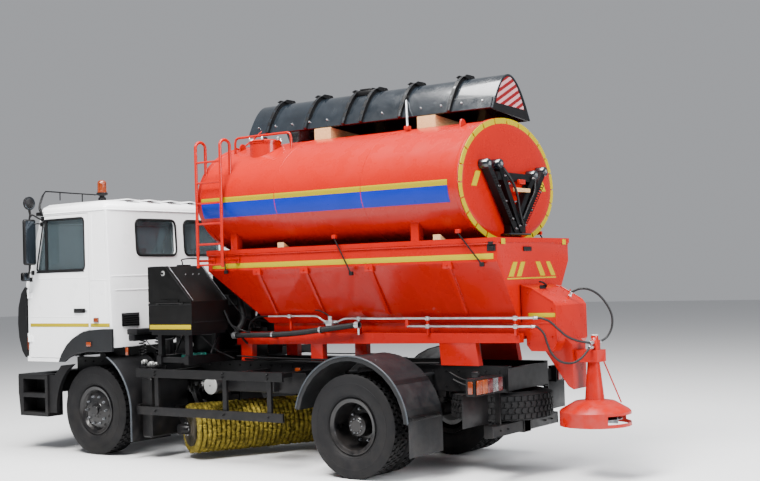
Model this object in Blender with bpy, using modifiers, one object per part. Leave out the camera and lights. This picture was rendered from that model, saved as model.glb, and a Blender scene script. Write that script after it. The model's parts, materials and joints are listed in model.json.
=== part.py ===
"""Combined road maintenance truck: a two-axle cab-over chassis that carries a salt
hopper with a rear spreading disc, a water tank, a sweeping brush between the axles
and a snow plough stowed on top of the tank.

+X is forwards, +Y is the truck's left and +Z is up, in metres. Every size below is
measured from the rear axle's vertical plane, the centre plane and the ground; the
empty "truck" then moves the whole to the middle of its own length.
"""
import bmesh
import bpy
from math import atan2, cos, degrees, hypot, pi, radians, sin, sqrt
from mathutils import Matrix, Vector

# ---------------------------------------------------------------- driving sizes
GAP = 0.0003                 # left between two solids that touch
RUN = 0.006                  # clearance of a moving piece
SIDES = {"left": 1, "right": -1}

# wheels
WHEELBASE = 3.95
TYRE_RADIUS = 0.5425
TYRE_WIDTH = 0.293
WHEEL_STEPS = 24
RIM_SEAT = 0.254
RIM_FLANGE = 0.290
RIM_HALF = 0.116
FRONT_WHEEL_Y = 1.02
TWIN_Y = 0.93                # middle of a pair of rear wheels
TWIN_SPACING = 0.32
HUB_BORE = 0.050
SPINDLE = 0.0488
DRUM_RADIUS = 0.205
DRUM_FACE = 0.10             # front drum's inboard face, from the tyre's middle
TWIN_DRUM_FACE = 0.24
AXLE_Z = TYRE_RADIUS * cos(pi / WHEEL_STEPS)   # a flat of the tyre is on the ground

# steering
KINGPIN_Y = 0.80
KINGPIN_RADIUS = 0.020
KINGPIN_BOSS = 0.045
BOSS_HALF = 0.075

# chassis rails
RAIL_Y = 0.43
RAIL_FLANGE = 0.075
RAIL_SHEET = 0.010
RAIL_TOP = 1.12
RAIL_HEIGHT = 0.27
RAIL_REAR = -1.40
SPRING_Y = 0.40
SPRING_WIDTH = 0.085
SPRING_HALF = 0.60
SPRING_EYE_Z = 0.760
SPRING_EYE = 0.030
SPRING_SAG = 0.075
LEAF = 0.013

# cab
CAB_HALF = 1.22
CAB_WALL = 0.045
CAB_BOTTOM = 1.12
CAB_REAR = 3.52
CAB_REAR_LEAN = 0.045        # forward lean of the rear wall per metre of height
CAB_FRONT = 5.22
CORNER = 0.11                # how far the front falls back at the sides
BELT_Z = 2.10
SCREEN_TOP_X = 4.90
GUTTER_Z = 2.955
ROOF_RISE = 0.165
FLOOR_Z = 1.36
FLOOR_SHEET = 0.03
TUNNEL_HALF = 0.40
TUNNEL_RISE = 0.27
# the wheel arch from the cab's rear to its foot, (x, z), and the edges of the flare over it
ARCH_CUT = ((3.70, 1.300), (3.95, 1.300), (4.15, 1.272), (4.30, 1.205), (4.42, CAB_BOTTOM))
FLARE_OUT = ((3.505, 1.532), (3.70, 1.528), (3.878, 1.517), (4.059, 1.482), (4.207, 1.415),
             (4.320, 1.334), (4.417, 1.223), (4.476, 1.123))
FLARE_IN = ((3.505, 1.259), (3.93, 1.254), (4.14, 1.226), (4.288, 1.172), (4.372, 1.123))
FLARE_PROUD = 0.045
DOOR_REAR = 3.93
DOOR_FRONT = 5.055
DOOR_TOP = 2.935
DOOR_BOTTOM = 1.17
DOOR_GAP = 0.006
DOOR_TOP_FRONT = 4.743
WINDOW_SILL = 2.25
WINDOW_TOP = 2.885
WINDOW_REAR = 4.00
WINDOW_FRONT = 4.90
GLASS = 0.006
CAB_PIVOT = (5.06, 1.155)     # x, z of the tilting axis
TILT_PIN = 0.018

# bumper
BUMPER_FRONT = 5.33
BUMPER_REAR = 5.10
BUMPER_TOP = 0.955
BUMPER_LOW = 0.68
STEP_LOW = 0.43
STEP_REAR = 4.74
STEP_DEPTH = 0.24
HITCH_PLATE = 0.05

# tank
TANK_REAR = -1.225
TANK_FRONT = 2.32
TANK_HALF = 1.00
TANK_RISE = 0.715
TANK_DROP = 0.625
TANK_Z = 2.975
TANK_DISH = 0.09
TANK_POINTS = 36

# hopper
HOPPER_REAR = -1.51
HOPPER_FRONT = 2.37
HOPPER_HALF = 0.77
HOPPER_BAND = 2.18
HOPPER_TOP = HOPPER_BAND + 0.24
HOPPER_LOW = 1.56
HOPPER_LOW_HALF = 0.36
HOPPER_LOW_FRONT = 1.80
HOPPER_SHEET = 0.014

# subframe of the body
BEAM_OUT = 0.46
BEAM_WIDTH = 0.09
BEAM_FRONT = 2.23
BEAM_REAR = -1.56
BEAM_TOP = 1.455
BEAM_LOW_FRONT = 1.31
BEAM_LOW_REAR = 1.36

# conveyor housing
CONVEYOR_HALF = 0.33
CONVEYOR_LOW = 1.27
CONVEYOR_REAR = -1.915
CONVEYOR_TOP = 1.94
CONVEYOR_TAIL_TOP = 1.755

# spreader
SPREADER_X = -2.14
SPREADER_SEAT = -1.985       # the chute's rear face, that carries the spreader's head
MOTOR_X = SPREADER_X - 0.025
HOSE_RADIUS = 0.012
HOOD_PORT = (-1.84, -0.10, 1.790)     # where the drain hose leaves the tail's sloping top
HOOD_NORMAL = (-0.47, 0.0, 0.883)
MOTOR_PORTS = {"upper": (0.085, 1.345), "lower": (0.105, 1.300), "loop": (-0.085, 1.345)}   # y, z
SHROUD_RADIUS = 0.36
SHROUD_LOW = 0.52
SHROUD_HIGH = 0.66
COLUMN_TOP = 1.20
DISC_RADIUS = 0.27

# brush, in the truck's frame
BRUSH_X = 2.085
BRUSH_Y = -0.135
BRUSH_ANGLE = radians(26)
BRUSH_HALF = 1.174
BRUSH_RADIUS = 0.295
BRUSH_Z = 0.355
BRUSH_PIVOT_AHEAD = 0.60
BRUSH_PIVOT_Z = 0.76
BRUSH_BEAM_AHEAD = 0.30

FRONT_END = BUMPER_FRONT + HITCH_PLATE
REAR_END = SPREADER_X - SHROUD_RADIUS
MIDDLE_X = (FRONT_END + REAR_END) / 2

# ---------------------------------------------------------------- scene and finishes
for old in list(bpy.data.objects):
    bpy.data.objects.remove(old, do_unlink=True)


def collection(name):
    """A new collection in the scene."""
    group = bpy.data.collections.new(name)
    bpy.context.scene.collection.children.link(group)
    return group


MODEL = collection("road_maintenance_truck")
TOOLS = collection("cutters")

FINISHES = {
    # name: (red, green, blue, roughness, metallic)
    "orange_paint": (0.86, 0.07, 0.03, 0.35, 0.0),
    "white_paint": (0.80, 0.81, 0.83, 0.30, 0.0),
    "black_paint": (0.02, 0.02, 0.022, 0.45, 0.0),
    "grey_plastic": (0.06, 0.065, 0.075, 0.55, 0.0),
    "tyre_rubber": (0.025, 0.025, 0.027, 0.85, 0.0),
    "wheel_paint": (0.035, 0.035, 0.04, 0.40, 0.0),
    "glass": (0.25, 0.30, 0.33, 0.05, 0.0),
    "steel": (0.55, 0.56, 0.58, 0.35, 1.0),
    "plough_paint": (0.10, 0.14, 0.17, 0.25, 0.0),
    "wood": (0.62, 0.42, 0.22, 0.80, 0.0),
    "bristle": (0.45, 0.36, 0.05, 0.90, 0.0),
    "amber": (0.95, 0.35, 0.03, 0.20, 0.0),
    "hose_rubber": (0.015, 0.015, 0.016, 0.60, 0.0),
}


def finish(name, piece):
    """A piece's own Principled material in one of the finishes."""
    red, green, blue, rough, metal = FINISHES[name]
    material = bpy.data.materials.new(f"{name}_{piece}")
    material.use_nodes = True
    shader = material.node_tree.nodes["Principled BSDF"]
    shader.inputs["Base Color"].default_value = (red, green, blue, 1)
    shader.inputs["Roughness"].default_value = rough
    shader.inputs["Metallic"].default_value = metal
    material.diffuse_color = (red, green, blue, 1)
    return material


PIVOT_AT = {}


def pivot(name, at, parent="truck"):
    """An empty on a joint's axis; what hangs on it keeps truck coordinates."""
    empty = bpy.data.objects.new(name, None)
    MODEL.objects.link(empty)
    PIVOT_AT[name] = Vector(at)
    if parent:
        empty.parent = bpy.data.objects[parent]
        empty.location = PIVOT_AT[name] - PIVOT_AT[parent]
    return empty


truck = pivot("truck", (0, 0, 0), parent=None)
truck.location = (-MIDDLE_X, 0, 0)


def piece(name, mesh, coat, on="truck", at=(0, 0, 0), turn=0.0):
    """One sub-part: its mesh, placed at a point and turned about its own Z."""
    part = bpy.data.objects.new(name, mesh)
    MODEL.objects.link(part)
    part.parent = bpy.data.objects[on]
    part.location = Vector(at) - PIVOT_AT[on]
    part.rotation_euler = (0, 0, turn)
    if not mesh.materials:
        mesh.materials.append(None)
    part.material_slots[0].link = "OBJECT"
    part.material_slots[0].material = finish(coat, name)
    return part


# ---------------------------------------------------------------- modelling tools
def evaluated(part):
    """The mesh an object shows, welded; the object itself is removed."""
    bpy.context.view_layer.update()
    shown = part.evaluated_get(bpy.context.evaluated_depsgraph_get())
    mesh = bpy.data.meshes.new_from_object(shown)
    mesh.transform(part.matrix_world)
    bpy.data.objects.remove(part, do_unlink=True)
    form = bmesh.new()
    form.from_mesh(mesh)
    bmesh.ops.remove_doubles(form, verts=form.verts, dist=1e-5)
    bmesh.ops.recalc_face_normals(form, faces=form.faces)
    form.to_mesh(mesh)
    form.free()
    return mesh


def loose(mesh_or_curve, name="tool"):
    """A working object that is not part of the model."""
    part = bpy.data.objects.new(name, mesh_or_curve)
    TOOLS.objects.link(part)
    part.hide_render = True
    part.display_type = "WIRE"
    return part


def combined(base, others, operation, solver="EXACT"):
    """The base mesh joined with, or cut by, each of the others."""
    body = loose(base)
    tools = [loose(other) for other in others]
    for tool in tools:
        step = body.modifiers.new(operation.lower(), "BOOLEAN")
        step.operation = operation
        step.solver = solver
        step.object = tool
    mesh = evaluated(body)
    for tool in tools:
        bpy.data.objects.remove(tool, do_unlink=True)
    return mesh


def fused(base, *others):
    return combined(base, others, "UNION")


def welded(base, *others):
    """A join by the other solver, for pieces on which the exact one drops faces."""
    return combined(base, others, "UNION", "MANIFOLD")


def cut(base, *others):
    return combined(base, others, "DIFFERENCE")


def block(xs, ys, zs, bevel=0.0):
    """A box between two values on each axis, with its edges bevelled."""
    lows = [min(pair) for pair in (xs, ys, zs)]
    sizes = [abs(pair[1] - pair[0]) for pair in (xs, ys, zs)]
    middle = [low + size / 2 for low, size in zip(lows, sizes)]
    form = bmesh.new()
    bmesh.ops.create_cube(form, size=1)
    bmesh.ops.scale(form, vec=sizes, verts=form.verts)
    bmesh.ops.translate(form, vec=middle, verts=form.verts)
    if bevel:
        bmesh.ops.bevel(form, geom=form.edges[:], offset=bevel, segments=1, affect="EDGES")
    mesh = bpy.data.meshes.new("block")
    form.to_mesh(mesh)
    form.free()
    return mesh


PLANES = {
    # axis the plate is thick along: where the outline's u, v and the thickness go
    "x": Matrix(((0, 0, 1, 0), (1, 0, 0, 0), (0, 1, 0, 0), (0, 0, 0, 1))),
    "y": Matrix(((1, 0, 0, 0), (0, 0, -1, 0), (0, 1, 0, 0), (0, 0, 0, 1))),
    "z": Matrix.Identity(4),
}


def plate(axis, span, outline, *holes):
    """A flat outline with holes, thick between the two values of span on one axis.

    The outline is in (y, z) for axis x, in (x, z) for axis y and in (x, y) for z."""
    curve = bpy.data.curves.new("outline", "CURVE")
    curve.dimensions = "2D"
    curve.fill_mode = "BOTH"
    curve.extrude = abs(span[1] - span[0]) / 2
    for loop in (outline, *holes):
        line = curve.splines.new("POLY")
        line.points.add(len(loop) - 1)
        for point, (u, v) in zip(line.points, loop):
            point.co = (u, v, 0, 1)
        line.use_cyclic_u = True
    middle = (span[0] + span[1]) / 2
    shift = Vector([middle if letter == axis else 0 for letter in "xyz"])
    part = loose(curve)
    part.matrix_world = Matrix.Translation(shift) @ PLANES[axis]
    return evaluated(part)


AXES = {"x": Matrix.Rotation(pi / 2, 4, "Y"), "y": Matrix.Rotation(-pi / 2, 4, "X"),
        "z": Matrix.Identity(4)}


def turned(profile, at=(0, 0, 0), axis="z", steps=16, start=0.0):
    """A solid of revolution. Profile points are (radius, height along the axis)."""
    mesh = bpy.data.meshes.new("profile")
    closed = profile[0][0] > 0
    count = len(profile)
    edges = [(i, (i + 1) % count) for i in range(count if closed else count - 1)]
    mesh.from_pydata([(radius, 0, height) for radius, height in profile], edges, [])
    part = loose(mesh)
    screw = part.modifiers.new("turn", "SCREW")
    screw.steps = screw.render_steps = steps
    screw.use_merge_vertices = True
    screw.merge_threshold = 1e-5
    part.matrix_world = (Matrix.Translation(at) @ AXES[axis] @ Matrix.Rotation(start, 4, "Z"))
    return evaluated(part)


def rod(start, end, radius, sides=8):
    """A straight round bar between two points."""
    start, end = Vector(start), Vector(end)
    form = bmesh.new()
    bmesh.ops.create_cone(form, cap_ends=True, segments=sides, radius1=radius, radius2=radius,
                          depth=(end - start).length)
    turn = Vector((0, 0, 1)).rotation_difference(end - start).to_matrix().to_4x4()
    form.transform(Matrix.Translation((start + end) / 2) @ turn)
    mesh = bpy.data.meshes.new("rod")
    form.to_mesh(mesh)
    form.free()
    return mesh


def tube(points, radius, resolution=1):
    """A round bar bent through the points, with flat ends."""
    curve = bpy.data.curves.new("tube", "CURVE")
    curve.dimensions = "3D"
    curve.bevel_depth = radius
    curve.bevel_resolution = resolution
    curve.use_fill_caps = True
    line = curve.splines.new("POLY")
    line.points.add(len(points) - 1)
    for point, place in zip(line.points, points):
        point.co = (*place, 1)
    return evaluated(loose(curve))


def lofted(rings):
    """A closed solid through rings of like numbers of points."""
    form = bmesh.new()
    rows = [[form.verts.new(point) for point in ring] for ring in rings]
    for low, high in zip(rows, rows[1:]):
        for i in range(len(low)):
            j = (i + 1) % len(low)
            form.faces.new((low[i], low[j], high[j], high[i]))
    form.faces.new(rows[0][::-1])
    form.faces.new(rows[-1])
    bmesh.ops.recalc_face_normals(form, faces=form.faces)
    mesh = bpy.data.meshes.new("loft")
    form.to_mesh(mesh)
    form.free()
    return mesh


def arc(centre, radius, start, end, count):
    """Points of an arc, angles in degrees."""
    step = radians(end - start) / (count - 1)
    return [(centre[0] + radius * cos(radians(start) + step * i),
             centre[1] + radius * sin(radians(start) + step * i)) for i in range(count)]


def rounded(low, high, radius, count=4):
    """A rectangle with round corners, as an outline."""
    (u0, v0), (u1, v1) = low, high
    corners = ((u1 - radius, v1 - radius, 0), (u0 + radius, v1 - radius, 90),
               (u0 + radius, v0 + radius, 180), (u1 - radius, v0 + radius, 270))
    return [point for u, v, turn in corners
            for point in arc((u, v), radius, turn, turn + 90, count)]


def circle(centre, radius, count=16):
    """A full round outline."""
    return arc(centre, radius, 0, 360 * (1 - 1 / count), count)


def moved(mesh, matrix):
    """A copy of a mesh, moved; mirrored copies are turned the right way out."""
    copy = mesh.copy()
    copy.transform(matrix)
    if matrix.determinant() < 0:
        copy.flip_normals()
    return copy


def on_side(mesh, side):
    """A mesh made for the left, for either side."""
    return mesh if side > 0 else moved(mesh, Matrix.Scale(-1, 4, (0, 1, 0)))


# ---------------------------------------------------------------- wheels and tyres
def tyre():
    """Beads on the rim's seat, sidewalls that bulge, and a flat tread band."""
    side = [  # distance from the middle plane, radius
        (RIM_HALF - 0.0143, RIM_SEAT + GAP), (RIM_HALF - 0.0143, RIM_FLANGE + 0.006),
        (TYRE_WIDTH / 2, 0.72 * TYRE_RADIUS), (TYRE_WIDTH / 2 - 0.008, TYRE_RADIUS - 0.040),
        (TYRE_WIDTH / 2 - 0.036, TYRE_RADIUS)]
    profile = [(r, w) for w, r in side] + [(r, -w) for w, r in reversed(side)]
    return turned(profile, axis="y", steps=WHEEL_STEPS, start=pi / WHEEL_STEPS)


RIM_HOOK = (RIM_SEAT - 0.010, RIM_HALF - 0.012)   # where a rim's skin turns under its lip


def rim_seat(middle):
    """Flange, seat and flange of one rim, from its outer lip inwards."""
    half = RIM_HALF
    ring = [(RIM_FLANGE, half + 0.004), (RIM_FLANGE, half - 0.014),
            (RIM_SEAT, half - 0.014), (RIM_SEAT, -half + 0.014), (RIM_FLANGE, -half + 0.014),
            (RIM_FLANGE, -half - 0.004)]
    return [(r, middle + w) for r, w in ring]


def front_rim():
    """Disc wheel with its hub outermost and its brake drum inboard."""
    hub = [(0, 0.140), (0.060, 0.140), (0.070, 0.105), (0.145, 0.095), (0.222, 0.074), RIM_HOOK]
    back = [(RIM_HOOK[0], -RIM_HOOK[1]), (DRUM_RADIUS, 0.036), (DRUM_RADIUS, -DRUM_FACE),
            (HUB_BORE, -DRUM_FACE), (HUB_BORE, 0.050), (0, 0.050)]
    return turned(hub + rim_seat(0) + back, axis="y", steps=WHEEL_STEPS,
                  start=pi / WHEEL_STEPS)


def twin_rim():
    """Two disc wheels back to back on one hub, with the drum inside the inner one."""
    outer, inner = TWIN_SPACING / 2, -TWIN_SPACING / 2
    hub = [(0, 0.215), (0.085, 0.215), (0.112, 0.190), (0.118, 0.060), (0.212, 0.044),
           (RIM_HOOK[0], outer + RIM_HOOK[1])]
    back = [(RIM_HOOK[0], inner - RIM_HOOK[1]), (DRUM_RADIUS, -0.045), (DRUM_RADIUS, -TWIN_DRUM_FACE),
            (HUB_BORE, -TWIN_DRUM_FACE), (HUB_BORE, -0.020), (0, -0.020)]
    profile = hub + rim_seat(outer) + rim_seat(inner) + back
    return turned(profile, axis="y", steps=WHEEL_STEPS, start=pi / WHEEL_STEPS)


def spare_rim():
    """A plain disc wheel."""
    disc = [(0.110, 0.050), (0.232, 0.040), RIM_HOOK]
    back = [(RIM_HOOK[0], -RIM_HOOK[1]), (0.228, 0.020), (0.110, 0.030)]
    return turned(disc + rim_seat(0) + back, axis="y", steps=WHEEL_STEPS,
                  start=pi / WHEEL_STEPS)


tyre_mesh = tyre()
front_rim_mesh = front_rim()
twin_rim_mesh = twin_rim()

for side_name, side in SIDES.items():
    half_turn = 0 if side > 0 else pi
    kingpin_at = (WHEELBASE, side * KINGPIN_Y, AXLE_Z)
    front_at = (WHEELBASE, side * FRONT_WHEEL_Y, AXLE_Z)
    pivot(f"steer_{side_name}", kingpin_at)
    pivot(f"front_hub_{side_name}", front_at, f"steer_{side_name}")
    piece(f"front_tyre_{side_name}", tyre_mesh, "tyre_rubber", f"front_hub_{side_name}",
          front_at, half_turn)
    piece(f"front_rim_{side_name}", front_rim_mesh, "wheel_paint", f"front_hub_{side_name}",
          front_at, half_turn)
    twin_at = (0, side * TWIN_Y, AXLE_Z)
    pivot(f"rear_hub_{side_name}", twin_at)
    piece(f"rear_rims_{side_name}", twin_rim_mesh, "wheel_paint", f"rear_hub_{side_name}",
          twin_at, half_turn)
    for row, step in (("outer", 1), ("inner", -1)):
        tyre_at = (0, side * (TWIN_Y + step * TWIN_SPACING / 2), AXLE_Z)
        piece(f"rear_tyre_{row}_{side_name}", tyre_mesh, "tyre_rubber",
              f"rear_hub_{side_name}", tyre_at, half_turn)


# ---------------------------------------------------------------- axles, knuckles, springs
def spring(stem):
    """A leaf spring: a bowed pack that gets thicker towards its middle, with two eyes."""
    count = 9
    xs = [-SPRING_HALF + 2 * SPRING_HALF * i / (count - 1) for i in range(count)]

    def bow(x):
        return SPRING_EYE_Z - SPRING_SAG * (1 - (x / SPRING_HALF) ** 2)

    leaves = ((1.00, 1), (0.72, 2), (0.50, 3), (0.30, 4))   # share of the half length, leaf
    top = [(stem + x, bow(x) + LEAF / 2) for x in xs]
    under = []
    for share, number in leaves:
        reach = share * SPRING_HALF
        shorter = leaves[number][0] * SPRING_HALF if number < len(leaves) else 0
        depth = LEAF * (number - 0.5)
        under += [(reach, bow(reach) - depth)]
        if shorter:
            under += [(shorter, bow(shorter) - depth)]
    low = ([(stem + x, z) for x, z in under] + [(stem - x, z) for x, z in reversed(under)])
    span = (SPRING_Y - SPRING_WIDTH / 2, SPRING_Y + SPRING_WIDTH / 2)
    pack = plate("y", span, top + low)
    eyes = [rod((stem + end * SPRING_HALF, span[0] - 0.004, SPRING_EYE_Z),
                (stem + end * SPRING_HALF, span[1] + 0.004, SPRING_EYE_Z), SPRING_EYE, 10)
            for end in (1, -1)]
    return fused(pack, *eyes)


SPRING_UNDER = SPRING_EYE_Z - SPRING_SAG - 3.5 * LEAF    # bottom of the pack's middle


def sprung(stem, low):
    """The two springs and the seats that carry them on an axle."""
    seats = [block((stem - 0.07, stem + 0.07), (side * (SPRING_Y - 0.05), side * (SPRING_Y + 0.05)),
                   (low, SPRING_UNDER + 0.01)) for side in SIDES.values()]
    return seats + [on_side(spring(stem), side) for side in SIDES.values()]


def front_axle():
    """A dropped beam between two kingpin bosses, with the springs' seats."""
    drop, half = 0.060, 0.045
    end = KINGPIN_Y - 0.012
    upper = [(end, AXLE_Z + half), (0.62, AXLE_Z + half), (0.52, AXLE_Z + half - drop)]
    lower = [(0.54, AXLE_Z - half - drop), (0.66, AXLE_Z - half), (end, AXLE_Z - half)]
    outline = (upper + [(-u, v) for u, v in reversed(upper)]
               + [(-u, v) for u, v in reversed(lower)] + lower)
    beam = plate("x", (WHEELBASE - 0.045, WHEELBASE + 0.045), outline)
    bosses = [rod((WHEELBASE, side * KINGPIN_Y, AXLE_Z - BOSS_HALF),
                  (WHEELBASE, side * KINGPIN_Y, AXLE_Z + BOSS_HALF), KINGPIN_BOSS + 0.012, 16)
              for side in SIDES.values()]
    bores = [rod((WHEELBASE, side * KINGPIN_Y, AXLE_Z - 0.2),
                 (WHEELBASE, side * KINGPIN_Y, AXLE_Z + 0.2), KINGPIN_RADIUS + 0.0008, 16)
             for side in SIDES.values()]
    solid = welded(beam, *bosses, *sprung(WHEELBASE, AXLE_Z + half - drop - 0.02))
    return cut(solid, *bores)


piece("front_axle", front_axle(), "black_paint")


def knuckle():
    """A yoke round the kingpin boss, with its pin, spindle, brake plate and arm."""
    arm, top = 0.038, BOSS_HALF + 0.001
    back = FRONT_WHEEL_Y - DRUM_FACE - RUN
    root = KINGPIN_Y + KINGPIN_BOSS + 0.012 + RUN
    outline = [(KINGPIN_Y - 0.045, AXLE_Z + top), (root, AXLE_Z + top), (root, AXLE_Z - top),
               (KINGPIN_Y - 0.045, AXLE_Z - top), (KINGPIN_Y - 0.045, AXLE_Z - top - arm),
               (back - 0.008, AXLE_Z - top - arm), (back - 0.008, AXLE_Z + top + arm),
               (KINGPIN_Y - 0.045, AXLE_Z + top + arm)]
    yoke = plate("x", (WHEELBASE - 0.045, WHEELBASE + 0.045), outline)
    pin = rod((WHEELBASE, KINGPIN_Y, AXLE_Z - top - 0.01),
              (WHEELBASE, KINGPIN_Y, AXLE_Z + top + 0.01), KINGPIN_RADIUS, 16)
    plate_disc = rod((WHEELBASE, back - 0.012, AXLE_Z), (WHEELBASE, back, AXLE_Z), 0.185, 24)
    spindle = turned([(0, back - 0.004), (SPINDLE, back - 0.004),
                      (SPINDLE, FRONT_WHEEL_Y + 0.044), (0, FRONT_WHEEL_Y + 0.044)],
                     (WHEELBASE, 0, AXLE_Z), "y", WHEEL_STEPS, pi / WHEEL_STEPS)
    lever = block((WHEELBASE - 0.24, WHEELBASE - 0.04), (KINGPIN_Y - 0.04, KINGPIN_Y),
                  (AXLE_Z - top - arm, AXLE_Z - top - 0.008))
    return fused(yoke, pin, plate_disc, spindle, lever)


knuckle_mesh = knuckle()
for side_name, side in SIDES.items():
    piece(f"knuckle_{side_name}", on_side(knuckle_mesh, side), "black_paint",
          f"steer_{side_name}")


def rear_axle():
    """A banjo housing with tapering arms out to the spindles, and the springs' seats."""
    face = TWIN_Y - TWIN_DRUM_FACE - RUN
    half = [(SPINDLE, TWIN_Y - 0.026), (SPINDLE, face), (0.150, face), (0.150, face - 0.012),
            (0.075, face - 0.014), (0.075, 0.46), (0.095, 0.30), (0.200, 0.17), (0.235, 0.06)]
    profile = [(0, TWIN_Y - 0.026)] + half + [(r, -y) for r, y in reversed(half)]
    housing = turned(profile + [(0, -(TWIN_Y - 0.026))], (0, 0, AXLE_Z), "y", 16)
    nose = rod((0.15, 0, AXLE_Z + 0.02), (0.38, 0, AXLE_Z + 0.066), 0.085, 16)
    return fused(housing, nose, *sprung(0, AXLE_Z))


piece("rear_axle", rear_axle(), "black_paint")


# ---------------------------------------------------------------- chassis frame
RAIL_LOW = RAIL_TOP - RAIL_HEIGHT
RAIL_FRONT = BUMPER_REAR - GAP
CROSS_MEMBERS = (  # x, half length, low, high
    (RAIL_REAR + 0.03, 0.03, RAIL_LOW + 0.02, RAIL_TOP - 0.02),
    (-0.42, 0.03, RAIL_LOW + 0.06, RAIL_TOP - 0.04),
    (0.75, 0.03, RAIL_LOW + 0.12, RAIL_TOP - 0.04),
    (1.60, 0.03, RAIL_LOW + 0.12, RAIL_TOP - 0.04),
    (2.86, 0.03, RAIL_LOW + 0.002, RAIL_LOW + 0.022),
    (RAIL_FRONT - 0.06, 0.05, RAIL_LOW + 0.02, RAIL_TOP - 0.02))
MOUNT_POST_X = (CAB_REAR + 0.085, CAB_REAR + 0.145)


def brush_frame_place(ahead, along, z):
    """A point given in the brush's own directions, in the truck's frame."""
    return Vector((BRUSH_X + ahead * cos(BRUSH_ANGLE) + along * sin(BRUSH_ANGLE),
                   BRUSH_Y - ahead * sin(BRUSH_ANGLE) + along * cos(BRUSH_ANGLE), z))


BRUSH_TURN = Matrix.Translation((BRUSH_X, BRUSH_Y, 0)) @ Matrix.Rotation(-BRUSH_ANGLE, 4, "Z")
# where the lifting axis passes under each rail, along the brush
LIFT_AT = [(side * SPRING_Y - BRUSH_Y + BRUSH_PIVOT_AHEAD * sin(BRUSH_ANGLE)) / cos(BRUSH_ANGLE)
           for side in (1, -1)]
LIFT_PIN = 0.018
LIFT_ARM = 0.030             # half width of a lifting arm


def brush_hanger(along):
    """Two cheeks under a rail with the lifting pin through them."""
    cheek = [(BRUSH_PIVOT_AHEAD - 0.07, RAIL_LOW + 0.004), (BRUSH_PIVOT_AHEAD - 0.03, 0.725),
             (BRUSH_PIVOT_AHEAD + 0.03, 0.725), (BRUSH_PIVOT_AHEAD + 0.07, RAIL_LOW + 0.004)]
    cheeks = [plate("y", (along + s * (LIFT_ARM + 0.006), along + s * (LIFT_ARM + 0.016)), cheek)
              for s in (1, -1)]
    pin = rod((BRUSH_PIVOT_AHEAD, along - LIFT_ARM - 0.02, BRUSH_PIVOT_Z),
              (BRUSH_PIVOT_AHEAD, along + LIFT_ARM + 0.02, BRUSH_PIVOT_Z), LIFT_PIN, 12)
    return [moved(mesh, BRUSH_TURN) for mesh in (*cheeks, pin)]


def frame():
    """Two channel rails, their cross members and everything riveted to them."""
    outer, inner = RAIL_Y, RAIL_Y - RAIL_FLANGE
    web = RAIL_Y - RAIL_SHEET
    channel = [(outer, RAIL_LOW), (outer, RAIL_TOP), (inner, RAIL_TOP),
               (inner, RAIL_TOP - RAIL_SHEET), (web, RAIL_TOP - RAIL_SHEET),
               (web, RAIL_LOW + RAIL_SHEET), (inner, RAIL_LOW + RAIL_SHEET), (inner, RAIL_LOW)]
    rail = plate("x", (RAIL_REAR, RAIL_FRONT), channel)
    added = [on_side(rail, -1)]
    for x, half, low, high in CROSS_MEMBERS:
        added.append(block((x - half, x + half), (-web - 0.004, web + 0.004), (low, high)))
    for side in SIDES.values():
        for stem in (WHEELBASE, 0):
            for end in (1, -1):
                x = stem + end * SPRING_HALF
                added.append(block((x - 0.05, x + 0.05),
                                   (side * (SPRING_Y - 0.035), side * (SPRING_Y + 0.028)),
                                   (SPRING_EYE_Z + SPRING_EYE + GAP, RAIL_LOW + 0.005)))
        # cab's rear rest and its front tilting bracket
        added.append(block(MOUNT_POST_X, (side * (RAIL_Y - 0.07), side * (RAIL_Y - 0.005)),
                           (RAIL_TOP - 0.005, FLOOR_Z - GAP)))
        x, z = CAB_PIVOT
        cheek = [(x - 0.05, RAIL_TOP - 0.005), (x + 0.035, RAIL_TOP - 0.005), (x + 0.024, z + 0.024),
                 (x - 0.024, z + 0.024)]
        span = (side * (RAIL_Y - 0.045), side * (RAIL_Y - 0.030))
        added.append(plate("y", span, cheek))
        added.append(rod((x, side * (RAIL_Y - 0.065), z), (x, side * (RAIL_Y - 0.010), z),
                         TILT_PIN, 12))
    for along in LIFT_AT:
        added += brush_hanger(along)
    added.append(turned([(0, 0), (0.10, 0), (0.10, 0.50), (0.07, 0.54), (0, 0.55)],
                        (2.20, RAIL_Y - 0.008, 0.87), "y", 16))
    for xs, ys, zs, edge in RAIL_BOXES:
        side = 1 if ys[0] > 0 else -1
        added.append(block(xs, ys, zs, edge))
        added.append(block((xs[1] - 0.12, xs[1] - 0.05), (side * (RAIL_Y - 0.005), ys[0] + side * 0.02),
                           (zs[1] - 0.08, zs[1] - 0.02)))
    return fused(rail, *added, *rear_fittings())


RAIL_BOXES = (  # x, y, z, edge: the battery box behind the left front wheel, and the fuel tank
    ((3.00, 3.165), (0.50, 1.13), (0.25, 0.95), 0.02),
    ((2.60, 3.14), (-0.52, -1.10), (0.44, 0.94), 0.05))
UNDERRUN_ARM_Y = 0.515
LAMP_Y = (0.58, 1.12)


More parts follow.
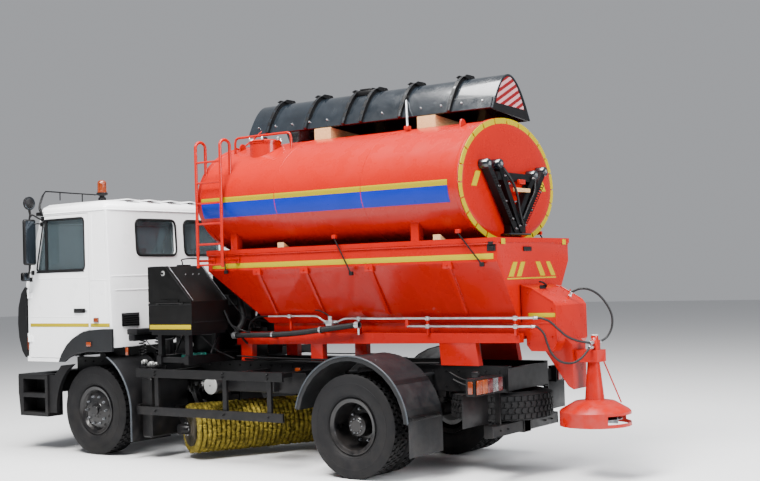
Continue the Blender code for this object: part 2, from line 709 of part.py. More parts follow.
def rear_fittings():
    """The under-run bar on its two arms, and a housing for the lamps at each side."""
    parts = [block((-1.36, -1.26), (-0.70, 0.70), (0.425, 0.545), 0.01),
             block((-1.37, -1.25), (-0.06, 0.06), (0.415, 0.555))]
    for side in SIDES.values():
        parts.append(block((-1.352, -1.292), (side * (RAIL_Y - 0.005), side * (UNDERRUN_ARM_Y + 0.015)),
                           (RAIL_LOW + 0.01, RAIL_LOW + 0.12)))
        parts.append(block((-1.350, -1.294), (side * UNDERRUN_ARM_Y, side * (UNDERRUN_ARM_Y + 0.015)),
                           (0.50, RAIL_LOW + 0.12)))
        parts.append(block((RAIL_REAR + 0.04, RAIL_REAR + 0.08), (side * (RAIL_Y - 0.005), side * LAMP_Y[1]),
                           (0.90, 1.02)))
        parts.append(block((RAIL_REAR - 0.02, RAIL_REAR + 0.075), (side * LAMP_Y[0], side * LAMP_Y[1]),
                           (0.88, 1.05)))
    return parts


piece("chassis_frame", frame(), "black_paint")

# ---------------------------------------------------------------- engine and driveline
ENGINE_BACK, ENGINE_FRONT = CAB_REAR + 0.16, 4.82
ENGINE_HALF = 0.32
ENGINE_TOP = 1.42


def engine():
    """One plain block on four feet, with the gearbox behind it below the rails' tops."""
    body = block((ENGINE_BACK, ENGINE_FRONT), (-ENGINE_HALF, ENGINE_HALF), (0.72, ENGINE_TOP), 0.04)
    box = [(3.00, 0.83), (3.00, 1.07), (3.20, 1.12), (ENGINE_BACK + 0.02, 1.20),
           (ENGINE_BACK + 0.02, 0.74), (3.20, 0.78)]
    gearbox = plate("y", (-0.19, 0.19), box)
    feet = [block((x - 0.05, x + 0.05), (side * (ENGINE_HALF - 0.04), side * (RAIL_Y - 0.005)),
                  (RAIL_TOP + GAP, RAIL_TOP + 0.05))
            for x in (3.90, 4.60) for side in SIDES.values()]
    return fused(body, gearbox, *feet)


SHAFT_FRONT = Vector((3.02, 0, 0.95))
SHAFT_REAR = Vector((0.402, 0, AXLE_Z + 0.072))


def drive_shaft():
    """A tube with a flange at each end."""
    run = (SHAFT_FRONT - SHAFT_REAR).normalized()
    body = rod(SHAFT_REAR, SHAFT_FRONT, 0.042, 12)
    flanges = [rod(SHAFT_REAR - run * 0.012, SHAFT_REAR + run * 0.03, 0.070, 12),
               rod(SHAFT_FRONT - run * 0.055, SHAFT_FRONT, 0.070, 12)]
    return body, *flanges


piece("engine_block", fused(engine(), *drive_shaft()), "grey_plastic")

# ---------------------------------------------------------------- bumper
def bumper():
    """A deep beam with a hitch plate, and a boxed step at each end with two recesses."""
    half = CAB_HALF - 0.004
    beam = block((BUMPER_REAR, BUMPER_FRONT), (-half, half), (BUMPER_LOW, BUMPER_TOP - 0.004), 0.02)
    plate_low = BUMPER_LOW - 0.02
    hitch = block((BUMPER_FRONT - 0.01, FRONT_END), (-0.42, 0.42), (plate_low, BUMPER_TOP - 0.03))
    lugs = [plate("y", (side * y, side * (y + 0.03)),
                  [(BUMPER_REAR + 0.02, plate_low + 0.05), (FRONT_END, plate_low + 0.05),
                   (FRONT_END, plate_low - 0.16), (BUMPER_REAR + 0.14, plate_low - 0.16)])
            for side in SIDES.values() for y in (0.34,)]
    solid = fused(beam, hitch, *lugs)
    for side in SIDES.values():
        shell = [(STEP_REAR, STEP_LOW), (STEP_REAR, BUMPER_TOP), (BUMPER_FRONT - 0.03, BUMPER_TOP),
                 (BUMPER_FRONT - 0.03, BUMPER_LOW + 0.01), (BUMPER_FRONT - 0.06, STEP_LOW)]
        step = plate("y", (side * (CAB_HALF - STEP_DEPTH), side * CAB_HALF), shell)
        inside = (side * (CAB_HALF - STEP_DEPTH + 0.02), side * (CAB_HALF + 0.02))
        recesses = [block((STEP_REAR + 0.05, BUMPER_FRONT - 0.12), inside, levels)
                    for levels in ((BUMPER_LOW + 0.04, BUMPER_TOP - 0.06),
                                   (STEP_LOW + 0.05, BUMPER_LOW - 0.015))]
        solid = fused(solid, step)
        solid = cut(solid, *recesses)
    return solid


piece("bumper", bumper(), "black_paint")


# ---------------------------------------------------------------- cab shell
pivot("cab_tilt", (CAB_PIVOT[0], 0, CAB_PIVOT[1]))
SCREEN_SLOPE = (CAB_FRONT - SCREEN_TOP_X) / (GUTTER_Z - BELT_Z)
INNER = CAB_HALF - CAB_WALL


def front_x(z):
    """Outer face of the cab's front at a height."""
    return CAB_FRONT if z < BELT_Z else CAB_FRONT - (z - BELT_Z) * SCREEN_SLOPE


def rear_x(z):
    """Outer face of the cab's rear wall at a height."""
    return CAB_REAR + (z - CAB_BOTTOM) * CAB_REAR_LEAN


DOOR_OFF_FLARE = 0.012
FLARE_CENTRE = (3.80, 0.60)


def door_outline(grow=0.0):
    """The door's edge, or the opening round it when it grows by the door gap."""
    off = DOOR_OFF_FLARE - grow
    low = DOOR_BOTTOM - grow
    rear = DOOR_REAR - grow
    edge = []
    for x, z in FLARE_OUT[3:-1]:
        reach = hypot(x - FLARE_CENTRE[0], z - FLARE_CENTRE[1])
        edge.append((x + off * (x - FLARE_CENTRE[0]) / reach, z + off * (z - FLARE_CENTRE[1]) / reach))
    (xa, za), (xb, zb) = FLARE_OUT[2:4]
    top = za + (zb - za) * (rear - xa) / (xb - xa) + off
    (xa, za), (xb, zb) = FLARE_OUT[-2:]
    foot = xa + (xb - xa) * (low - za) / (zb - za) + off * 1.15
    return ([(DOOR_FRONT + grow, low), (DOOR_FRONT + grow, BELT_Z),
             (DOOR_TOP_FRONT + grow, DOOR_TOP + grow), (rear, DOOR_TOP + grow), (rear, top)]
            + edge + [(foot, low)])


def door_x(z):
    """Front edge of the door at a height."""
    share = max(0, (z - BELT_Z) / (DOOR_TOP - BELT_Z))
    return DOOR_FRONT + (DOOR_TOP_FRONT - DOOR_FRONT) * share


WINDOW_TOP_FRONT = WINDOW_FRONT - (WINDOW_TOP - WINDOW_SILL) * 0.24


def window_outline(shrink=0.0):
    """The door's window, or its glass when it shrinks by the gap."""
    return [(WINDOW_REAR + shrink, WINDOW_SILL + shrink), (WINDOW_FRONT - shrink, WINDOW_SILL + shrink),
            (WINDOW_TOP_FRONT - shrink, WINDOW_TOP - shrink),
            (WINDOW_REAR + shrink, WINDOW_TOP - shrink)]


CORNER_POWER = 5
CORNER_END = CAB_WALL + CORNER * (INNER / CAB_HALF) ** CORNER_POWER   # front's ends, back from it


def front_plan(front, half, shift=0.0, count=15):
    """The front's curve seen from above, from one side of a half width to the other."""
    points = []
    for i in range(count):
        share = sin(pi / 2 * (1 - 2 * i / (count - 1)))
        y = half * share
        points.append((front - shift - CORNER * abs(y / CAB_HALF) ** CORNER_POWER, y))
    return points


def front_band(levels, outside=0.0, inside=CAB_WALL, half=CAB_HALF, inner_half=None):
    """A curved sheet that follows the cab's front between two shifts back from it."""
    rings = []
    for z in levels:
        front = front_x(z)
        outer = front_plan(front, half, outside)
        inner = front_plan(front, inner_half or half, inside)
        ends = [(inner[-1][0], -half), (inner[0][0], half)] if inner_half else [None, None]
        ring = outer + ends[:1] + inner[::-1] + ends[1:]
        rings.append([(p[0], p[1], z) for p in ring if p])
    return lofted(rings)


def cab_side():
    """Side panel round the door, between the front and the rear wall."""
    reach = CAB_WALL + GAP
    ahead = CORNER_END + GAP
    rear_low = ARCH_CUT[0][1]
    top = GUTTER_Z - GAP
    outline = ([(front_x(0) - ahead, CAB_BOTTOM), (front_x(0) - ahead, BELT_Z),
                (front_x(top) - ahead, top), (rear_x(top) + reach, top),
                (rear_x(rear_low) + reach, rear_low)] + list(ARCH_CUT[1:]))
    panel = plate("y", (INNER, CAB_HALF), outline, door_outline(DOOR_GAP))
    lugs = [rod((HINGE_X, HINGE_Y, z + HINGE_HALF + GAP), (HINGE_X, HINGE_Y, z + HINGE_HALF + 0.04),
                HINGE_BARREL, 12) for z in HINGE_HEIGHTS]
    straps = [block((HINGE_X, CAB_FRONT - CORNER_END - GAP), (CAB_HALF - 0.01, HINGE_Y),
                    (z + HINGE_HALF + GAP, z + HINGE_HALF + 0.04)) for z in HINGE_HEIGHTS]
    return fused(panel, *lugs, *straps)


HINGE_X = DOOR_FRONT + 0.004
HINGE_Y = CAB_HALF + 0.013
HINGE_BARREL = 0.012
HINGE_HALF = 0.035
HINGE_HEIGHTS = (1.40, 1.95)


def door():
    """A door as thick as the cab's wall, with its window, hinge barrels and handle."""
    leaf = plate("y", (INNER, CAB_HALF), door_outline(), window_outline())
    barrels = [rod((HINGE_X, HINGE_Y, z - HINGE_HALF), (HINGE_X, HINGE_Y, z + HINGE_HALF),
                   HINGE_BARREL, 12) for z in HINGE_HEIGHTS]
    straps = [block((HINGE_X - 0.06, HINGE_X), (CAB_HALF - 0.01, HINGE_Y),
                    (z - HINGE_HALF, z + HINGE_HALF)) for z in HINGE_HEIGHTS]
    handle = block((4.03, 4.19), (CAB_HALF - 0.004, CAB_HALF + 0.030), (1.735, 1.765), 0.006)
    return fused(leaf, *barrels, *straps, handle)


side_mesh, door_mesh = cab_side(), door()
pane_mesh = plate("y", (CAB_HALF - 0.028, CAB_HALF - 0.028 + GLASS), window_outline(GAP))
for side_name, side in SIDES.items():
    piece(f"cab_side_{side_name}", on_side(side_mesh, side), "white_paint", "cab_tilt")
    pivot(f"door_{side_name}_hinge", (HINGE_X, side * HINGE_Y, 1.7), "cab_tilt")
    piece(f"door_{side_name}", on_side(door_mesh, side), "white_paint", f"door_{side_name}_hinge")
    piece(f"door_glass_{side_name}", on_side(pane_mesh, side), "glass",
          f"door_{side_name}_hinge")


SCREEN_HALF, SCREEN_LOW, SCREEN_HIGH = 1.06, BELT_Z + 0.07, GUTTER_Z - 0.10


def screen_opening(shrink=0.0):
    """The windscreen's outline as a prism through the front."""
    return plate("x", (SCREEN_TOP_X - 0.3, CAB_FRONT + 0.1),
                 rounded((-SCREEN_HALF + shrink, SCREEN_LOW + shrink),
                         (SCREEN_HALF - shrink, SCREEN_HIGH - shrink), 0.05))


def cab_front():
    """The front panel, bent at the belt line and curved at its corners, with its opening."""
    panel = front_band((CAB_BOTTOM, BELT_Z, GUTTER_Z - GAP), inner_half=INNER)
    return cut(panel, screen_opening())


def windscreen():
    """A pane in the middle of the front panel's thickness."""
    sheet = front_band((BELT_Z, GUTTER_Z), 0.016, 0.016 + GLASS, SCREEN_HALF + 0.02)
    return combined(sheet, [screen_opening(GAP)], "INTERSECT")


piece("cab_front", cab_front(), "white_paint", "cab_tilt")
piece("windscreen", windscreen(), "glass", "cab_tilt")

REAR_WINDOWS = ((0.075, 0.755), (-0.755, -0.075))      # y of each window's edges
REAR_WINDOW_Z = (2.41, 2.85)
LEAN = Matrix(((1, 0, CAB_REAR_LEAN, 0), (0, 1, 0, 0), (0, 0, 1, 0), (0, 0, 0, 1)))


def leaning(mesh):
    """Leans a plate that was made upright on the rear wall's foot."""
    foot = Matrix.Translation((0, 0, CAB_BOTTOM))
    return moved(mesh, foot @ LEAN @ foot.inverted())


def rear_wall():
    """The rear wall with its two windows."""
    low = ARCH_CUT[0][1]
    return leaning(plate("x", (CAB_REAR, CAB_REAR + CAB_WALL),
                         [(CAB_HALF, low), (CAB_HALF, GUTTER_Z - GAP),
                          (-CAB_HALF, GUTTER_Z - GAP), (-CAB_HALF, low)],
                         *[rounded((a, REAR_WINDOW_Z[0]), (b, REAR_WINDOW_Z[1]), 0.06)
                           for a, b in REAR_WINDOWS]))


piece("cab_rear_wall", rear_wall(), "white_paint", "cab_tilt")
pane = plate("x", (CAB_REAR + CAB_WALL + GAP, CAB_REAR + CAB_WALL + GAP + GLASS),
             rounded((REAR_WINDOWS[1][0] - 0.03, REAR_WINDOW_Z[0] - 0.03),
                     (REAR_WINDOWS[0][1] + 0.03, REAR_WINDOW_Z[1] + 0.03), 0.06))
piece("rear_windows", leaning(pane), "glass", "cab_tilt")


def roof_outline(inset):
    """The cab's plan at the gutter, drawn in."""
    half = CAB_HALF - inset
    rear = rear_x(GUTTER_Z) + inset
    front = [(x, y) for x, y in front_plan(front_x(GUTTER_Z) - inset, half)]
    return front + [(rear + 0.05, -half), (rear, -half + 0.05), (rear, half - 0.05),
                    (rear + 0.05, half)]


def roof():
    """A shallow crowned shell whose rim sits on the walls."""
    rings = (  # inset, height above the gutter
        (0.0, 0.0), (0.0, 0.035), (0.025, 0.085), (0.09, 0.125), (0.30, 0.150))
    form = bmesh.new()
    rows = []
    for inset, rise in rings:
        rows.append([form.verts.new((x, y, GUTTER_Z + rise)) for x, y in roof_outline(inset)])
    for lower, upper in zip(rows, rows[1:]):
        for i in range(len(lower)):
            j = (i + 1) % len(lower)
            form.faces.new((lower[i], lower[j], upper[j], upper[i]))
    form.faces.new(rows[-1])
    bmesh.ops.recalc_face_normals(form, faces=form.faces)
    mesh = bpy.data.meshes.new("roof")
    form.to_mesh(mesh)
    form.free()
    return mesh


roof_part = piece("cab_roof", roof(), "white_paint", "cab_tilt")
skin = roof_part.modifiers.new("wall", "SOLIDIFY")
skin.thickness = CAB_WALL
skin.offset = -1


def cab_floor():
    """The floor with the engine's tunnel, and the lugs that hold the tilting pin."""
    half, rise, sheet = INNER - GAP, TUNNEL_RISE, FLOOR_SHEET
    outer = [(half, FLOOR_Z), (half, FLOOR_Z + sheet), (TUNNEL_HALF, FLOOR_Z + sheet),
             (TUNNEL_HALF - 0.04, FLOOR_Z + rise)]
    under = [(TUNNEL_HALF - 0.04 - sheet, FLOOR_Z + rise - sheet), (TUNNEL_HALF - sheet, FLOOR_Z)]
    outline = (outer + [(-u, v) for u, v in reversed(outer)]
               + [(-u, v) for u, v in reversed(under)] + under)
    floor = plate("x", (rear_x(FLOOR_Z + rise) + CAB_WALL + GAP, CAB_FRONT), outline)
    floor = cut(floor, ahead_of_front())
    x, z = CAB_PIVOT
    lug = [(x - 0.05, FLOOR_Z + 0.01)] + arc((x, z), 0.025, 190, 350, 7) + [(x + 0.05, FLOOR_Z + 0.01)]
    lugs = []
    for side in SIDES.values():
        for low, high in ((RAIL_Y - 0.028, RAIL_Y - 0.012), (RAIL_Y - 0.063, RAIL_Y - 0.047)):
            lugs.append(plate("y", (side * low, side * high), lug,
                              circle((x, z), TILT_PIN + 0.0008, 12)))
    bunk = block((rear_x(1.9) + CAB_WALL + 0.02, 3.84), (-half + 0.01, half - 0.01), (1.62, 1.80), 0.03)
    legs = [block((3.64, 3.80), (side * 0.62, side * 0.80), (FLOOR_Z + 0.01, 1.64))
            for side in SIDES.values()]
    return fused(floor, *lugs, bunk, *legs, *seat(0.45, 0.98), *seat(-1.00, -0.42))


def ahead_of_front():
    """Everything ahead of the front panel's inner face."""
    rings = []
    for z in (CAB_BOTTOM - 0.1, BELT_Z):
        ring = front_plan(CAB_FRONT, INNER, CAB_WALL + GAP)
        ring = [(ring[0][0], CAB_HALF)] + ring + [(ring[-1][0], -CAB_HALF)]
        rings.append([(x, y, z) for x, y in ring] + [(CAB_FRONT + 0.2, -CAB_HALF, z),
                                                     (CAB_FRONT + 0.2, CAB_HALF, z)])
    return lofted(rings)


def seat(low, high):
    """A cushion on a box base with a backrest."""
    base = block((3.90, 4.30), (low + 0.06, high - 0.06), (FLOOR_Z + 0.01, 1.72))
    cushion = block((3.80, 4.38), (low, high), (1.70, 1.84), 0.03)
    back = plate("y", (low, high), [(3.82, 1.78), (3.93, 1.80), (3.83, 2.50), (3.73, 2.50)])
    return base, cushion, back


def flare():
    """Arch lip on the cab's side, from the bumper step to the cab's rear."""
    return plate("y", (CAB_HALF + GAP, CAB_HALF + FLARE_PROUD),
                 list(FLARE_OUT) + list(reversed(FLARE_IN)))


flare_mesh = flare()
for side_name, side in SIDES.items():
    piece(f"arch_flare_{side_name}", on_side(flare_mesh, side), "grey_plastic", "cab_tilt")


def grille():
    """Dark panel with slats across the front, below the windscreen."""
    panel = front_band((1.17, 2.06), -0.03, -GAP, CAB_HALF)
    slats = [block((CAB_FRONT + 0.01, CAB_FRONT + 0.050), (-0.62, 0.62), (z, z + 0.035))
             for z in [1.42 + 0.085 * i for i in range(7)]]
    lamps = [block((CAB_FRONT - 0.005, CAB_FRONT + 0.045), (side * 0.72, side * 1.02), (1.25, 1.45), 0.01)
             for side in SIDES.values()]
    lamps = [cut(lamp, inside_front()) for lamp in lamps]
    return fused(panel, *slats, *lamps)


def inside_front():
    """Everything behind the front panel's outer face, with the gap."""
    rings = []
    for z in (CAB_BOTTOM - 0.1, BELT_Z):
        ring = front_plan(CAB_FRONT, CAB_HALF, -GAP)
        rings.append([(x, y, z) for x, y in ring] + [(CAB_FRONT - 0.5, -CAB_HALF, z),
                                                     (CAB_FRONT - 0.5, CAB_HALF, z)])
    return lofted(rings)


piece("grille_panel", grille(), "grey_plastic", "cab_tilt")


def dashboard():
    """Full-width dashboard against the front panel, with the steering wheel's column."""
    outline = [(CAB_FRONT, 1.64), (CAB_FRONT, 2.02), (4.98, 2.04), (4.84, 1.98), (4.86, 1.80),
               (4.98, 1.67)]
    board = cut(plate("y", (-INNER + 0.012, INNER - 0.012), outline), ahead_of_front())
    return welded(board, steering_wheel())


def steering_wheel():
    """A rim on four spokes and a column down into the dashboard."""
    hub = Vector((4.60, 0.715, 2.03))
    foot = Vector((4.93, 0.715, 1.75))
    lean = Vector((0, 0, 1)).rotation_difference(Vector((-0.42, 0, 0.91))).to_matrix().to_4x4()
    lean = Matrix.Translation(hub) @ lean
    wheel_radius, grip = 0.225, 0.015
    ring = turned([(wheel_radius + grip * cos(a), grip * sin(a))
                   for a in [2 * pi * i / 6 for i in range(6)]], steps=16)
    spokes = [rod((0.03 * cos(a), 0.03 * sin(a), 0), (wheel_radius * cos(a), wheel_radius * sin(a), 0),
                  0.010, 6) for a in [radians(50 + 90 * i) for i in range(4)]]
    boss = rod((0, 0, -0.03), (0, 0, 0.02), 0.05, 12)
    wheel = [moved(mesh, lean) for mesh in (ring, boss, *spokes)]
    return welded(*wheel, rod(foot, hub, 0.028, 10))


console = block((4.90, 5.08), (-0.26, 0.26), (FLOOR_Z + TUNNEL_RISE - 0.02, 1.85))
piece("cab_floor", welded(cab_floor(), console, dashboard()), "grey_plastic", "cab_tilt")


def mirror():
    """A tall mirror on a bent tube from the door's frame, with round ones above and below."""
    face = CAB_HALF + GAP
    stay = tube([(4.76, face, 2.905), (4.76, 1.27, 2.905), (4.80, 1.35, 2.96), (4.83, 1.37, 2.92),
                 (4.85, 1.37, 2.26), (4.96, 1.32, 2.16), (5.01, 1.27, 2.15), (5.01, face, 2.15)], 0.011)
    head = block((4.80, 4.86), (1.29, 1.47), (2.33, 2.90), 0.02)
    low = block((4.93, 5.00), (1.29, 1.40), (2.13, 2.24), 0.015)
    top = turned([(0, -0.035), (0.05, -0.03), (0.085, 0.0), (0.085, 0.012), (0, 0.02)],
                 (4.82, 1.38, 3.10), "x", 12)
    link = rod((4.82, 1.36, 2.93), (4.82, 1.38, 3.09), 0.011)
    return fused(stay, head, low, top, link)


mirror_mesh = mirror()
for side_name, side in SIDES.items():
    piece(f"mirror_{side_name}", on_side(mirror_mesh, side), "black_paint",
          f"door_{side_name}_hinge")

BEACON = (3.93, 0.98)


def roof_height(inset):
    """Height of the roof's skin at a distance in from its edge."""
    steps = ((0.0, 0.035), (0.025, 0.085), (0.09, 0.125), (0.30, 0.150), (2.0, 0.150))
    for (a, low), (b, high) in zip(steps, steps[1:]):
        if inset <= b:
            return GUTTER_Z + low + (high - low) * (inset - a) / (b - a)
    return GUTTER_Z + 0.150


def beacon():
    """A dome on a stem that stands on the roof's shoulder, and its guard tube's clip."""
    foot = roof_height(CAB_HALF - BEACON[1] + 0.03) + GAP
    return turned([(0, foot), (0.028, foot), (0.028, foot + 0.05), (0.070, foot + 0.06),
                   (0.070, foot + 0.09), (0.055, foot + 0.10), (0.054, foot + 0.21),
                   (0, foot + 0.25)], (*BEACON, 0), steps=12)


piece("beacon", beacon(), "amber", "cab_tilt")

# ---------------------------------------------------------------- mudguards
def front_mudguard():
    """Sheet behind the front wheel, curved at its top, with its arm to the rail."""
    outer, sheet, low, top = 0.735, 0.012, 0.20, 118
    curve_out = arc((WHEELBASE, AXLE_Z), outer + sheet, top, 180, 9)
    curve_in = arc((WHEELBASE, AXLE_Z), outer, 180, top, 9)
    guard = plate("y", (0.62, CAB_HALF + 0.03),
                  curve_out + [(WHEELBASE - outer - sheet, low), (WHEELBASE - outer, low)] + curve_in)
    arm = block((WHEELBASE - outer - sheet - 0.03, WHEELBASE - outer - sheet + 0.006),
                (RAIL_Y + 0.003, 1.15), (0.60, 0.64))
    post = block((WHEELBASE - outer - sheet - 0.028, WHEELBASE - outer - sheet - 0.001),
                 (RAIL_Y + GAP, RAIL_Y + 0.04), (0.61, 0.93))
    return fused(guard, arm, post)


def rear_fender():
    """Half-round fender over the twin tyres, with its flap and two stays."""
    outer, sheet = 0.705, 0.012
    wide = (0.60, 1.25)
    hoop = plate("y", wide, arc((0, AXLE_Z), outer + sheet, 12, 176, 15)
                 + arc((0, AXLE_Z), outer, 176, 12, 15))
    lip = plate("y", (wide[1] - 0.012, wide[1] + 0.004),
                arc((0, AXLE_Z), outer + sheet + 0.006, 13, 175, 15)
                + arc((0, AXLE_Z), outer - 0.030, 175, 13, 15))
    flap_x = -outer - sheet / 2
    flap = block((flap_x - 0.009, flap_x + 0.001), (0.62, wide[1] - 0.02), (0.26, AXLE_Z + 0.12))
    stays = [rod((end * 0.50, RAIL_Y + GAP, 1.03), (end * 0.50, 0.66, 1.03), 0.018)
             for end in (1, -1)]
    return fused(hoop, lip, flap, *stays)


front_guard_mesh, rear_fender_mesh = front_mudguard(), rear_fender()
for side_name, side in SIDES.items():
    piece(f"front_mudguard_{side_name}", on_side(front_guard_mesh, side), "grey_plastic")
    piece(f"rear_fender_{side_name}", on_side(rear_fender_mesh, side), "grey_plastic")


# ---------------------------------------------------------------- side guards, tanks on the rails
GUARDS = {  # side: (places of the posts, spans of the lower rail); the brush passes at the right
    "left": ((2.86, 1.79, 1.14), ((0.93, 3.17),)),
    "right": ((2.90, 2.16, 1.04), ((2.09, 3.17), (0.93, 1.13)))}


def side_guard(posts_at, low_spans):
    """Two rails on three posts, each with an arm to the chassis rail."""
    out = CAB_HALF - 0.02
    upper = block((0.93, 3.17), (out - 0.03, out), (0.965, 1.065))
    lower = [block(span, (out - 0.03, out), (0.53, 0.625)) for span in low_spans]
    posts = [block((x - 0.03, x + 0.03), (out - 0.06, out - 0.025), (0.53, 1.05)) for x in posts_at]
    arms = [block((x - 0.025, x + 0.025), (RAIL_Y + GAP, out - 0.03), (0.985, 1.035))
            for x in posts_at]
    return fused(upper, *lower, *posts, *arms)


for side_name, side in SIDES.items():
    piece(f"side_guard_{side_name}", on_side(side_guard(*GUARDS[side_name]), side), "black_paint")


# ---------------------------------------------------------------- rack behind the cab
RACK_BASE = 0.10
LOCKER = {"front": 2.91, "bend": 2.60, "rear": 2.22, "in": 0.62, "out": 1.22,
          "low": 1.50, "seam": 1.83, "top": 2.25}
LOCKER_SHEET = 0.02


def rack():
    """Two cross beams on the rails with posts and trays for the boxes at each side."""
    level = RAIL_TOP + GAP
    out = LOCKER["out"] - 0.04
    beams = [block((x - 0.035, x + 0.035), (-out, out), (level, level + RACK_BASE))
             for x in (2.36, 2.80)]
    ties = [block((2.33, 2.83), (side * y, side * (y + 0.06)), (level + 0.02, level + 0.08))
            for side in SIDES.values() for y in (0.36, 1.10)]
    posts = [block((x - 0.03, x + 0.03), (side * y, side * (y + 0.06)),
                   (level + RACK_BASE - 0.01, LOCKER["low"] - 0.03))
             for x in (2.36, 2.80) for y in (0.66, 1.10) for side in SIDES.values()]
    trays = [block((2.24, 2.89), (side * (LOCKER["in"] + 0.02), side * (LOCKER["out"] - 0.02)),
                   (LOCKER["low"] - 0.04, LOCKER["low"] - GAP)) for side in SIDES.values()]
    oil_tank = block((2.26, 2.88), (-LOCKER["in"] - 0.02, -LOCKER["out"]),
                     (LOCKER["low"] - 0.02, OIL_TANK_TOP), 0.04)
    return fused(beams[0], beams[1], *ties, *posts, *trays, oil_tank, *water_pump())


OIL_TANK_TOP = 2.02


LOCKER_HINGE = (LOCKER["out"] + 0.009, LOCKER["seam"] - 0.004)   # y, z
LOCKER_LUGS = ((2.34, 2.40), (2.72, 2.78))


def locker():
    """A box with a sloping back; its upper half is hollow and open at the side."""
    k = LOCKER
    y, z = LOCKER_HINGE
    lower = block((k["rear"], k["front"]), (k["in"], k["out"]), (k["low"], k["seam"]))
    outline = [(k["rear"], k["seam"] - 0.05), (k["front"], k["seam"] - 0.05), (k["front"], k["top"]),
               (k["bend"], k["top"]), (k["rear"], k["seam"] + 0.01)]
    upper = plate("y", (k["in"], k["out"] - LOCKER_SHEET - GAP), outline)
    room = plate("y", (k["in"] + LOCKER_SHEET, k["out"] + 0.1), locker_room(LOCKER_SHEET))
    barrels = [rod((a, y, z), (b, y, z), 0.008, 8) for a, b in LOCKER_LUGS]
    lugs = [block(span, (k["out"] - 0.01, y), (z - 0.02, k["seam"])) for span in LOCKER_LUGS]
    return fused(cut(fused(lower, upper), room), *barrels, *lugs)


def locker_room(inset):
    """Outline of the locker's upper half, drawn in by the sheet."""
    k = LOCKER
    return [(k["rear"] + inset, k["seam"] + 0.01), (k["front"] - inset, k["seam"] + 0.01),
            (k["front"] - inset, k["top"] - inset), (k["bend"] + inset * 0.4, k["top"] - inset),
            (k["rear"] + inset, k["seam"] + 0.01 + inset * 0.6)]


piece("locker", locker(), "black_paint")
pivot("locker_hinge", (2.56, *LOCKER_HINGE))


def locker_door():
    """The drop-down side of the locker's upper half, with its barrel and latch."""
    k = LOCKER
    leaf = plate("y", (k["out"] - LOCKER_SHEET, k["out"]),
                 [(k["rear"], k["seam"] + 0.006), (k["front"], k["seam"] + 0.006),
                  (k["front"], k["top"]), (k["bend"], k["top"]), (k["rear"], k["seam"] + 0.03)])
    y, z = LOCKER_HINGE
    barrel = rod((2.40 + GAP, y, z), (2.72 - GAP, y, z), 0.008, 8)
    out = k["out"]
    strap = plate("x", (2.42, 2.70), [(out + GAP, z), (out + 0.015, z), (out + 0.015, z + 0.04),
                                      (out - 0.005, z + 0.04), (out - 0.005, z + 0.016),
                                      (out + GAP, z + 0.016)])
    latch = rod((2.66, k["out"] - 0.005, 2.17), (2.66, k["out"] + 0.02, 2.17), 0.014)
    return fused(leaf, barrel, strap, latch)


piece("locker_door", locker_door(), "black_paint", "locker_hinge")

def water_pump():
    """A pump casing with its gearbox and outlets on a base between the rails."""
    level = RAIL_TOP + RACK_BASE
    base = block((2.33, 2.83), (-0.34, 0.34), (level - 0.02, level + 0.06))
    casing = turned([(0, -0.11), (0.15, -0.10), (0.20, -0.04), (0.20, 0.04), (0.15, 0.10), (0, 0.11)],
                    (2.60, 0, level + 0.27), "y", 16)
    drive = block((2.42, 2.78), (-0.30, -0.06), (level + 0.03, level + 0.40), 0.03)
    outlet = rod((2.60, 0, level + 0.30), (2.60, 0, level + 0.62), 0.055, 12)
    flange = rod((2.60, 0, level + 0.58), (2.60, 0, level + 0.62), 0.09, 12)
    return base, casing, drive, outlet, flange


piece("equipment_rack", rack(), "black_paint")


# ---------------------------------------------------------------- subframe and hopper
def beam_low(x):
    share = (BEAM_FRONT - x) / (BEAM_FRONT - BEAM_REAR)
    return BEAM_LOW_FRONT + share * (BEAM_LOW_REAR - BEAM_LOW_FRONT)


def subframe():
    """Two tapering beams on feet that stand on the chassis rails, and their ties."""
    inner = BEAM_OUT - BEAM_WIDTH
    beam = plate("y", (inner, BEAM_OUT),
                 [(BEAM_FRONT, BEAM_LOW_FRONT), (BEAM_FRONT, BEAM_TOP), (BEAM_REAR, BEAM_TOP),
                  (BEAM_REAR, BEAM_LOW_REAR)])
    added = [on_side(beam, -1)]
    stand = RAIL_TOP + GAP
    for side in SIDES.values():
        span = (side * (inner + 0.005), side * (BEAM_OUT - 0.005))
        added.append(plate("y", span, [(-0.60, beam_low(-0.6) + 0.01), (-0.62, stand), (-1.08, stand),
                                       (-1.04, beam_low(-1) + 0.01)]))
        for x in (0.95, 2.00):
            added.append(block((x, x + 0.17), span, (stand, beam_low(x) + 0.02)))
    for x in (BEAM_FRONT - 0.08, 1.0, -0.35, BEAM_REAR + 0.02):
        added.append(block((x, x + 0.06), (-inner - 0.01, inner + 0.01), (1.39, BEAM_TOP - 0.012)))
    return fused(beam, *added, *conveyor(), *pipes())


def oval(less, count=TANK_POINTS):
    """The tank's section, flatter below than above, drawn in all round, (y, z)."""
    points = []
    for i in range(count):
        turn = 2 * pi * i / count
        rise = (TANK_RISE if sin(turn) > 0 else TANK_DROP) - less
        points.append(((TANK_HALF - less) * cos(turn), TANK_Z + rise * sin(turn)))
    return points


BARREL = 0.02                # how far the barrel lies in from its rim
SKIN = oval(BARREL)


def skin_z(y, above=True):
    """Height of the barrel's faceted skin at a distance from the centre plane."""
    half = TANK_POINTS // 2
    row = SKIN[:half + 1] if above else [SKIN[0]] + SKIN[:half - 1:-1]
    for (ya, za), (yb, zb) in zip(row, row[1:]):
        if yb <= y <= ya:
            return za + (zb - za) * (ya - y) / (ya - yb)
    return TANK_Z


def skin_between(low, high, above=True):
    """Points of the barrel's skin from one distance to another, ends included."""
    turns = [y for y, z in SKIN if low < y < high and (z > TANK_Z) == above]
    return [(y, skin_z(y, above)) for y in sorted([low, high] + turns)]


